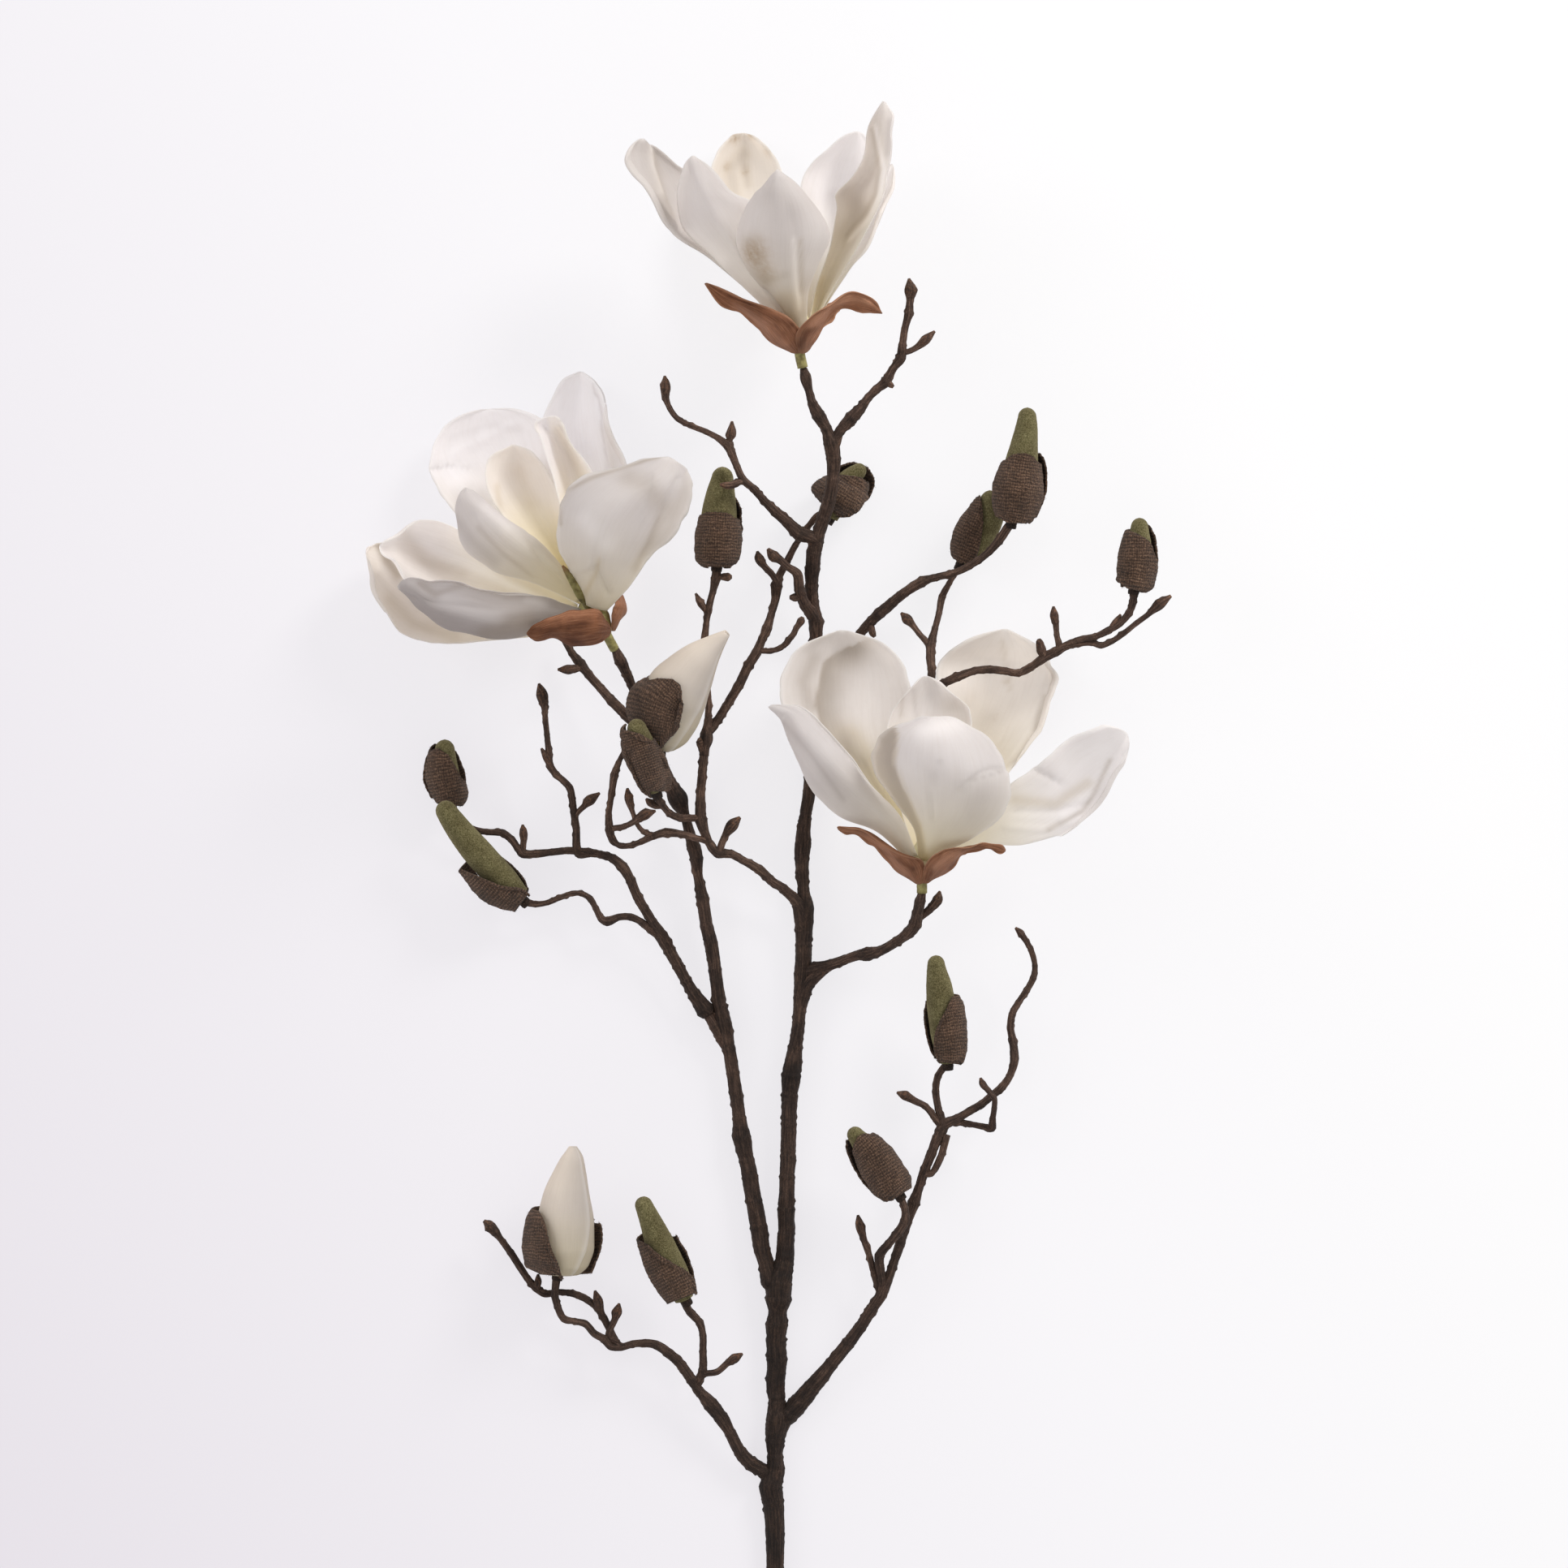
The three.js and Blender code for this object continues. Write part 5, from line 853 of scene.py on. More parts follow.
# Lines pressed into petals: [depth in mm, half width, [across, down], ...]. Above 0 stands
# towards the viewer.
CREASES = {
    "flower_1_petal_1": [[1.6, 5, [795, 168], [800, 205], [812, 240], [830, 280]]],
    "flower_1_petal_2": [[0.7, 5, [852, 200], [880, 260], [915, 320]]],
    "flower_1_petal_4": [
        [-0.8, 6, [965, 225], [978, 290], [985, 360]], [0.6, 5, [935, 240], [920, 300], [940, 350]],
    ],
    "flower_1_petal_7": [
        [-1.6, 4, [1085, 190], [1075, 250], [1030, 330]],
        [1.2, 3, [1092, 200], [1082, 255], [1040, 330]],
        [-1, 3, [1097, 230], [1070, 290], [1020, 350]],
    ],
    "flower_2_petal_1": [
        [-0.9, 4, [534, 577], [560, 573], [585, 577]], [0.6, 5, [640, 520], [600, 540], [560, 560]],
    ],
    "flower_2_petal_2": [
        [-1.2, 4, [735, 490], [745, 540], [750, 580]], [1, 4, [742, 520], [748, 550], [762, 590]],
    ],
    "flower_2_petal_5": [
        [-0.7, 4, [650, 660], [665, 690], [690, 715]], [0.5, 4, [590, 640], [620, 680], [660, 710]],
    ],
    "flower_2_petal_8": [
        [1.3, 7, [505, 720], [540, 722], [590, 728], [640, 735], [680, 735]],
        [-0.9, 6, [510, 738], [560, 745], [610, 750]],
    ],
    "flower_2_petal_9": [
        [-1.1, 3, [750, 730], [735, 700], [740, 660]], [0.8, 3, [700, 705], [720, 700], [740, 690]],
        [0.9, 4, [805, 585], [790, 640], [770, 690]], [-1, 4, [835, 590], [815, 640], [790, 690]],
    ],
    "flower_3_petal_1": [
        [-1.6, 12, [1035, 800], [1017, 845], [1020, 890], [1040, 935]],
        [1.3, 5, [1050, 920], [1075, 970], [1105, 1010]],
        [-0.8, 4, [1040, 930], [1062, 975], [1092, 1015]],
    ],
    "flower_3_petal_2": [[0.9, 6, [960, 880], [985, 930], [1030, 985]]],
    "flower_3_petal_4": [
        [-1.2, 3, [1238, 948], [1220, 947], [1195, 960], [1180, 975]],
        [-1, 3, [1150, 1010], [1147, 980], [1155, 940]],
        [0.7, 4, [1080, 900], [1100, 930], [1115, 970]],
    ],
    "flower_3_petal_5": [
        [-1.3, 4, [1285, 800], [1290, 850], [1278, 900], [1250, 935]],
        [1.2, 4, [1297, 800], [1300, 850], [1288, 900], [1258, 938]],
    ],
    "flower_3_petal_6": [
        [-1.2, 3, [1275, 948], [1290, 955], [1305, 965]],
        [0.9, 5, [1385, 930], [1350, 975], [1310, 1010]],
        [-0.8, 4, [1250, 1000], [1300, 1000], [1340, 990]],
        [0.6, 4, [1240, 1018], [1290, 1022], [1330, 1010]],
    ],
}

# Rims turned over towards the viewer: [widest turn in mm, start of the rim, its end], by place
# on the picture.
LIPS = {
    "flower_1_petal_1": [[4.5, [784, 172], [850, 300]]],
    "flower_1_petal_7": [[2.6, [1101, 200], [1052, 322]]],
    "flower_2_petal_2": [[4, [745, 500], [772, 600]]],
    "flower_2_petal_7": [[3.5, [456, 664], [470, 760]]],
    "flower_2_petal_8": [[2.6, [497, 714], [660, 745]]],
    "flower_3_petal_2": [[1.8, [960, 868], [1080, 990]]],
    "flower_3_petal_5": [[4.2, [1278, 785], [1245, 950]]],
    "flower_3_petal_6": [[4, [1393, 925], [1300, 1030]]],
}

# Parts of petals bent along a line: [slope, extra cream, a place on the bent side, the line's
# places]. Above 0 bends towards the viewer. The extra cream is painted on the bent side as the
# warm tone of its shade.
BENDS = {
    "flower_3_petal_1": [
        [0.6, 0, [975, 860], [1098, 760], [1046, 796], [1016, 818], [1007, 868], [1024, 918],
         [1060, 985]],
    ],
    "flower_3_petal_4": [
        [-0.7, 1, [1082, 940], [1100, 888], [1103, 920], [1106, 950], [1120, 980], [1136, 1014],
         [1142, 1056]],
    ],
    "flower_2_petal_9": [[-0.35, 0.3, [830, 680], [838, 590], [805, 640], [775, 690], [755, 735]]],
    "flower_1_petal_6": [
        [0.3, -0.2, [1099, 200], [1076, 148], [1084, 186], [1088, 208], [1084, 240], [1072, 268],
         [1048, 295], [1026, 323], [1010, 355]],
    ],
}

# Soft painted shade on petals and sepals along lines: [depth, half width in pixels, extra cream,
# the line's places]. A depth below 0 is painted light instead, and the extra cream tints the
# painted shade or light. A half width below 0 is that of the line's right hand side.
SHADES = {
    "flower_1_sepal_1": [
        [-0.8, 4, 0.3, [905, 378], [930, 392], [950, 408], [968, 424]],
        [0.8, 4, 0, [900, 365], [925, 376], [950, 388], [975, 400]],
    ],
    "flower_1_sepal_2": [
        [-0.6, 5, 0.5, [1000, 400], [1022, 378], [1048, 366], [1070, 372]],
        [0.9, 5, -0.2, [985, 425], [992, 412], [1002, 404]],
    ],
    "flower_2_sepal_1": [
        [-0.5, 6, 0.15, [680, 760], [710, 756], [735, 752]], [0.7, 8, 0, [690, 790], [715, 794]],
        [0.5, 3, 0, [655, 778], [685, 774], [720, 768]],
    ],
    "flower_3_sepal_1": [
        [-0.6, 4, 0.3, [1040, 1022], [1070, 1032], [1095, 1050], [1115, 1074]],
        [0.9, 3, 0, [1085, 1046], [1105, 1058], [1125, 1070]],
    ],
    "flower_3_sepal_2": [
        [-0.8, 5, 0.5, [1152, 1068], [1165, 1056], [1180, 1050]],
        [0.9, 3, 0, [1142, 1082], [1150, 1066], [1160, 1052]],
        [0.6, 3, 0, [1170, 1070], [1180, 1058]],
    ],
    "flower_1_petal_1": [
        [0.3, 8, 0.3, [803, 190], [810, 230], [822, 268]],
        [-0.5, 4, 0, [797, 172], [801, 205], [812, 240]], [0.3, 8, 0.5, [850, 310], [880, 340]],
    ],
    "flower_1_petal_2": [
        [0.25, 12, 0, [860, 205], [885, 240], [915, 262]], [-0.3, 10, 0, [855, 290], [890, 320]],
    ],
    "flower_1_petal_3": [
        [0.35, 9, 0.5, [905, 240], [900, 210], [915, 190]], [0.3, 5, 0.6, [918, 205], [922, 228]],
    ],
    "flower_1_petal_4": [
        [0.3, 12, 0.5, [928, 300], [934, 325], [945, 345]],
        [0.2, 5, 0.2, [921, 335], [945, 346], [968, 338]], [0.45, 14, 1.2, [968, 372], [975, 400]],
        [0.25, 18, 0, [955, 240], [975, 260]], [-0.5, 3, 0, [979, 295], [981, 330], [984, 380]],
        [0.25, 2.5, 0.3, [986, 295], [988, 340], [990, 390]],
    ],
    "flower_1_petal_5": [[0.35, 8, 0, [1025, 240], [1030, 290]]],
    "flower_1_petal_6": [
        [0.35, 14, 0.2, [1045, 240], [1058, 262], [1040, 290]],
        [0.4, 7, 1.2, [1010, 350], [1002, 385]],
        [-0.8, 4, -0.3, [1063, 160], [1062, 186], [1058, 200], [1044, 219], [1028, 234]],
        [-0.6, 2.5, -0.2, [1078, 156], [1085, 186], [1090, 208], [1085, 240], [1072, 268],
         [1048, 296]],
        [0.35, 3, 0.2, [1074, 160], [1080, 186], [1084, 208], [1079, 240], [1066, 264],
         [1042, 292]],
        [0.35, 4, 0, [1096, 150], [1094, 190]],
    ],
    "flower_1_petal_7": [
        [0.35, 2, 0.2, [1090, 235], [1072, 268], [1045, 305]],
        [0.5, 7, 1, [1018, 372], [1006, 392]],
    ],
    "flower_2_petal_1": [
        [0.3, 1.4, 0, [534, 577], [560, 573], [580, 576]], [0.12, 14, 0.2, [540, 600], [560, 625]],
        [-0.3, 6, 0, [560, 525], [610, 510], [650, 516]],
        [0.1, 5, 0, [556, 537], [600, 522], [640, 530]],
    ],
    "flower_2_petal_2": [
        [0.35, 1.5, 0, [731, 474], [739, 510], [744, 545], [747, 575]],
        [-0.3, 3, 0, [727, 478], [735, 520]], [0.2, 9, 0.2, [750, 530], [757, 570]],
    ],
    "flower_2_petal_3": [
        [-0.8, 6, -0.6, [668, 515], [675, 560], [686, 605]],
        [0.35, 8, 0.5, [690, 530], [703, 556], [720, 590]],
    ],
    "flower_2_petal_4": [
        [0.2, 10, 0.3, [640, 580], [655, 620]], [0.2, 4, 0.4, [612, 600], [616, 630]],
    ],
    "flower_2_petal_5": [
        [0.35, 8, 0, [562, 640], [580, 665], [610, 690]], [-0.25, 8, 0, [600, 625], [625, 650]],
        [0.3, 3, 0.2, [590, 650], [620, 680], [655, 708]],
    ],
    "flower_2_petal_6": [
        [0.25, 9, 0.2, [500, 660], [525, 690], [570, 705]], [0.2, 9, 0.2, [620, 705], [660, 720]],
    ],
    "flower_2_petal_7": [
        [0.5, 5, 0.5, [468, 672], [476, 690], [490, 708]], [-0.6, 5, 0, [455, 668], [462, 700]],
        [0.25, 9, 0.3, [480, 740], [510, 770], [560, 785]],
    ],
    "flower_2_petal_8": [
        [-0.2, 9, 0, [497, 720], [515, 735]], [-0.35, 13, -0.2, [550, 740], [580, 757], [610, 765]],
        [0.35, 12, 0.5, [600, 780], [650, 765]], [-0.4, 5, 0, [650, 740], [670, 745]],
        [0.3, 3, 0.2, [515, 722], [537, 733], [574, 724], [624, 738], [655, 737]],
    ],
    "flower_2_petal_9": [
        [0.55, 2.5, 0.6, [691, 645], [690, 622], [700, 605], [728, 590], [774, 574], [812, 563]],
        [0.3, 13, 0.3, [775, 590], [800, 602], [816, 625]],
        [0.35, 5, 0.3, [812, 640], [800, 668], [782, 700]],
        [0.25, 3, 0.8, [722, 730], [735, 705], [738, 690]],
        [-0.3, 12, -0.1, [720, 640], [745, 670]],
    ],
    "flower_3_petal_1": [
        [0.85, -22, 0.6, [1048, 798], [1018, 816], [1006, 868], [1022, 915], [1036, 940]],
        [0.6, 16, 1.5, [1045, 915], [1072, 965], [1100, 1010]],
        [-0.4, 5, 0, [1036, 925], [1062, 965], [1086, 1005]],
        [0.5, 9, 0.2, [1002, 812], [990, 840], [998, 872]],
    ],
    "flower_3_petal_2": [
        [0.3, 3, 0, [968, 890], [1000, 930], [1040, 985]], [0.25, 18, 0, [1020, 960], [1060, 1000]],
    ],
    "flower_3_petal_3": [
        [0.35, 2.5, 0.2, [1112, 845], [1110, 882]], [0.3, 2.5, 0, [1125, 850], [1129, 882]],
        [0.25, 14, 0.2, [1175, 870], [1190, 885]],
    ],
    "flower_3_petal_4": [
        [0.85, -30, 2.2, [1139, 1056], [1132, 1018], [1114, 978], [1100, 940], [1103, 905]],
        [0.35, 22, 0, [1212, 985], [1195, 1015], [1165, 1030]],
        [0.35, 1.3, 0, [1238, 950], [1195, 962]], [-0.35, 14, 0, [1140, 900], [1180, 890]],
    ],
    "flower_3_petal_5": [
        [0.5, 4, 0.2, [1287, 858], [1273, 905], [1248, 940]],
        [0.2, 22, 0.2, [1200, 870], [1225, 930]], [0.25, 3, 0.2, [1235, 790], [1245, 850]],
    ],
    "flower_3_petal_6": [
        [0.6, 3, 0.3, [1368, 936], [1350, 974], [1334, 999], [1290, 1022]],
        [0.3, 1.3, 0, [1282, 944], [1303, 963]],
        [0.3, 7, 0.5, [1250, 985], [1300, 990], [1340, 965]],
    ],
}

# Brown marks on petals: [across, down, radius, strength].
STAINS = {
    "flower_1_petal_4": [[930, 312, 15, 0.55], [945, 335, 10, 0.3]],
    "flower_1_petal_3": [
        [905, 170, 7, 0.5], [925, 165, 6, 0.4], [895, 205, 5, 0.4], [918, 212, 4, 0.5],
        [950, 185, 8, 0.25],
    ],
    "flower_3_petal_5": [[1225, 885, 3, 0.4], [1240, 840, 4, 0.2]],
    "flower_2_petal_4": [[606, 618, 2, 0.6]],
}


# ---------------------------------------------------------------- places and curves

def reach_at(height):
    """How many millimetres a pixel covers at a height."""
    return STEP * (EYE_HEIGHT - height) / EYE_HEIGHT


def place(points):
    """Rows of [across, down, height, ...] as real points in metres."""
    rows = np.asarray(points, dtype=float)
    reach = reach_at(rows[..., 2])
    east = (rows[..., 0] - MIDDLE) * reach + EYE_X
    north = (MIDDLE - rows[..., 1]) * reach + EYE_Y
    return np.stack([east, north, rows[..., 2] - LOWER], axis=-1) * MM


def pictured(points):
    """Where real points show on the reference picture."""
    reach = reach_at(points[..., 2] / MM + LOWER)
    across = (points[..., 0] / MM - EYE_X) / reach + MIDDLE
    down = MIDDLE - (points[..., 1] / MM - EYE_Y) / reach
    return across, down


def curve(points, samples):
    """A smooth curve through the points, at even shares of its stretches."""
    points = np.asarray(points, dtype=float)
    first = 2 * points[0] - points[1]
    last = 2 * points[-1] - points[-2]
    knots = np.vstack([first, points, last])
    at = np.clip(np.asarray(samples) * (len(points) - 1), 0, len(points) - 1 - TINY)
    start = at.astype(int)
    share = (at - start)[:, None]
    p0, p1, p2, p3 = (knots[start + k] for k in range(4))
    gap = [np.maximum(np.linalg.norm(b - a, axis=1, keepdims=True), TINY) ** 0.5
           for a, b in ((p0, p1), (p1, p2), (p2, p3))]
    level = (p2 - p1) / gap[1]
    leave = ((p1 - p0) / gap[0] - (p2 - p0) / (gap[0] + gap[1]) + level) * gap[1]
    arrive = (level - (p3 - p1) / (gap[1] + gap[2]) + (p3 - p2) / gap[2]) * gap[1]
    s2, s3 = share ** 2, share ** 3
    return ((2 * s3 - 3 * s2 + 1) * p1 + (s3 - 2 * s2 + share) * leave
            + (3 * s2 - 2 * s3) * p2 + (s3 - s2) * arrive)


def bulging(values, at):
    """Values between rows that rise and fall smoothly and never overshoot a row."""
    values = np.asarray(values, dtype=float)
    steps = np.diff(values)
    slopes = np.zeros(len(values))
    same = steps[:-1] * steps[1:] > 0
    pair = np.where(same, steps[:-1] + steps[1:], 1.0)
    slopes[1:-1] = np.where(same, 2 * steps[:-1] * steps[1:] / pair, 0)
    slopes[0], slopes[-1] = steps[0], steps[-1]
    at = np.clip(at, 0, len(values) - 1 - TINY)
    start = at.astype(int)
    t = at - start
    return (values[start] * (1 + 2 * t) * (1 - t) ** 2 + slopes[start] * t * (1 - t) ** 2
            + values[start + 1] * t ** 2 * (3 - 2 * t) + slopes[start + 1] * t ** 2 * (t - 1))


def sampled(rows, spacing):
    """Centres and radii about spacing apart, and the number of rows passed at each."""
    rows = np.asarray(rows, dtype=float)
    centres = place(rows)
    gaps = np.linalg.norm(np.diff(centres, axis=0), axis=1)
    at = [np.linspace(k, k + 1, max(int(gap / spacing), 3), endpoint=False)
          for k, gap in enumerate(gaps)]
    at = np.append(np.concatenate(at), len(rows) - 1)
    widths = rows[:, 3] * STEP * MM * (EYE_HEIGHT - rows[:, 2]) / EYE_HEIGHT
    return curve(centres, at / (len(rows) - 1)), bulging(widths, at) / 2, at


def walk(centres):
    """The distance along the centres."""
    return np.concatenate([[0], np.cumsum(np.linalg.norm(np.diff(centres, axis=0), axis=1))])


def unit(vectors):
    """The vectors at length 1."""
    return vectors / np.maximum(np.linalg.norm(vectors, axis=-1, keepdims=True), TINY * MM)


def facing(normal):
    """The same directions, turned as one so that most of them face the viewer."""
    return normal * (1 if normal[..., 2].mean() > 0 else -1)


def across_line(centres):
    """Two directions across the line at each centre, turned as little as possible."""
    along = unit(np.gradient(centres, axis=0))
    side = np.zeros_like(centres)
    now = np.array([0.0, 0.0, 1.0])
    for i, direction in enumerate(along):
        now = now - direction * now.dot(direction)
        now = now / np.linalg.norm(now)
        side[i] = now
    return side, np.cross(along, side)


def spokes_at(turns, side, other):
    """The directions out from each centre, at these turns round it."""
    return np.cos(turns)[..., None] * side[:, None] + np.sin(turns)[..., None] * other[:, None]


def ring(sides):
    """Even turns round a circle."""
    return np.linspace(0, 2 * math.pi, sides, endpoint=False)


def hills(points):
    """Smooth noise at each point, from -1 to 1."""
    values = np.array([noise.noise(Vector(p)) for p in points.reshape(-1, 3)])
    return values.reshape(points.shape[:-1])


def hills_at(*axes):
    """Smooth noise over grids of the three axes."""
    return hills(np.stack(np.broadcast_arrays(*axes), axis=-1))


def bell(gap):
    """1 where the gap is 0, falling smoothly to 0 on both sides."""
    return np.exp(-gap ** 2)


# ---------------------------------------------------------------- meshes

MATERIALS = {}


def make_piece(node, part, points, faces, slot, attributes):
    """Adds a piece of the CAD node, with its slot's material and its points' attributes."""
    name = f"{node}_{part}"
    mesh = bpy.data.meshes.new(name)
    mesh.from_pydata([tuple(p) for p in points], [], faces)
    mesh.validate()
    mesh.polygons.foreach_set("use_smooth", [True] * len(mesh.polygons))
    for key, values in attributes.items():
        kind, field = ("FLOAT", "value") if values.ndim == 1 else ("FLOAT_VECTOR", "vector")
        layer = mesh.attributes.new(key, kind, "POINT")
        layer.data.foreach_set(field, values.astype(np.float32).ravel())
    mesh.materials.append(MATERIALS[slot])
    piece = bpy.data.objects.new(name, mesh)
    bpy.context.scene.collection.objects.link(piece)
    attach(piece, "root")
    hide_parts(node)


def tube_faces(rings, sides):
    """The faces of a closed tube whose points run round ring after ring."""
    faces = []
    for start in range(0, (rings - 1) * sides, sides):
        for k in range(sides):
            a, b = start + k, start + (k + 1) % sides
            faces.append((a, b, b + sides, a + sides))
    faces.append(tuple(reversed(range(sides))))
    faces.append(tuple(range((rings - 1) * sides, rings * sides)))
    return faces


def shell(grid, thickness, taper):
    """A closed thin sheet round a grid of points. taper is the share of thickness at each point."""
    normal = unit(np.cross(np.gradient(grid, axis=0), np.gradient(grid, axis=1)))
    half = (thickness * MM / 2 * taper)[..., None]
    rows, columns = grid.shape[:2]
    other = rows * columns
    faces = []
    for i in range(rows - 1):
        for k in range(columns - 1):
            a = i * columns + k
            b = a + other
            faces.append((a, a + 1, a + columns + 1, a + columns))
            faces.append((b, b + columns, b + columns + 1, b + 1))
    rim = list(range(columns))
    rim += [i * columns + columns - 1 for i in range(1, rows)]
    rim += [(rows - 1) * columns + k for k in reversed(range(columns - 1))]
    rim += [i * columns for i in reversed(range(1, rows - 1))]
    for a, b in zip(rim, rim[1:] + rim[:1]):
        faces.append((b, a, a + other, b + other))
    return np.vstack([(grid - normal * half).reshape(-1, 3),
                      (grid + normal * half).reshape(-1, 3)]), faces


def joined(shapes):
    """Several [points, faces] as one."""
    faces, count = [], 0
    for points, own in shapes:
        faces += [tuple(i + count for i in face) for face in own]
        count += len(points)
    return np.vstack([points for points, _ in shapes]), faces


# ---------------------------------------------------------------- materials

class Nodes:
    """A material's node tree, with short calls for the nodes that these materials use.

    Values that colour a piece come from its points: thin and tip for wood, cream, base, shade,
    rim and stain for petals and sepals, pale and dry for stalks. shade is painted shade, rim a
    painted highlight and, on a sepal, cream painted light. grain is the place along it.
    """

    def __init__(self, name):
        self.material = bpy.data.materials.new(name)
        self.material.use_nodes = True
        self.tree = self.material.node_tree
        self.shader = self.tree.nodes["Principled BSDF"]

    def fill(self, socket, value):
        """Links the socket to another node's output, or sets its value."""
        if isinstance(value, bpy.types.NodeSocket):
            self.tree.links.new(value, socket)
        elif socket.type == "RGBA":
            socket.default_value = (*value, 1)
        else:
            socket.default_value = value

    def add(self, kind, sockets=None, **settings):
        """A new node, with these settings and these values or links in its sockets."""
        node = self.tree.nodes.new("ShaderNode" + kind)
        for key, value in settings.items():
            setattr(node, key, value)
        for key, value in (sockets or {}).items():
            self.fill(node.inputs[key], value)
        return node

    def set(self, **values):
        """Sets or links the shader's own sockets."""
        for key, value in values.items():
            self.fill(self.shader.inputs[key.replace("_", " ")], value)

    def number(self, name):
        return self.add("Attribute", attribute_name=name).outputs["Fac"]

    def grain(self):
        return self.add("Attribute", attribute_name="grain").outputs["Vector"]

    def spot(self):
        return self.add("TexCoord").outputs["Object"]

    def stretched(self, vector, *scale):
        return self.add("Mapping", {"Vector": vector, "Scale": scale}).outputs["Vector"]

    def noise(self, vector, scale, detail=4, roughness=0.6):
        sockets = {"Vector": vector, "Scale": scale, "Detail": detail, "Roughness": roughness}
        return self.add("TexNoise", sockets).outputs["Fac"]

    def cells(self, vector, scale):
        return self.add("TexVoronoi", {"Vector": vector, "Scale": scale}).outputs["Distance"]

    def wave(self, vector, direction, scale, distortion):
        sockets = {"Vector": vector, "Scale": scale, "Distortion": distortion,
                   "Detail": 3, "Detail Scale": 1.6}
        return self.add("TexWave", sockets, bands_direction=direction).outputs["Fac"]

    def ramp(self, value, *stops):
        """The value as a colour. Each stop is a position and a colour, or one number for a grey."""
        node = self.add("ValToRGB", {"Fac": value})
        band = node.color_ramp
        while len(band.elements) < len(stops):
            band.elements.new(0.5)
        for element, (position, *colour) in zip(band.elements, stops):
            element.position = position
            element.color = (*(colour * 3)[:3], 1)
        return node.outputs["Color"]

    def mix(self, share, first, second, blend="MIX"):
        sockets = {"Factor": share, "A": first, "B": second}
        return self.add("Mix", sockets, data_type="RGBA", blend_type=blend).outputs["Result"]

    def tinted(self, colour, tint, share=1.0):
        return self.mix(share, colour, tint, "MULTIPLY")

    def maths(self, operation, *values):
        node = self.add("Math", operation=operation)
        for socket, value in zip(node.inputs, values):
            self.fill(socket, value)
        return node.outputs["Value"]

    def plus(self, first, second):
        return self.maths("ADD", first, second)

    def times(self, first, second):
        return self.maths("MULTIPLY", first, second)

    def bump(self, height, strength, distance):
        sockets = {"Height": height, "Strength": strength, "Distance": distance}
        normal = self.add("Bump", sockets).outputs["Normal"]
        self.set(Normal=normal)
        return normal

    def let_through(self, colour, normal, share):
        """Lets light through a thin sheet. share is how much of what shows is from behind."""
        glow = self.add("BsdfTranslucent", {"Color": colour, "Normal": normal})
        both = self.add("MixShader", {"Fac": share, 1: self.shader.outputs["BSDF"],
                                      2: glow.outputs["BSDF"]})
        surface = self.tree.nodes["Material Output"].inputs["Surface"]
        self.fill(surface, both.outputs["Shader"])


def bark(n):
    """Dark brown bark: lengthwise ridges, paler worn tops, small scars and tan bud tips."""
    grain = n.grain()
    cracks = n.noise(n.stretched(grain, 1, 1, 0.06), 1500, 4, 0.7)
    grit = n.noise(n.stretched(grain, 1, 1, 0.6), 2600, 4, 0.7)
    ridges = n.plus(n.times(cracks, 0.65), n.times(grit, 0.35))
    dark = n.ramp(ridges, (0.36, 0.006, 0.0038, 0.0026), (0.5, 0.017, 0.0108, 0.0072),
                  (0.66, 0.056, 0.038, 0.0265))
    pale = n.ramp(ridges, (0.36, 0.024, 0.0155, 0.0115), (0.5, 0.078, 0.055, 0.043),
                  (0.66, 0.20, 0.15, 0.12))
    colour = n.mix(n.times(n.number("thin"), 0.85), dark, pale)
    worn = n.ramp(n.noise(grain, 110), (0.38, 0.64, 0.51, 0.45), (0.68, 1.46, 1.17, 1.02))
    colour = n.tinted(colour, worn)
    spots = n.ramp(n.noise(grain, 900, 3), (0.48, 0), (0.66, 1))
    tan = n.times(n.times(n.number("tip"), 0.5), spots)
    n.set(Base_Color=n.mix(tan, colour, (0.25, 0.11, 0.05)),
          Roughness=n.ramp(ridges, (0.3, 0.9), (0.8, 0.55)), Specular_IOR_Level=0.3)
    scars = n.cells(n.stretched(grain, 1, 1, 0.5), 520)
    n.bump(n.plus(ridges, n.times(scars, 0.5)), 0.9, 0.0006)


def petal(n):
    """Warm white petal: thin and translucent, faint lengthwise veins, cream towards the base."""
    veins = n.noise(n.stretched(n.grain(), 70, 800, 1), 1.0, 5)
    white = n.mix(n.number("cream"), (0.972, 0.955, 0.955), (0.965, 0.915, 0.835))
    mottle = n.noise(n.spot(), 55)
    white = n.tinted(white, n.ramp(mottle, (0.3, 0.97, 0.965, 0.965), (0.7, 1)))
    white = n.tinted(white, n.ramp(veins, (0.3, 0.975, 0.97, 0.965), (0.55, 1)))
    # Painted shade: the shade field darkens the petal towards a warm grey.
    white = n.tinted(white, (0.345, 0.298, 0.28), n.times(n.number("shade"), 0.42))
    white = n.mix(n.number("base"), white, (0.88, 0.80, 0.46))
    # Painted highlight: the rim field makes the petal's edge and tip paler.
    white = n.mix(n.times(n.number("rim"), 0.5), white, (0.97, 0.95, 0.93))
    rust = n.ramp(n.noise(n.spot(), 500), (0.35, 0.2), (0.6, 1))
    white = n.mix(n.times(n.number("stain"), rust), white, (0.50, 0.36, 0.2))
    n.set(Base_Color=white, Roughness=0.55, Sheen_Weight=0.05)
    normal = n.bump(n.plus(veins, n.noise(n.spot(), 260, 3)), 0.2, 0.0004)
    n.let_through(white, normal, 0.62)


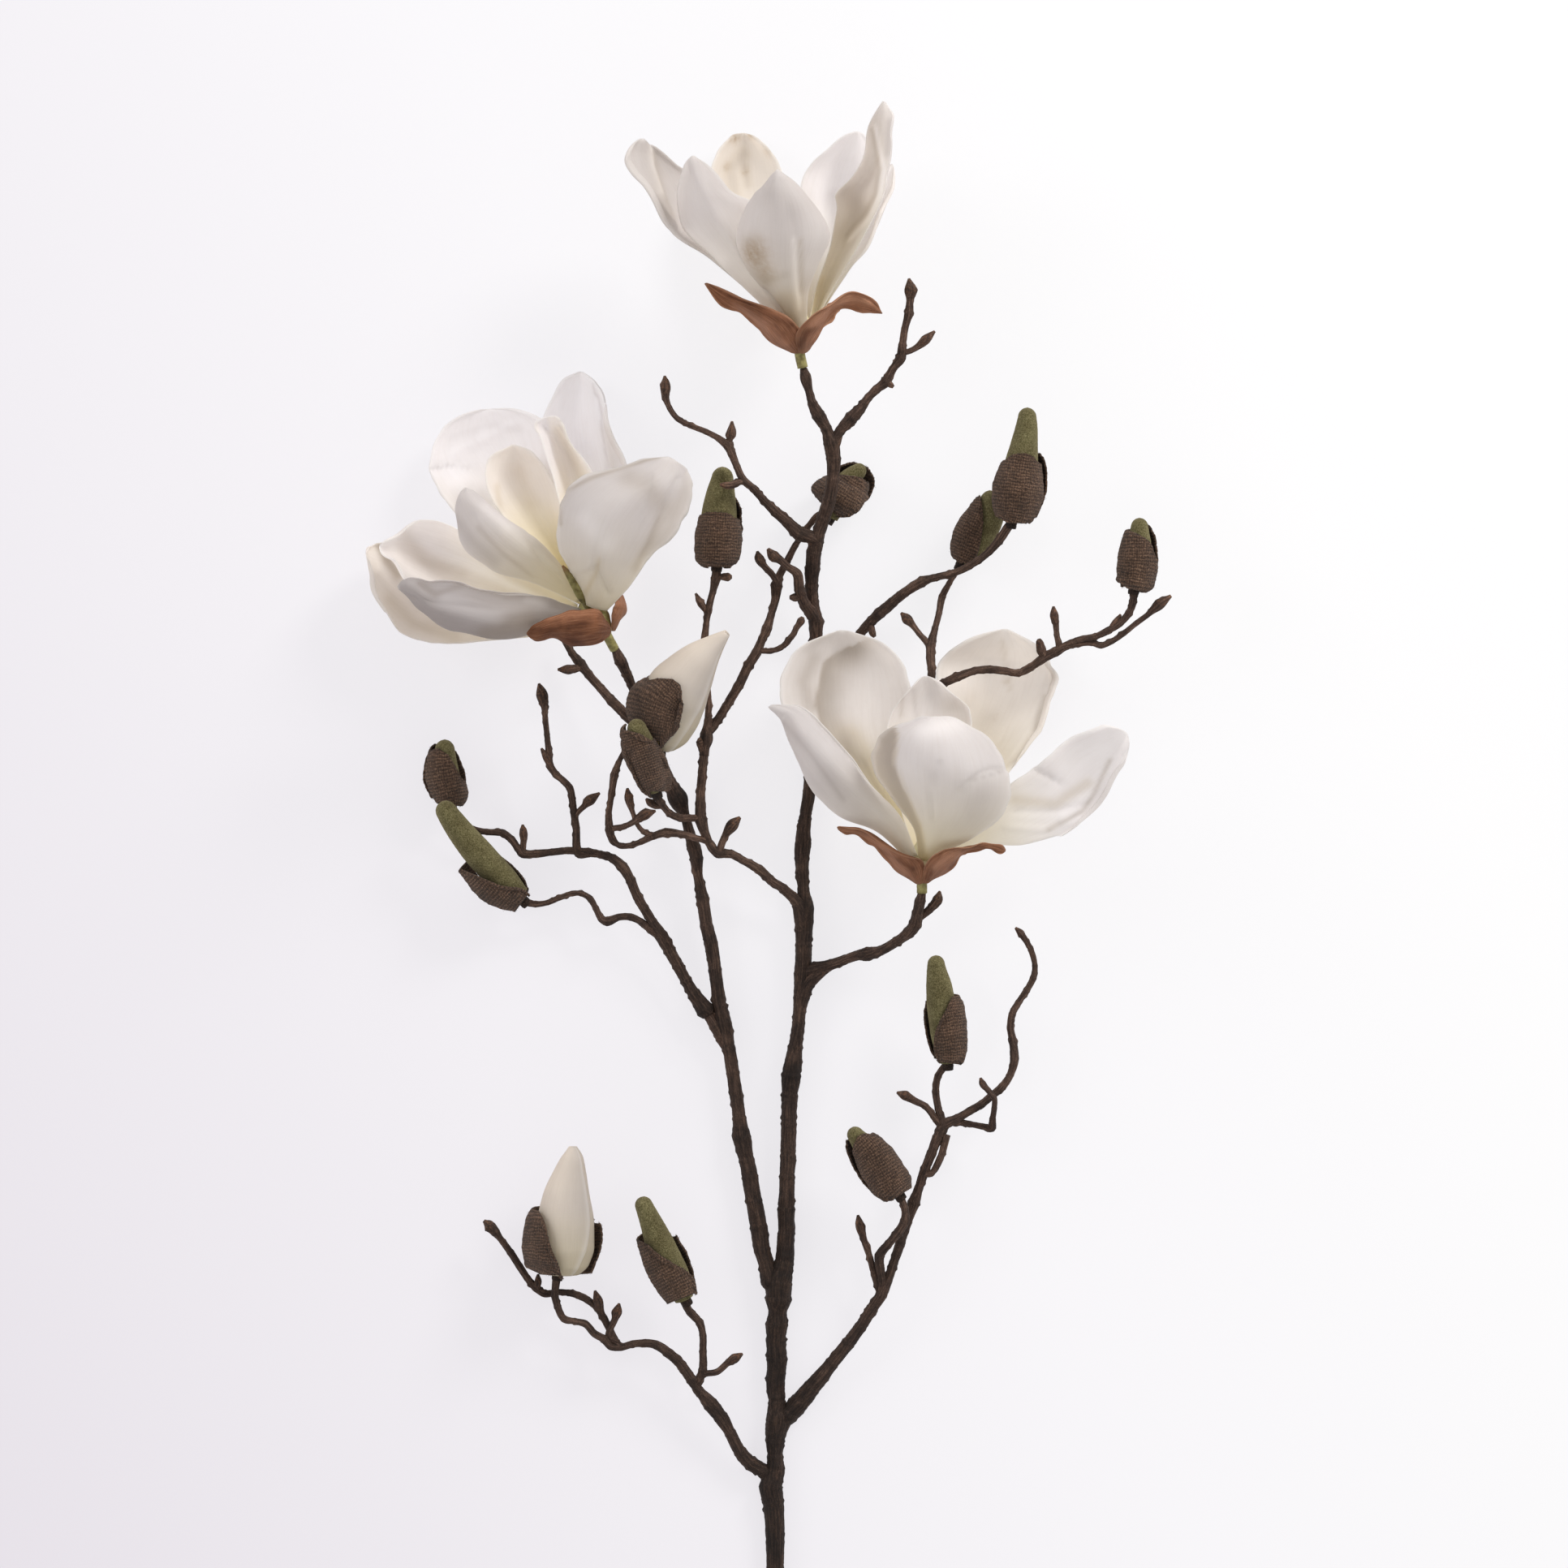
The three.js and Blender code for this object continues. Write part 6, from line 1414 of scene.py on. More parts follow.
def sepal(n):
    """Terracotta brown sepal with a thin paler rim, a painted highlight, and faint veins."""
    veins = n.noise(n.stretched(n.grain(), 110, 620, 1), 1.0, 5, 0.65)
    patches = n.noise(n.spot(), 140, 3)
    colour = n.ramp(veins, (0.3, 0.14, 0.050, 0.022), (0.5, 0.34, 0.145, 0.07),
                    (0.7, 0.52, 0.26, 0.15))
    colour = n.tinted(colour, n.ramp(patches, (0.35, 0.72, 0.7, 0.68), (0.7, 1.15)))
    # Painted light: cream makes a sepal paler where light falls on it.
    colour = n.mix(n.number("cream"), colour, (0.62, 0.33, 0.20))
    # Painted shade: the shade field darkens the sepal.
    colour = n.tinted(colour, (0.42, 0.36, 0.32), n.times(n.number("shade"), 0.8))
    colour = n.mix(n.number("rim"), colour, (0.46, 0.25, 0.15))
    n.set(Base_Color=colour, Roughness=0.6, Specular_IOR_Level=0.25)
    normal = n.bump(n.plus(veins, patches), 0.8, 0.0009)
    n.let_through(n.mix(0.5, colour, (0.62, 0.26, 0.10)), normal, 0.3)


def stalk(n):
    """Smooth olive green stalk, browner in patches."""
    patches = n.noise(n.spot(), 300)
    colour = n.ramp(patches, (0.35, 0.12, 0.095, 0.03), (0.6, 0.30, 0.27, 0.10))
    colour = n.mix(n.number("pale"), colour, (0.72, 0.66, 0.40))
    colour = n.mix(n.number("dry"), colour, (0.16, 0.06, 0.02))
    n.set(Base_Color=colour, Roughness=0.5, Specular_IOR_Level=0.3)
    n.bump(n.noise(n.spot(), 1200, 3), 0.3, 0.0003)


def felt(n):
    """Brown woven felt: crossed threads with loose fibres."""
    spot = n.spot()
    wobble = n.add("TexNoise", noise_dimensions="3D").outputs["Color"]
    bent = n.mix(0.0008, n.grain(), wobble, "ADD")
    cloth = n.plus(n.times(n.wave(bent, "X", 330, 3.2), 0.08),
                   n.times(n.wave(bent, "Y", 250, 2.2), 0.13))
    height = n.plus(n.times(n.noise(spot, 1500, 6, 0.75), 0.95), cloth)
    colour = n.ramp(height, (0.36, 0.014, 0.007, 0.004), (0.58, 0.080, 0.044, 0.026),
                    (0.82, 0.30, 0.18, 0.115))
    patches = n.ramp(n.noise(spot, 160, 3), (0.3, 0.65), (0.7, 1.2))
    n.set(Base_Color=n.tinted(colour, patches), Roughness=1.0, Sheen_Weight=0.12,
          Sheen_Roughness=0.6, Specular_IOR_Level=0.05)
    n.bump(height, 1.0, 0.0010)


def green_felt(n):
    """Short olive green velvet."""
    spot = n.spot()
    fibres = n.noise(spot, 1700, 6, 0.8)
    colour = n.ramp(fibres, (0.36, 0.050, 0.044, 0.018), (0.5, 0.135, 0.120, 0.055),
                    (0.68, 0.30, 0.265, 0.14))
    patches = n.ramp(n.noise(spot, 150, 3), (0.35, 0.75, 0.72, 0.7), (0.7, 1.15))
    n.set(Base_Color=n.tinted(colour, patches), Roughness=1.0, Sheen_Weight=0.25,
          Sheen_Roughness=0.5, Sheen_Tint=(0.85, 0.76, 0.5), Specular_IOR_Level=0.05)
    n.bump(fibres, 0.8, 0.0006)


# ---------------------------------------------------------------- wood

def ringed(rows, walked, at, radii, draw):
    """The radii with a ring at each row, but not where the width jumps."""
    for k in range(1, len(rows) - 1):
        gap = (walked - np.interp(k, at, walked)) / MM
        size = draw.uniform(*RING_SIZES)
        width, following = rows[k][3], rows[k + 1][3]
        if width > following * 1.5 or width * 1.3 < following:
            continue
        shape = 1.5 * bell(gap / RING_LENGTH) - bell((gap - GROOVE_GAP) / GROOVE_LENGTH)
        radii = radii + size * shape * np.minimum(RING_SHARE * radii, RING_LIMIT * MM)
    return radii


def branch_tube(rows, seed, is_side):
    """One branch: rings at its joints, nodules and lengthwise ridges are in the shape itself."""
    is_thick = max(row[3] for row in rows) * STEP > THICK_WOOD
    sides = THICK_SIDES if is_thick else THIN_SIDES
    centres, radii, at = sampled(rows, WOOD_SPACING)
    side, other = across_line(centres)
    walked = walk(centres)
    draw = np.random.default_rng(int(seed * 100))
    radii = ringed(rows, walked, at, radii, draw)
    if is_side:
        radii = radii * (1 + FLARE * np.clip(1 - walked / MM / FLARE_LENGTH, 0, 1) ** 1.5)
    turns = ring(sides)
    spokes = spokes_at(turns[None, :], side, other)
    grain = np.stack(np.broadcast_arrays(
        np.cos(turns) * radii[:, None], np.sin(turns) * radii[:, None], walked[:, None]), axis=-1)
    shift = np.array([seed * 3.1, seed * 1.7, seed * 0.9])
    rough = sum(depth * hills(grain * np.array(fineness) + shift * (k + 1))
                for k, (depth, fineness) in enumerate(RELIEF))
    rough = rough * np.minimum(radii, 0.004)[:, None] * 1.5
    for _ in range(int(walked[-1] / MM / NODULE_SPACING)):
        gap = (walked - draw.uniform(0, walked[-1])) / MM
        turned = np.angle(np.exp(1j * (turns - draw.uniform(0, 2 * math.pi))))
        size = draw.uniform(*NODULE_SIZES) * MM
        rough = rough + size * bell(gap / NODULE_LENGTH)[:, None] * bell(turned / NODULE_TURN)
    left = len(rows) - 1 - at
    depth = radii[:, None] + rough * np.clip(left * 1.5, 0, 1)[:, None]
    points = centres[:, None] + spokes * depth[..., None]
    tip = np.clip(1 - left / TIP_ROWS, 0, 1) * (rows[-1][3] <= TIP_WIDTH)
    thin = np.clip(1.45 - radii / (THIN_RADIUS * MM), 0, 1)
    return ([points.reshape(-1, 3), tube_faces(len(centres), sides)],
            grain.reshape(-1, 3) + shift * 0.01, np.repeat([tip, thin], sides, axis=1))


def parent_of(rows):
    """The branch that these rows start in, as a dense line, and the nearest place on it."""
    start = np.array(rows[0], dtype=float)
    nearest, line, near = np.inf, None, 0
    for other in (other for branches in WOOD.values() for other in branches if other is not rows):
        steps = np.linspace(0, len(other) - 1, len(other) * 12)
        dense = np.stack([np.interp(steps, range(len(other)), values)
                          for values in np.array(other, dtype=float).T], axis=-1)
        gaps = np.linalg.norm((dense[:, :3] - start[:3]) * (1, 1, 1 / STEP), axis=1)
        k = int(np.argmin(gaps[1:])) + 1
        is_near = gaps[k] < min(nearest, 0.65 * (dense[k, 3] + start[3]))
        if is_near and dense[k, 3] > start[3] * 0.9:
            nearest, line, near = gaps[k], dense, k
    return line, near


def forks(rows):
    """A side branch that starts inside the wood it grows from, and the web that fills the fork."""
    line, near = parent_of(rows)
    if line is None or len(rows) < 3:
        return [rows]

    def earlier(length):
        """The place this many pixels back along the parent wood."""
        passed = np.cumsum(np.linalg.norm(np.diff(line[near::-1, :2], axis=0), axis=1))
        return line[max(0, near - 1 - int(np.searchsorted(passed, length))), :3]

    start, second = np.array(rows[:2], dtype=float)
    wide = line[near, 3]
    thick = min(start[3], wide)
    tube = [[*earlier(wide * 0.9 + 3), thick * 0.75], *rows]
    if thick < WEB_WIDTH:
        return [tube]
    share = min(1, (wide * 0.5 + thick * 0.9) / np.linalg.norm(second[:2] - start[:2]))
    start, second = start[:3], second[:3]
    high = start + (second - start) * share
    low = earlier(wide * 0.6 + thick * 0.8)
    web = ((earlier(wide + thick * 1.4), 0.3), (low, 0.8),
           (low * 0.45 + high * 0.3 + start * 0.25, 0.9), (high, 0.75),
           (high * 0.6 + second * 0.4, 0.3))
    return [tube, [[*spot, thick * width] for spot, width in web]]


def wood_piece(name, branches, seed):
    """A stem or sprig with its side branches, the webs in its forks and its swellings."""
    forked = [forks(branch) for branch in branches]
    tubes = [pair[0] for pair in forked] + [web for pair in forked for web in pair[1:]]
    tubes += SWELLINGS.get(name, [])
    if name in COLLARS:
        tubes[0] = COLLARS[name] + branches[0][3:]
    shapes, grains, marks = [], [], []
    for k, rows in enumerate(tubes):
        is_side = k < len(branches) and (k > 0 or name not in ("main_stem", *COLLARS))
        shape, grain, mark = branch_tube(rows, seed + k * 0.37, is_side)
        shapes.append(shape)
        grains.append(grain)
        marks.append(mark)
    tip, thin = np.hstack(marks)
    make_piece(name, "wood", *joined(shapes), "bark",
               {"grain": np.vstack(grains), "tip": tip, "thin": thin * PALENESS.get(name, 1)})


# ---------------------------------------------------------------- petals and sepals

def stations_grid(stations, rows, shares):
    """A smooth grid of points over stations of [left edge, middle, right edge]."""
    u = np.linspace(0, 1, rows)
    v = shares[None, :, None]
    left, middle, right = (curve(place([s[k] for s in stations]), u)[:, None] for k in range(3))
    return left * (1 - v) * (1 - 2 * v) + middle * 4 * v * (1 - v) + right * v * (2 * v - 1)


def beside(line, across, down):
    """How far each place on the picture is from a line, and on which side: 1 or -1."""
    best = np.full(np.shape(across), np.inf)
    sign = np.ones(np.shape(across))
    for (x0, y0), (x1, y1) in zip(line, line[1:]):
        length = (x1 - x0) ** 2 + (y1 - y0) ** 2
        t = np.clip(((across - x0) * (x1 - x0) + (down - y0) * (y1 - y0)) / length, 0, 1)
        gap = np.hypot(across - x0 - t * (x1 - x0), down - y0 - t * (y1 - y0))
        cross = (x1 - x0) * (down - y0) - (y1 - y0) * (across - x0)
        sign = np.where(gap < best, np.sign(cross), sign)
        best = np.minimum(gap, best)
    return best, sign


def evened(vectors):
    """Directions along an edge, each the mean of its seven neighbours."""
    soft = np.ones(7) / 7
    padded = np.pad(vectors, ((3, 3), (0, 0)), "edge")
    return unit(np.stack([np.convolve(column, soft, "valid") for column in padded.T], axis=-1))


def add_lip(grid, fields, width, start, end):
    """Turns part of a rim over towards the viewer, as extra columns."""
    across, down = pictured(grid)
    gaps = [[np.hypot(across[:, k] - x, down[:, k] - y) for x, y in (start, end)] for k in (0, -1)]
    rim = -int(np.argmin([sum(gap.min() for gap in pair) for pair in gaps]))
    first, last = sorted(np.argmin(gap) for gap in gaps[rim])
    share = np.clip((np.arange(len(grid)) - first) / max(last - first, 1), 0, 1)
    widths = (0.15 + width * np.sin(math.pi * share) ** 0.6) * MM
    edge = grid[:, rim]
    out = unit(edge - grid[:, -4 if rim else 3])
    up = facing(unit(np.cross(out, unit(np.gradient(edge, axis=0)))))
    out, up = evened(out), evened(up)
    radius = LIP_RADIUS * MM
    for step in np.linspace(0, 1, LIP_COLUMNS + 1)[1:]:
        turned = np.minimum(widths * step / radius, LIP_TURN)[:, None]
        past = np.maximum(widths * step - LIP_TURN * radius, 0)[:, None]
        column = (edge + out * (radius * np.sin(turned) - past)
                  + up * (radius * (1 - np.cos(turned)) + past * 0.12))[:, None]
        grid = np.hstack((grid, column) if rim else (column, grid))
        fields = {key: np.hstack((f, f[:, -1:]) if rim else (f[:, :1], f))
                  for key, f in fields.items()}
    return grid, fields


def sheet_piece(name, stations, thickness, slot, seed):
    """One petal or sepal, with its folds, creases, bends, rim and colour fields."""
    cream, wave, ragged, yellow, roll, dim = LOOKS[name]
    even = np.linspace(0, 1, SHEET_COLUMNS)
    shares = 0.5 * even + 0.25 * (1 - np.cos(math.pi * even))
    grid = stations_grid(stations, SHEET_ROWS, shares)
    u, v = np.meshgrid(np.linspace(0, 1, SHEET_ROWS), shares, indexing="ij")
    blank = np.zeros_like(u)
    edge = np.abs(2 * v - 1)
    tip = np.clip((u - TIP_START) / 0.1, 0, 1) ** 2
    open_part = np.clip((u - OPEN_START) / OPEN_LENGTH, 0, 1)
    half = SHEET_COLUMNS // 2
    centre = grid[:, [half]]
    grid = centre + (grid - centre) * np.sqrt(1 - 0.9 * tip)[..., None]
    normal = unit(np.cross(np.gradient(grid, axis=0), np.gradient(grid, axis=1)))
    ruffle = hills_at(u * 5.5, np.sign(v - 0.5) * 3, seed)
    folds = hills_at(u * 1.6, v * 9, seed * 2.3)
    dents = hills_at(u * 3.2, v * 3.2, seed * 5.1)
    lift = wave * ruffle * edge ** 3 + FOLDING * folds * 0.35 + FOLDING * dents
    lift = lift + roll * 0.9 * np.clip(edge * 8 - 7, 0, 1) ** 2
    grid = grid + normal * (lift * open_part * (1 - 0.9 * tip) * MM)[..., None]
    across, down = pictured(grid)
    for depth, spread, *line in CREASES.get(name, []):
        crease = depth * MM * bell(beside(line, across, down)[0] / spread)
        grid = grid + facing(normal) * crease[..., None]
    # shade is painted shade; on a sepal, cream is painted light.
    tone, shade, stain = blank + cream, blank + dim, blank
    for slope, extra, (x, y), *line in BENDS.get(name, []):
        gap, sign = beside(line, across, down)
        bent = np.where(sign == beside(line, x, y)[1], gap, 0)
        reach = np.sqrt((bent * STEP) ** 2 + BEND_SOFTNESS ** 2) - BEND_SOFTNESS
        grid[..., 2] += slope * MM * np.minimum(reach, BEND_LIMIT) * open_part
        # Painted shade: the bent side takes the extra cream as the warm tone of its shade.
        tone = tone + extra * np.clip(bent / 14, 0, 1)
    # Painted shade along each line, or painted light where its depth is below 0.
    for depth, spread, extra, *line in SHADES.get(name, []):
        gap, sign = beside(line, across, down)
        mark = bell(gap / (spread * (np.where(sign > 0, 0.12, 1) if spread < 0 else 1)))
        shade = shade + depth * mark
        tone = tone + extra * mark
    for x, y, radius, strength in STAINS.get(name, []):
        gap = (across - x) ** 2 + (down - y) ** 2
        stain = stain + strength * np.exp(-gap / radius ** 2)
    jag = hills_at(u * 16, v * 7, seed * 7.7)
    jag = 0.022 * ragged * jag * edge ** 6 * open_part
    grid = grid + (grid[:, [half]] - grid) * jag[..., None]
    # rim is a painted highlight along the edge and tip.
    fields = {
        "u": u, "v": v, "stain": stain,
        "cream": np.clip(tone, 0, 1),
        "shade": np.clip(shade, 0, 1.6),
        "taper": 1 - 0.45 * np.maximum(edge, np.clip(u * 6 - 5, 0, 1)) ** 4,
        "base": np.clip(1 - u / BASE_END, 0, 1) ** 1.5 * yellow,
        "rim": np.maximum(np.clip(edge * 16 - 15, 0, 1), np.clip(u * 25 - 24, 0, 1)),
    }
    for width, start, end in LIPS.get(name, []):
        grid, fields = add_lip(grid, fields, width, start, end)
    u, v, taper = (fields.pop(key) for key in ("u", "v", "taper"))
    length = np.linalg.norm(grid[-1, half] - grid[0, half])
    grain = np.stack([u * length + seed * 0.1, (v - 0.5) * 0.045 + seed * 0.03, 0 * u], axis=-1)
    attributes = {key: np.tile(values.ravel(), 2) for key, values in fields.items()}
    attributes["grain"] = np.tile(grain.reshape(-1, 3), (2, 1))
    make_piece(name, "sheet", *shell(grid, thickness, taper), slot, attributes)


# ---------------------------------------------------------------- buds and stalks

def round_body(rows, spacing, sides, bumps, seed, is_domed=False):
    """A round body along the rows. A domed one ends in a half ball."""
    centres, radii, _ = sampled(rows, spacing)
    if is_domed:
        left = walk(centres)[-1] - walk(centres)
        inside = np.clip(1 - left / radii[-1], 0, 0.999)
        radii = radii * np.sqrt(1 - inside ** 2)
    spokes = spokes_at(ring(sides)[None, :], *across_line(centres))
    points = centres[:, None] + spokes * radii[:, None, None]
    rough = hills(points * 900 + seed) * 0.6 + hills(points * 2200 + seed) * 0.4
    fade = np.minimum(1, radii / (2 * MM))[:, None]
    points = points + spokes * (bumps * MM * rough * fade)[..., None]
    return points.reshape(-1, 3), tube_faces(len(centres), sides)


def fibres(roots, outward, seed):
    """Short loose fibres: thin three-sided spikes that stand out from their roots."""
    draw = np.random.default_rng(seed)
    points, faces = [], []
    for root, out in zip(roots, outward):
        lean = unit(out + draw.normal(0, HAIR_LEAN, 3))
        across = unit(np.cross(lean, draw.normal(0, 1, 3)))
        other = np.cross(lean, across)
        length = draw.uniform(*HAIR_LENGTHS) * MM
        a, b, c, top = range(len(points), len(points) + 4)
        for turn in (0, 2.1, 4.2):
            spoke = across * math.cos(turn) + other * math.sin(turn)
            points.append(root - lean * HAIR_ROOT * MM + spoke * HAIR_RADIUS * MM)
        points.append(root + lean * length)
        faces += [(a, b, top), (b, c, top), (c, a, top), (c, b, a)]
    return np.array(points), faces


def cleared(grid, rows, gap, is_under):
    """The heights of a sheet, lifted clear of a round body inside it, or lowered clear of it."""
    centres, radii, _ = sampled(rows, BUD_SPACING)
    across = ((grid[..., None, :2] - centres[:, :2]) ** 2).sum(axis=-1)
    reach = (radii + gap * MM) ** 2 - across
    rise = np.sqrt(np.maximum(reach, 0))
    if is_under:
        level = np.where(reach > 0, centres[:, 2] - rise, np.inf).min(axis=-1)
        return np.minimum(grid[..., 2], level)
    level = np.where(reach > 0, centres[:, 2] + rise, -np.inf).max(axis=-1)
    return np.maximum(grid[..., 2], level)


def bud_scale(rows, core, gap, stations, is_under, seed):
    """A brown scale that hugs the bud, with its rims where they were traced.

    Extra columns let the rims curl on round the bud's side.
    """
    centres, radii, _ = sampled(rows, BUD_SPACING)
    side, other = across_line(centres)
    across, down = pictured(centres)
    level = float(np.mean(centres[:, 2])) / MM + LOWER
    step = STEP * MM * (EYE_HEIGHT - level) / EYE_HEIGHT
    outline = curve(stations, np.linspace(0, 1, SCALE_ROWS))[:, None]
    share = (1 + np.sin(np.linspace(-1.5, 1.5, SCALE_COLUMNS)) / math.sin(1.5))[:, None] / 2
    spots = outline[..., :2] + (outline[..., 2:] - outline[..., :2]) * share
    east, south = spots[..., 0], spots[..., 1]
    near = np.argmin((spots[..., [0]] - across) ** 2 + (spots[..., [1]] - down) ** 2, axis=-1)
    flat = unit(other[..., :2])
    offset = ((east - across[near]) * flat[near, 0] - (south - down[near]) * flat[near, 1]) * step
    hug = np.maximum(radii[near], 1.01 * np.abs(offset[:, [0, -1]]).max(axis=1, keepdims=True))
    angle = np.arcsin(np.clip(offset / hug, -1, 1))
    beyond = []
    for rim, sign in ((0, -1), (-1, 1)):
        at_side = np.clip((sign * offset[:, [rim]] / hug[:, [rim]] - 0.75) / 0.2, 0, 1)
        turn = 1.5 + 15 * (0 * at_side if is_under else at_side)
        beyond.append(angle[:, [rim]] + sign * np.arange(1, CURL_COLUMNS + 1) * np.radians(turn))
    angle = np.hstack([beyond[0][:, ::-1], angle, beyond[1]])
    near, hug = (np.pad(values, ((0, 0), (CURL_COLUMNS, CURL_COLUMNS)), "edge")
                 for values in (near, hug))
    if is_under:
        angle = math.pi - angle
    spokes = np.cos(angle)[..., None] * side[near] + np.sin(angle)[..., None] * other[near]
    rough = (hills(spokes * 3 + centres[near] * 500 + seed) * 0.3
             + hills(spokes * 9 + centres[near] * 1900 + seed) * 0.22)
    grid = centres[near] + spokes * (hug + rough * MM)[..., None]
    middle = slice(CURL_COLUMNS, -CURL_COLUMNS)
    exact = place(np.dstack([spots, grid[:, middle, 2] / MM + LOWER]))
    bend = 1 - np.abs(np.linspace(-1, 1, SCALE_COLUMNS))[None, :, None] ** 8
    grid[:, middle, :2] += (exact - grid[:, middle])[..., :2] * np.maximum(bend, 0)
    before = grid[..., 2].copy()
    grid[:, middle, 2] = cleared(grid, core, gap, is_under)[:, middle]
    risen = grid[..., 2] - before
    fall = np.linspace(1, 0, CURL_COLUMNS + 1)[1:]
    grid[:, :CURL_COLUMNS, 2] += risen[:, [CURL_COLUMNS]] * fall[::-1]
    grid[:, -CURL_COLUMNS:, 2] += risen[:, [-CURL_COLUMNS - 1]] * fall
    weave = np.stack([angle * hug, near * BUD_SPACING, 0 * angle], axis=-1).reshape(-1, 3)
    rim = np.concatenate([grid[-1], grid[0], grid[::2, 0], grid[::2, -1]])
    inner = np.concatenate([grid[-3], grid[2], grid[::2, 2], grid[::2, -3]])
    draw = np.random.default_rng(int(seed * 10) + 5)
    inside = draw.integers(0, len(weave), HAIRS_INSIDE)
    lift = spokes.reshape(-1, 3)[inside]
    roots = np.vstack([rim, grid.reshape(-1, 3)[inside] + lift * SCALE_THICKNESS * MM * 0.4])
    hairs = fibres(roots, np.vstack([unit(rim - inner), lift]), int(seed * 10))
    sheet = shell(grid, SCALE_THICKNESS, np.ones(grid.shape[:2]))
    return joined([sheet, hairs]), {"grain": np.vstack([weave, weave, hairs[0]])}


def add_scales(name, rows, core, gap, seed):
    """The bud's brown scales, and the neck of bark under them."""
    for k, stations in enumerate(SCALES[name]):
        shape, attributes = bud_scale(rows, core, gap, stations, k == 1, seed + k)
        make_piece(name, f"scale_{k + 1}", *shape, "felt", attributes)
    first, third = np.array([rows[0][:3], rows[2][:3]], dtype=float)
    spots = (first + (first - third) * 0.12, first, (first + third) / 2, third)
    neck = [[*spot, width] for spot, width in zip(spots, NECK_WIDTHS)]
    points, faces = round_body(neck, NECK_SPACING, NECK_SIDES, 0.25, seed)
    make_piece(name, "neck", points, faces, "bark", {"grain": points, "tip": np.zeros(len(points))})


def narrowed(rows):
    """A felted core's rows with its last widths narrowed, to a tenth of a pixel."""
    shares = [1] * (len(rows) - len(CORE_NARROWING)) + [*CORE_NARROWING]
    return [[*spot, round(width * share, 1)] for (*spot, width), share in zip(rows, shares)]


def felt_bud(name, rows, seed):
    """A green felted core with its brown scales."""
    core = narrowed(CORES[name])
    points, faces = round_body(core, BUD_SPACING, CORE_SIDES, 0.1, seed, is_domed=True)
    make_piece(name, "core", points, faces, "green_felt", {"grain": points})
    add_scales(name, rows, core, FELT_GAP, seed)


def white_bud(name, rows, seed):
    """Petals rolled round each other: a spiral sheet that closes to the tip, and brown scales."""
    centres, radii, _ = sampled(CORES[name], ROLL_SPACING)
    at = np.linspace(0, len(centres) - 1, ROLL_ROWS)
    middle, side, other = (
        np.stack([np.interp(at, range(len(centres)), column) for column in values.T], axis=-1)
        for values in (centres, *across_line(centres)))
    radius = np.interp(at, range(len(centres)), radii)[:, None]
    u, v = np.meshgrid(np.linspace(0, 1, ROLL_ROWS), np.linspace(0, 1, ROLL_COLUMNS), indexing="ij")
    turns = np.radians(30 + 25 * np.sin(u * 2.6) - ROLL_TURN * (1 - v))
    dents = hills_at(u * 2.5, np.cos(turns) * 1.6, np.sin(turns) * 1.6 + seed)
    spread = radius * (1 - 0.16 * (1 - v) + 0.03 * dents) + 0.0003 * v
    grid = middle[:, None] + spokes_at(turns, side, other) * spread[..., None]
    # Painted shade: darker on the side towards other, under the outermost rim, at the foot and in
    # dents.
    under = bell((v - CRACK_SHADE) / CRACK_SHADE_WIDTH) * (v < UNDER_SHARE)
    foot = np.clip(1 - u / 0.4, 0, 1)
    fields = {
        "base": np.clip(1 - u / BASE_END, 0, 1) * 0.35,
        "cream": 0.7 + 0.3 * (1 - v),
        "shade": 0.3 + 0.35 * np.sin(turns) + 0.7 * under + 0.2 * foot + 0.15 * dents,
        # Painted highlight along the outermost rim.
        "rim": np.clip((v - 0.975) * 60, 0, 1),
    }
    attributes = {key: np.tile(values.ravel(), 2) for key, values in fields.items()}
    grain = np.stack([u * 0.05, turns * 0.012, 0 * u], axis=-1).reshape(-1, 3)
    attributes["grain"] = np.tile(grain, (2, 1))
    sheet = shell(grid, ROLL_THICKNESS, np.ones(grid.shape[:2]))
    make_piece(name, "petals", *sheet, "petal", attributes)
    add_scales(name, rows, CORES[name], WHITE_GAP, seed)


def stalk_piece(name, rows, seed):
    """A green stalk that turns pale in the flower, or the one whose long pistil ends dry."""
    points, faces = round_body(rows, WOOD_SPACING, STALK_SIDES, 0.12, seed)
    share = np.repeat(np.linspace(0, 1, len(points) // STALK_SIDES), STALK_SIDES)
    has_pistil = name == PISTIL_STALK
    pale, dry = np.clip(share * 6 - 2.2, 0, 1), np.clip(share * 9 - 8, 0, 1)
    marks = {"pale": pale * (not has_pistil), "dry": dry * has_pistil}
    make_piece(name, "body", points, faces, "stalk", marks)


# ---------------------------------------------------------------- stage

def add_object(name, data, spot=(0, 0, 0)):
    """Adds an object that is no part of the branch."""
    new = bpy.data.objects.new(name, data)
    new.location = spot
    bpy.context.scene.collection.objects.link(new)
    return new


def add_floor():
    """A pale backdrop with a soft painted glow of its own, brighter to the east and north."""
    size = 6.0
    mesh = bpy.data.meshes.new("floor")
    corners = [(-size, -size, 0), (size, -size, 0), (size, size, 0), (-size, size, 0)]
    mesh.from_pydata(corners, [], [(0, 1, 2, 3)])
    n = Nodes("floor")
    east, north, _ = n.add("SeparateXYZ", {"Vector": n.spot()}).outputs
    # Painted light falloff: the glow is brighter to the east and north.
    fall = n.plus(east, n.times(north, 0.5))
    glow = n.ramp(n.plus(n.times(fall, 1.1), 0.5), (0.0, 0.66, 0.625, 0.675),
                  (0.55, 0.80, 0.79, 0.81), (0.85, 0.84))
    n.set(Base_Color=(0.18, 0.177, 0.18), Roughness=1.0, Specular_IOR_Level=0.0,
          Emission_Color=glow, Emission_Strength=0.94)
    mesh.materials.append(n.material)
    add_object("floor", mesh)


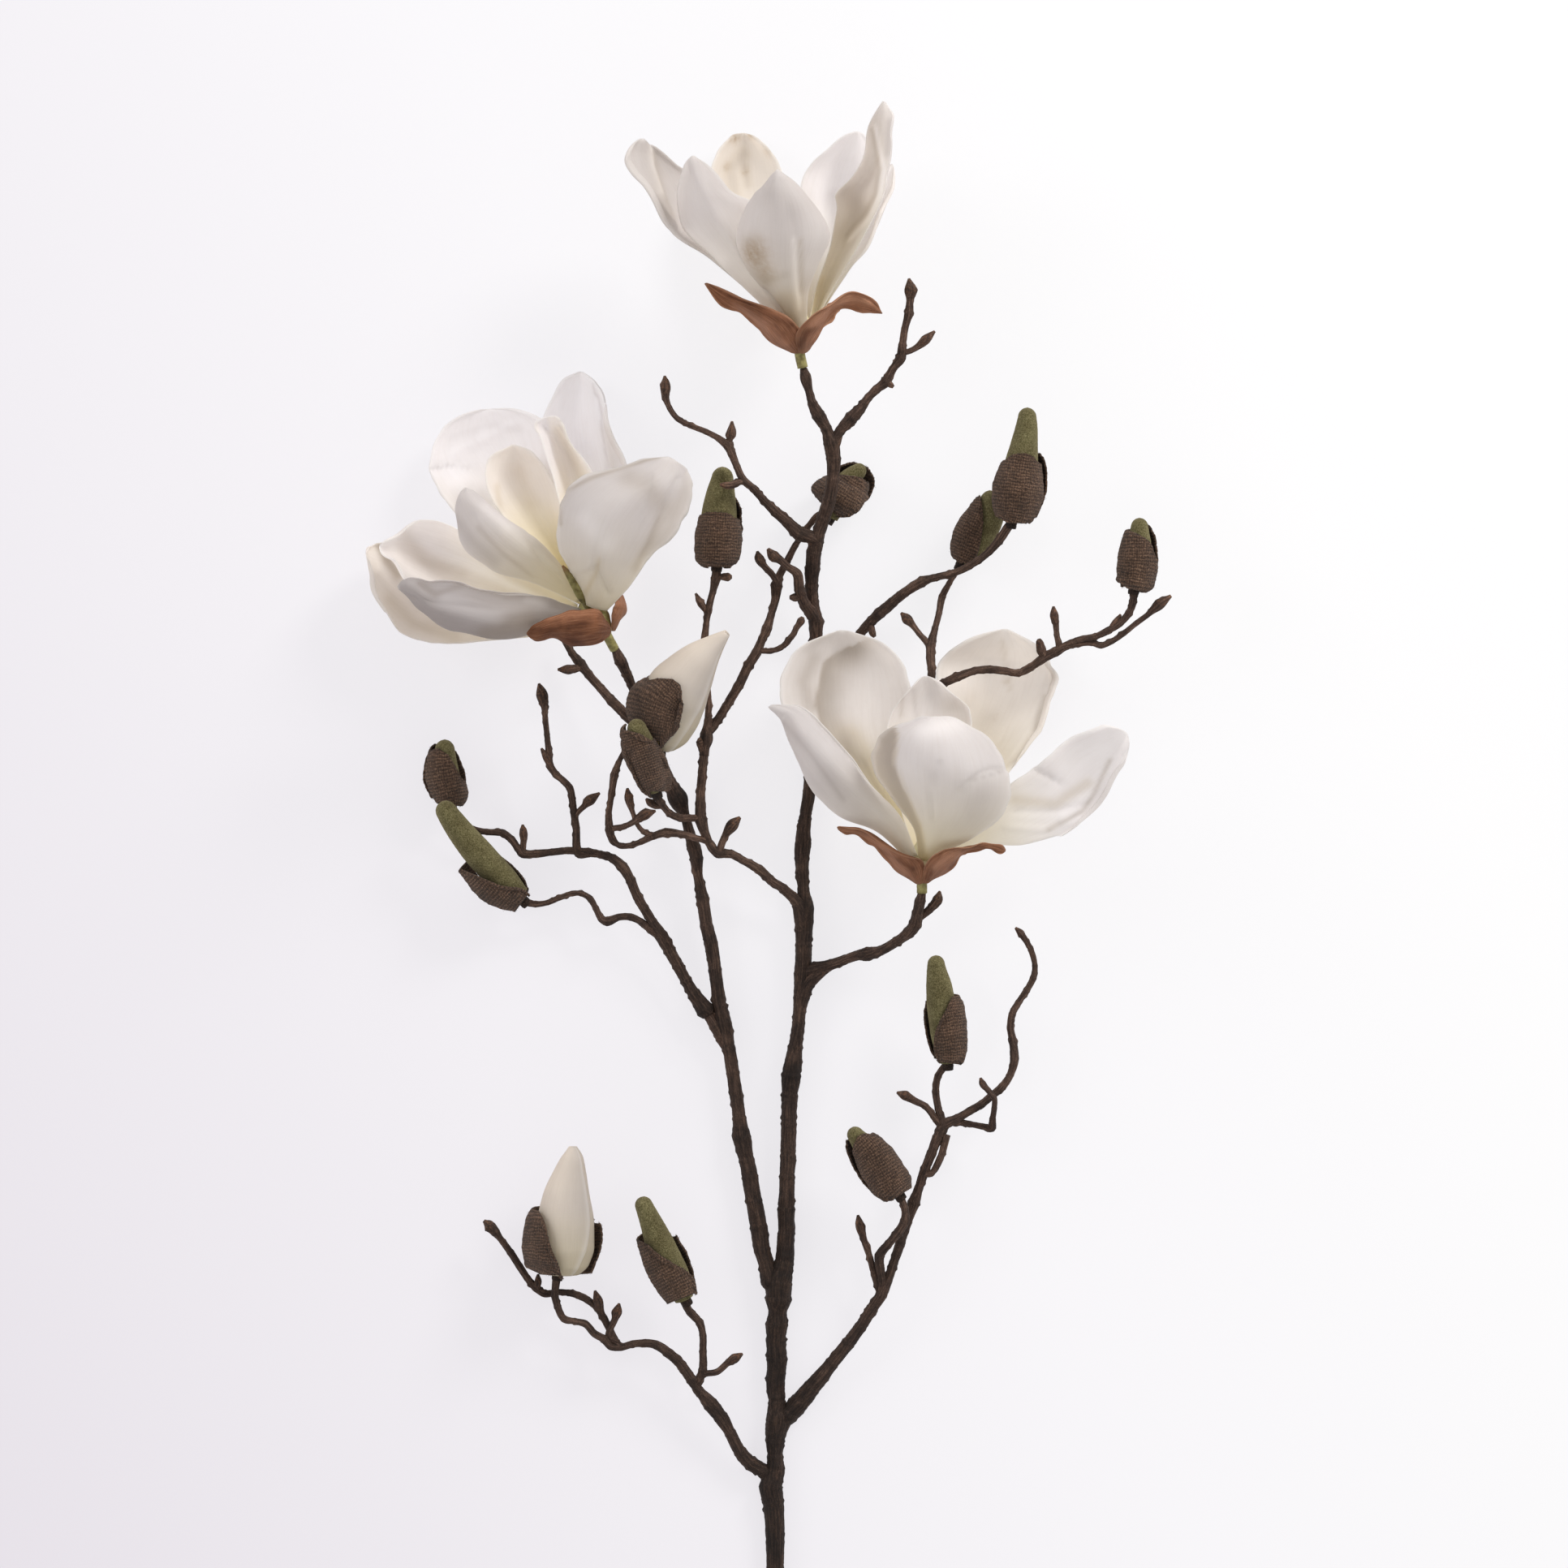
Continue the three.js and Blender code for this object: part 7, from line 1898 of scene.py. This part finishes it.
def add_light(name, spot, size, power, colour):
    """A round soft light that points at the middle of the surface."""
    data = bpy.data.lights.new(name, "AREA")
    data.shape = "DISK"
    data.size = size
    data.energy = power
    data.color = colour
    light = add_object(name, data, spot)
    light.rotation_euler = (-Vector(spot)).to_track_quat("-Z", "Y").to_euler()


def add_camera():
    """A camera that looks straight down, as wide as the reference picture."""
    data = bpy.data.cameras.new("camera")
    data.sensor_width = 36
    data.lens = data.sensor_width * EYE_HEIGHT / VIEW_WIDTH
    spot = (EYE_X * MM, EYE_Y * MM, (EYE_HEIGHT - LOWER) * MM)
    bpy.context.scene.camera = add_object("camera", data, spot)


def add_world():
    """Even pale light from all round."""
    world = bpy.data.worlds.new("studio")
    world.use_nodes = True
    sky = world.node_tree.nodes["Background"]
    sky.inputs["Color"].default_value = (1.0, 0.985, 0.99, 1)
    sky.inputs["Strength"].default_value = 0.73
    bpy.context.scene.world = world


def build():
    """The stage, the materials and every piece of the branch."""
    add_camera()
    add_world()
    add_floor()
    add_light("from_top_right", (1.3, 1.6, 1.2), 0.8, 33, (1.0, 0.985, 0.97))
    add_light("from_left", (-1.6, 0.8, 1.2), 1.0, 9, (0.98, 0.98, 1.0))
    bpy.context.scene.view_settings.view_transform = "Standard"
    makers = {"bark": bark, "petal": petal, "sepal": sepal, "stalk": stalk, "felt": felt,
              "green_felt": green_felt}
    for slot, make in makers.items():
        nodes = Nodes(slot)
        make(nodes)
        MATERIALS[slot] = nodes.material
    for seed, (name, branches) in enumerate(WOOD.items(), 1):
        wood_piece(name, branches, seed)
    for seed, (name, rows) in enumerate(STALKS.items()):
        stalk_piece(name, rows, seed)
    for seed, (name, rows) in enumerate(BUDS.items()):
        (white_bud if name.startswith("white") else felt_bud)(name, rows, seed)
    for seed, (name, stations) in enumerate(PETALS.items(), 1):
        sheet_piece(name, stations, PETAL_THICKNESS, "petal", seed)
    for seed, (name, stations) in enumerate(SEPALS.items(), 60):
        sheet_piece(name, stations, SEPAL_THICKNESS, "sepal", seed)


build()
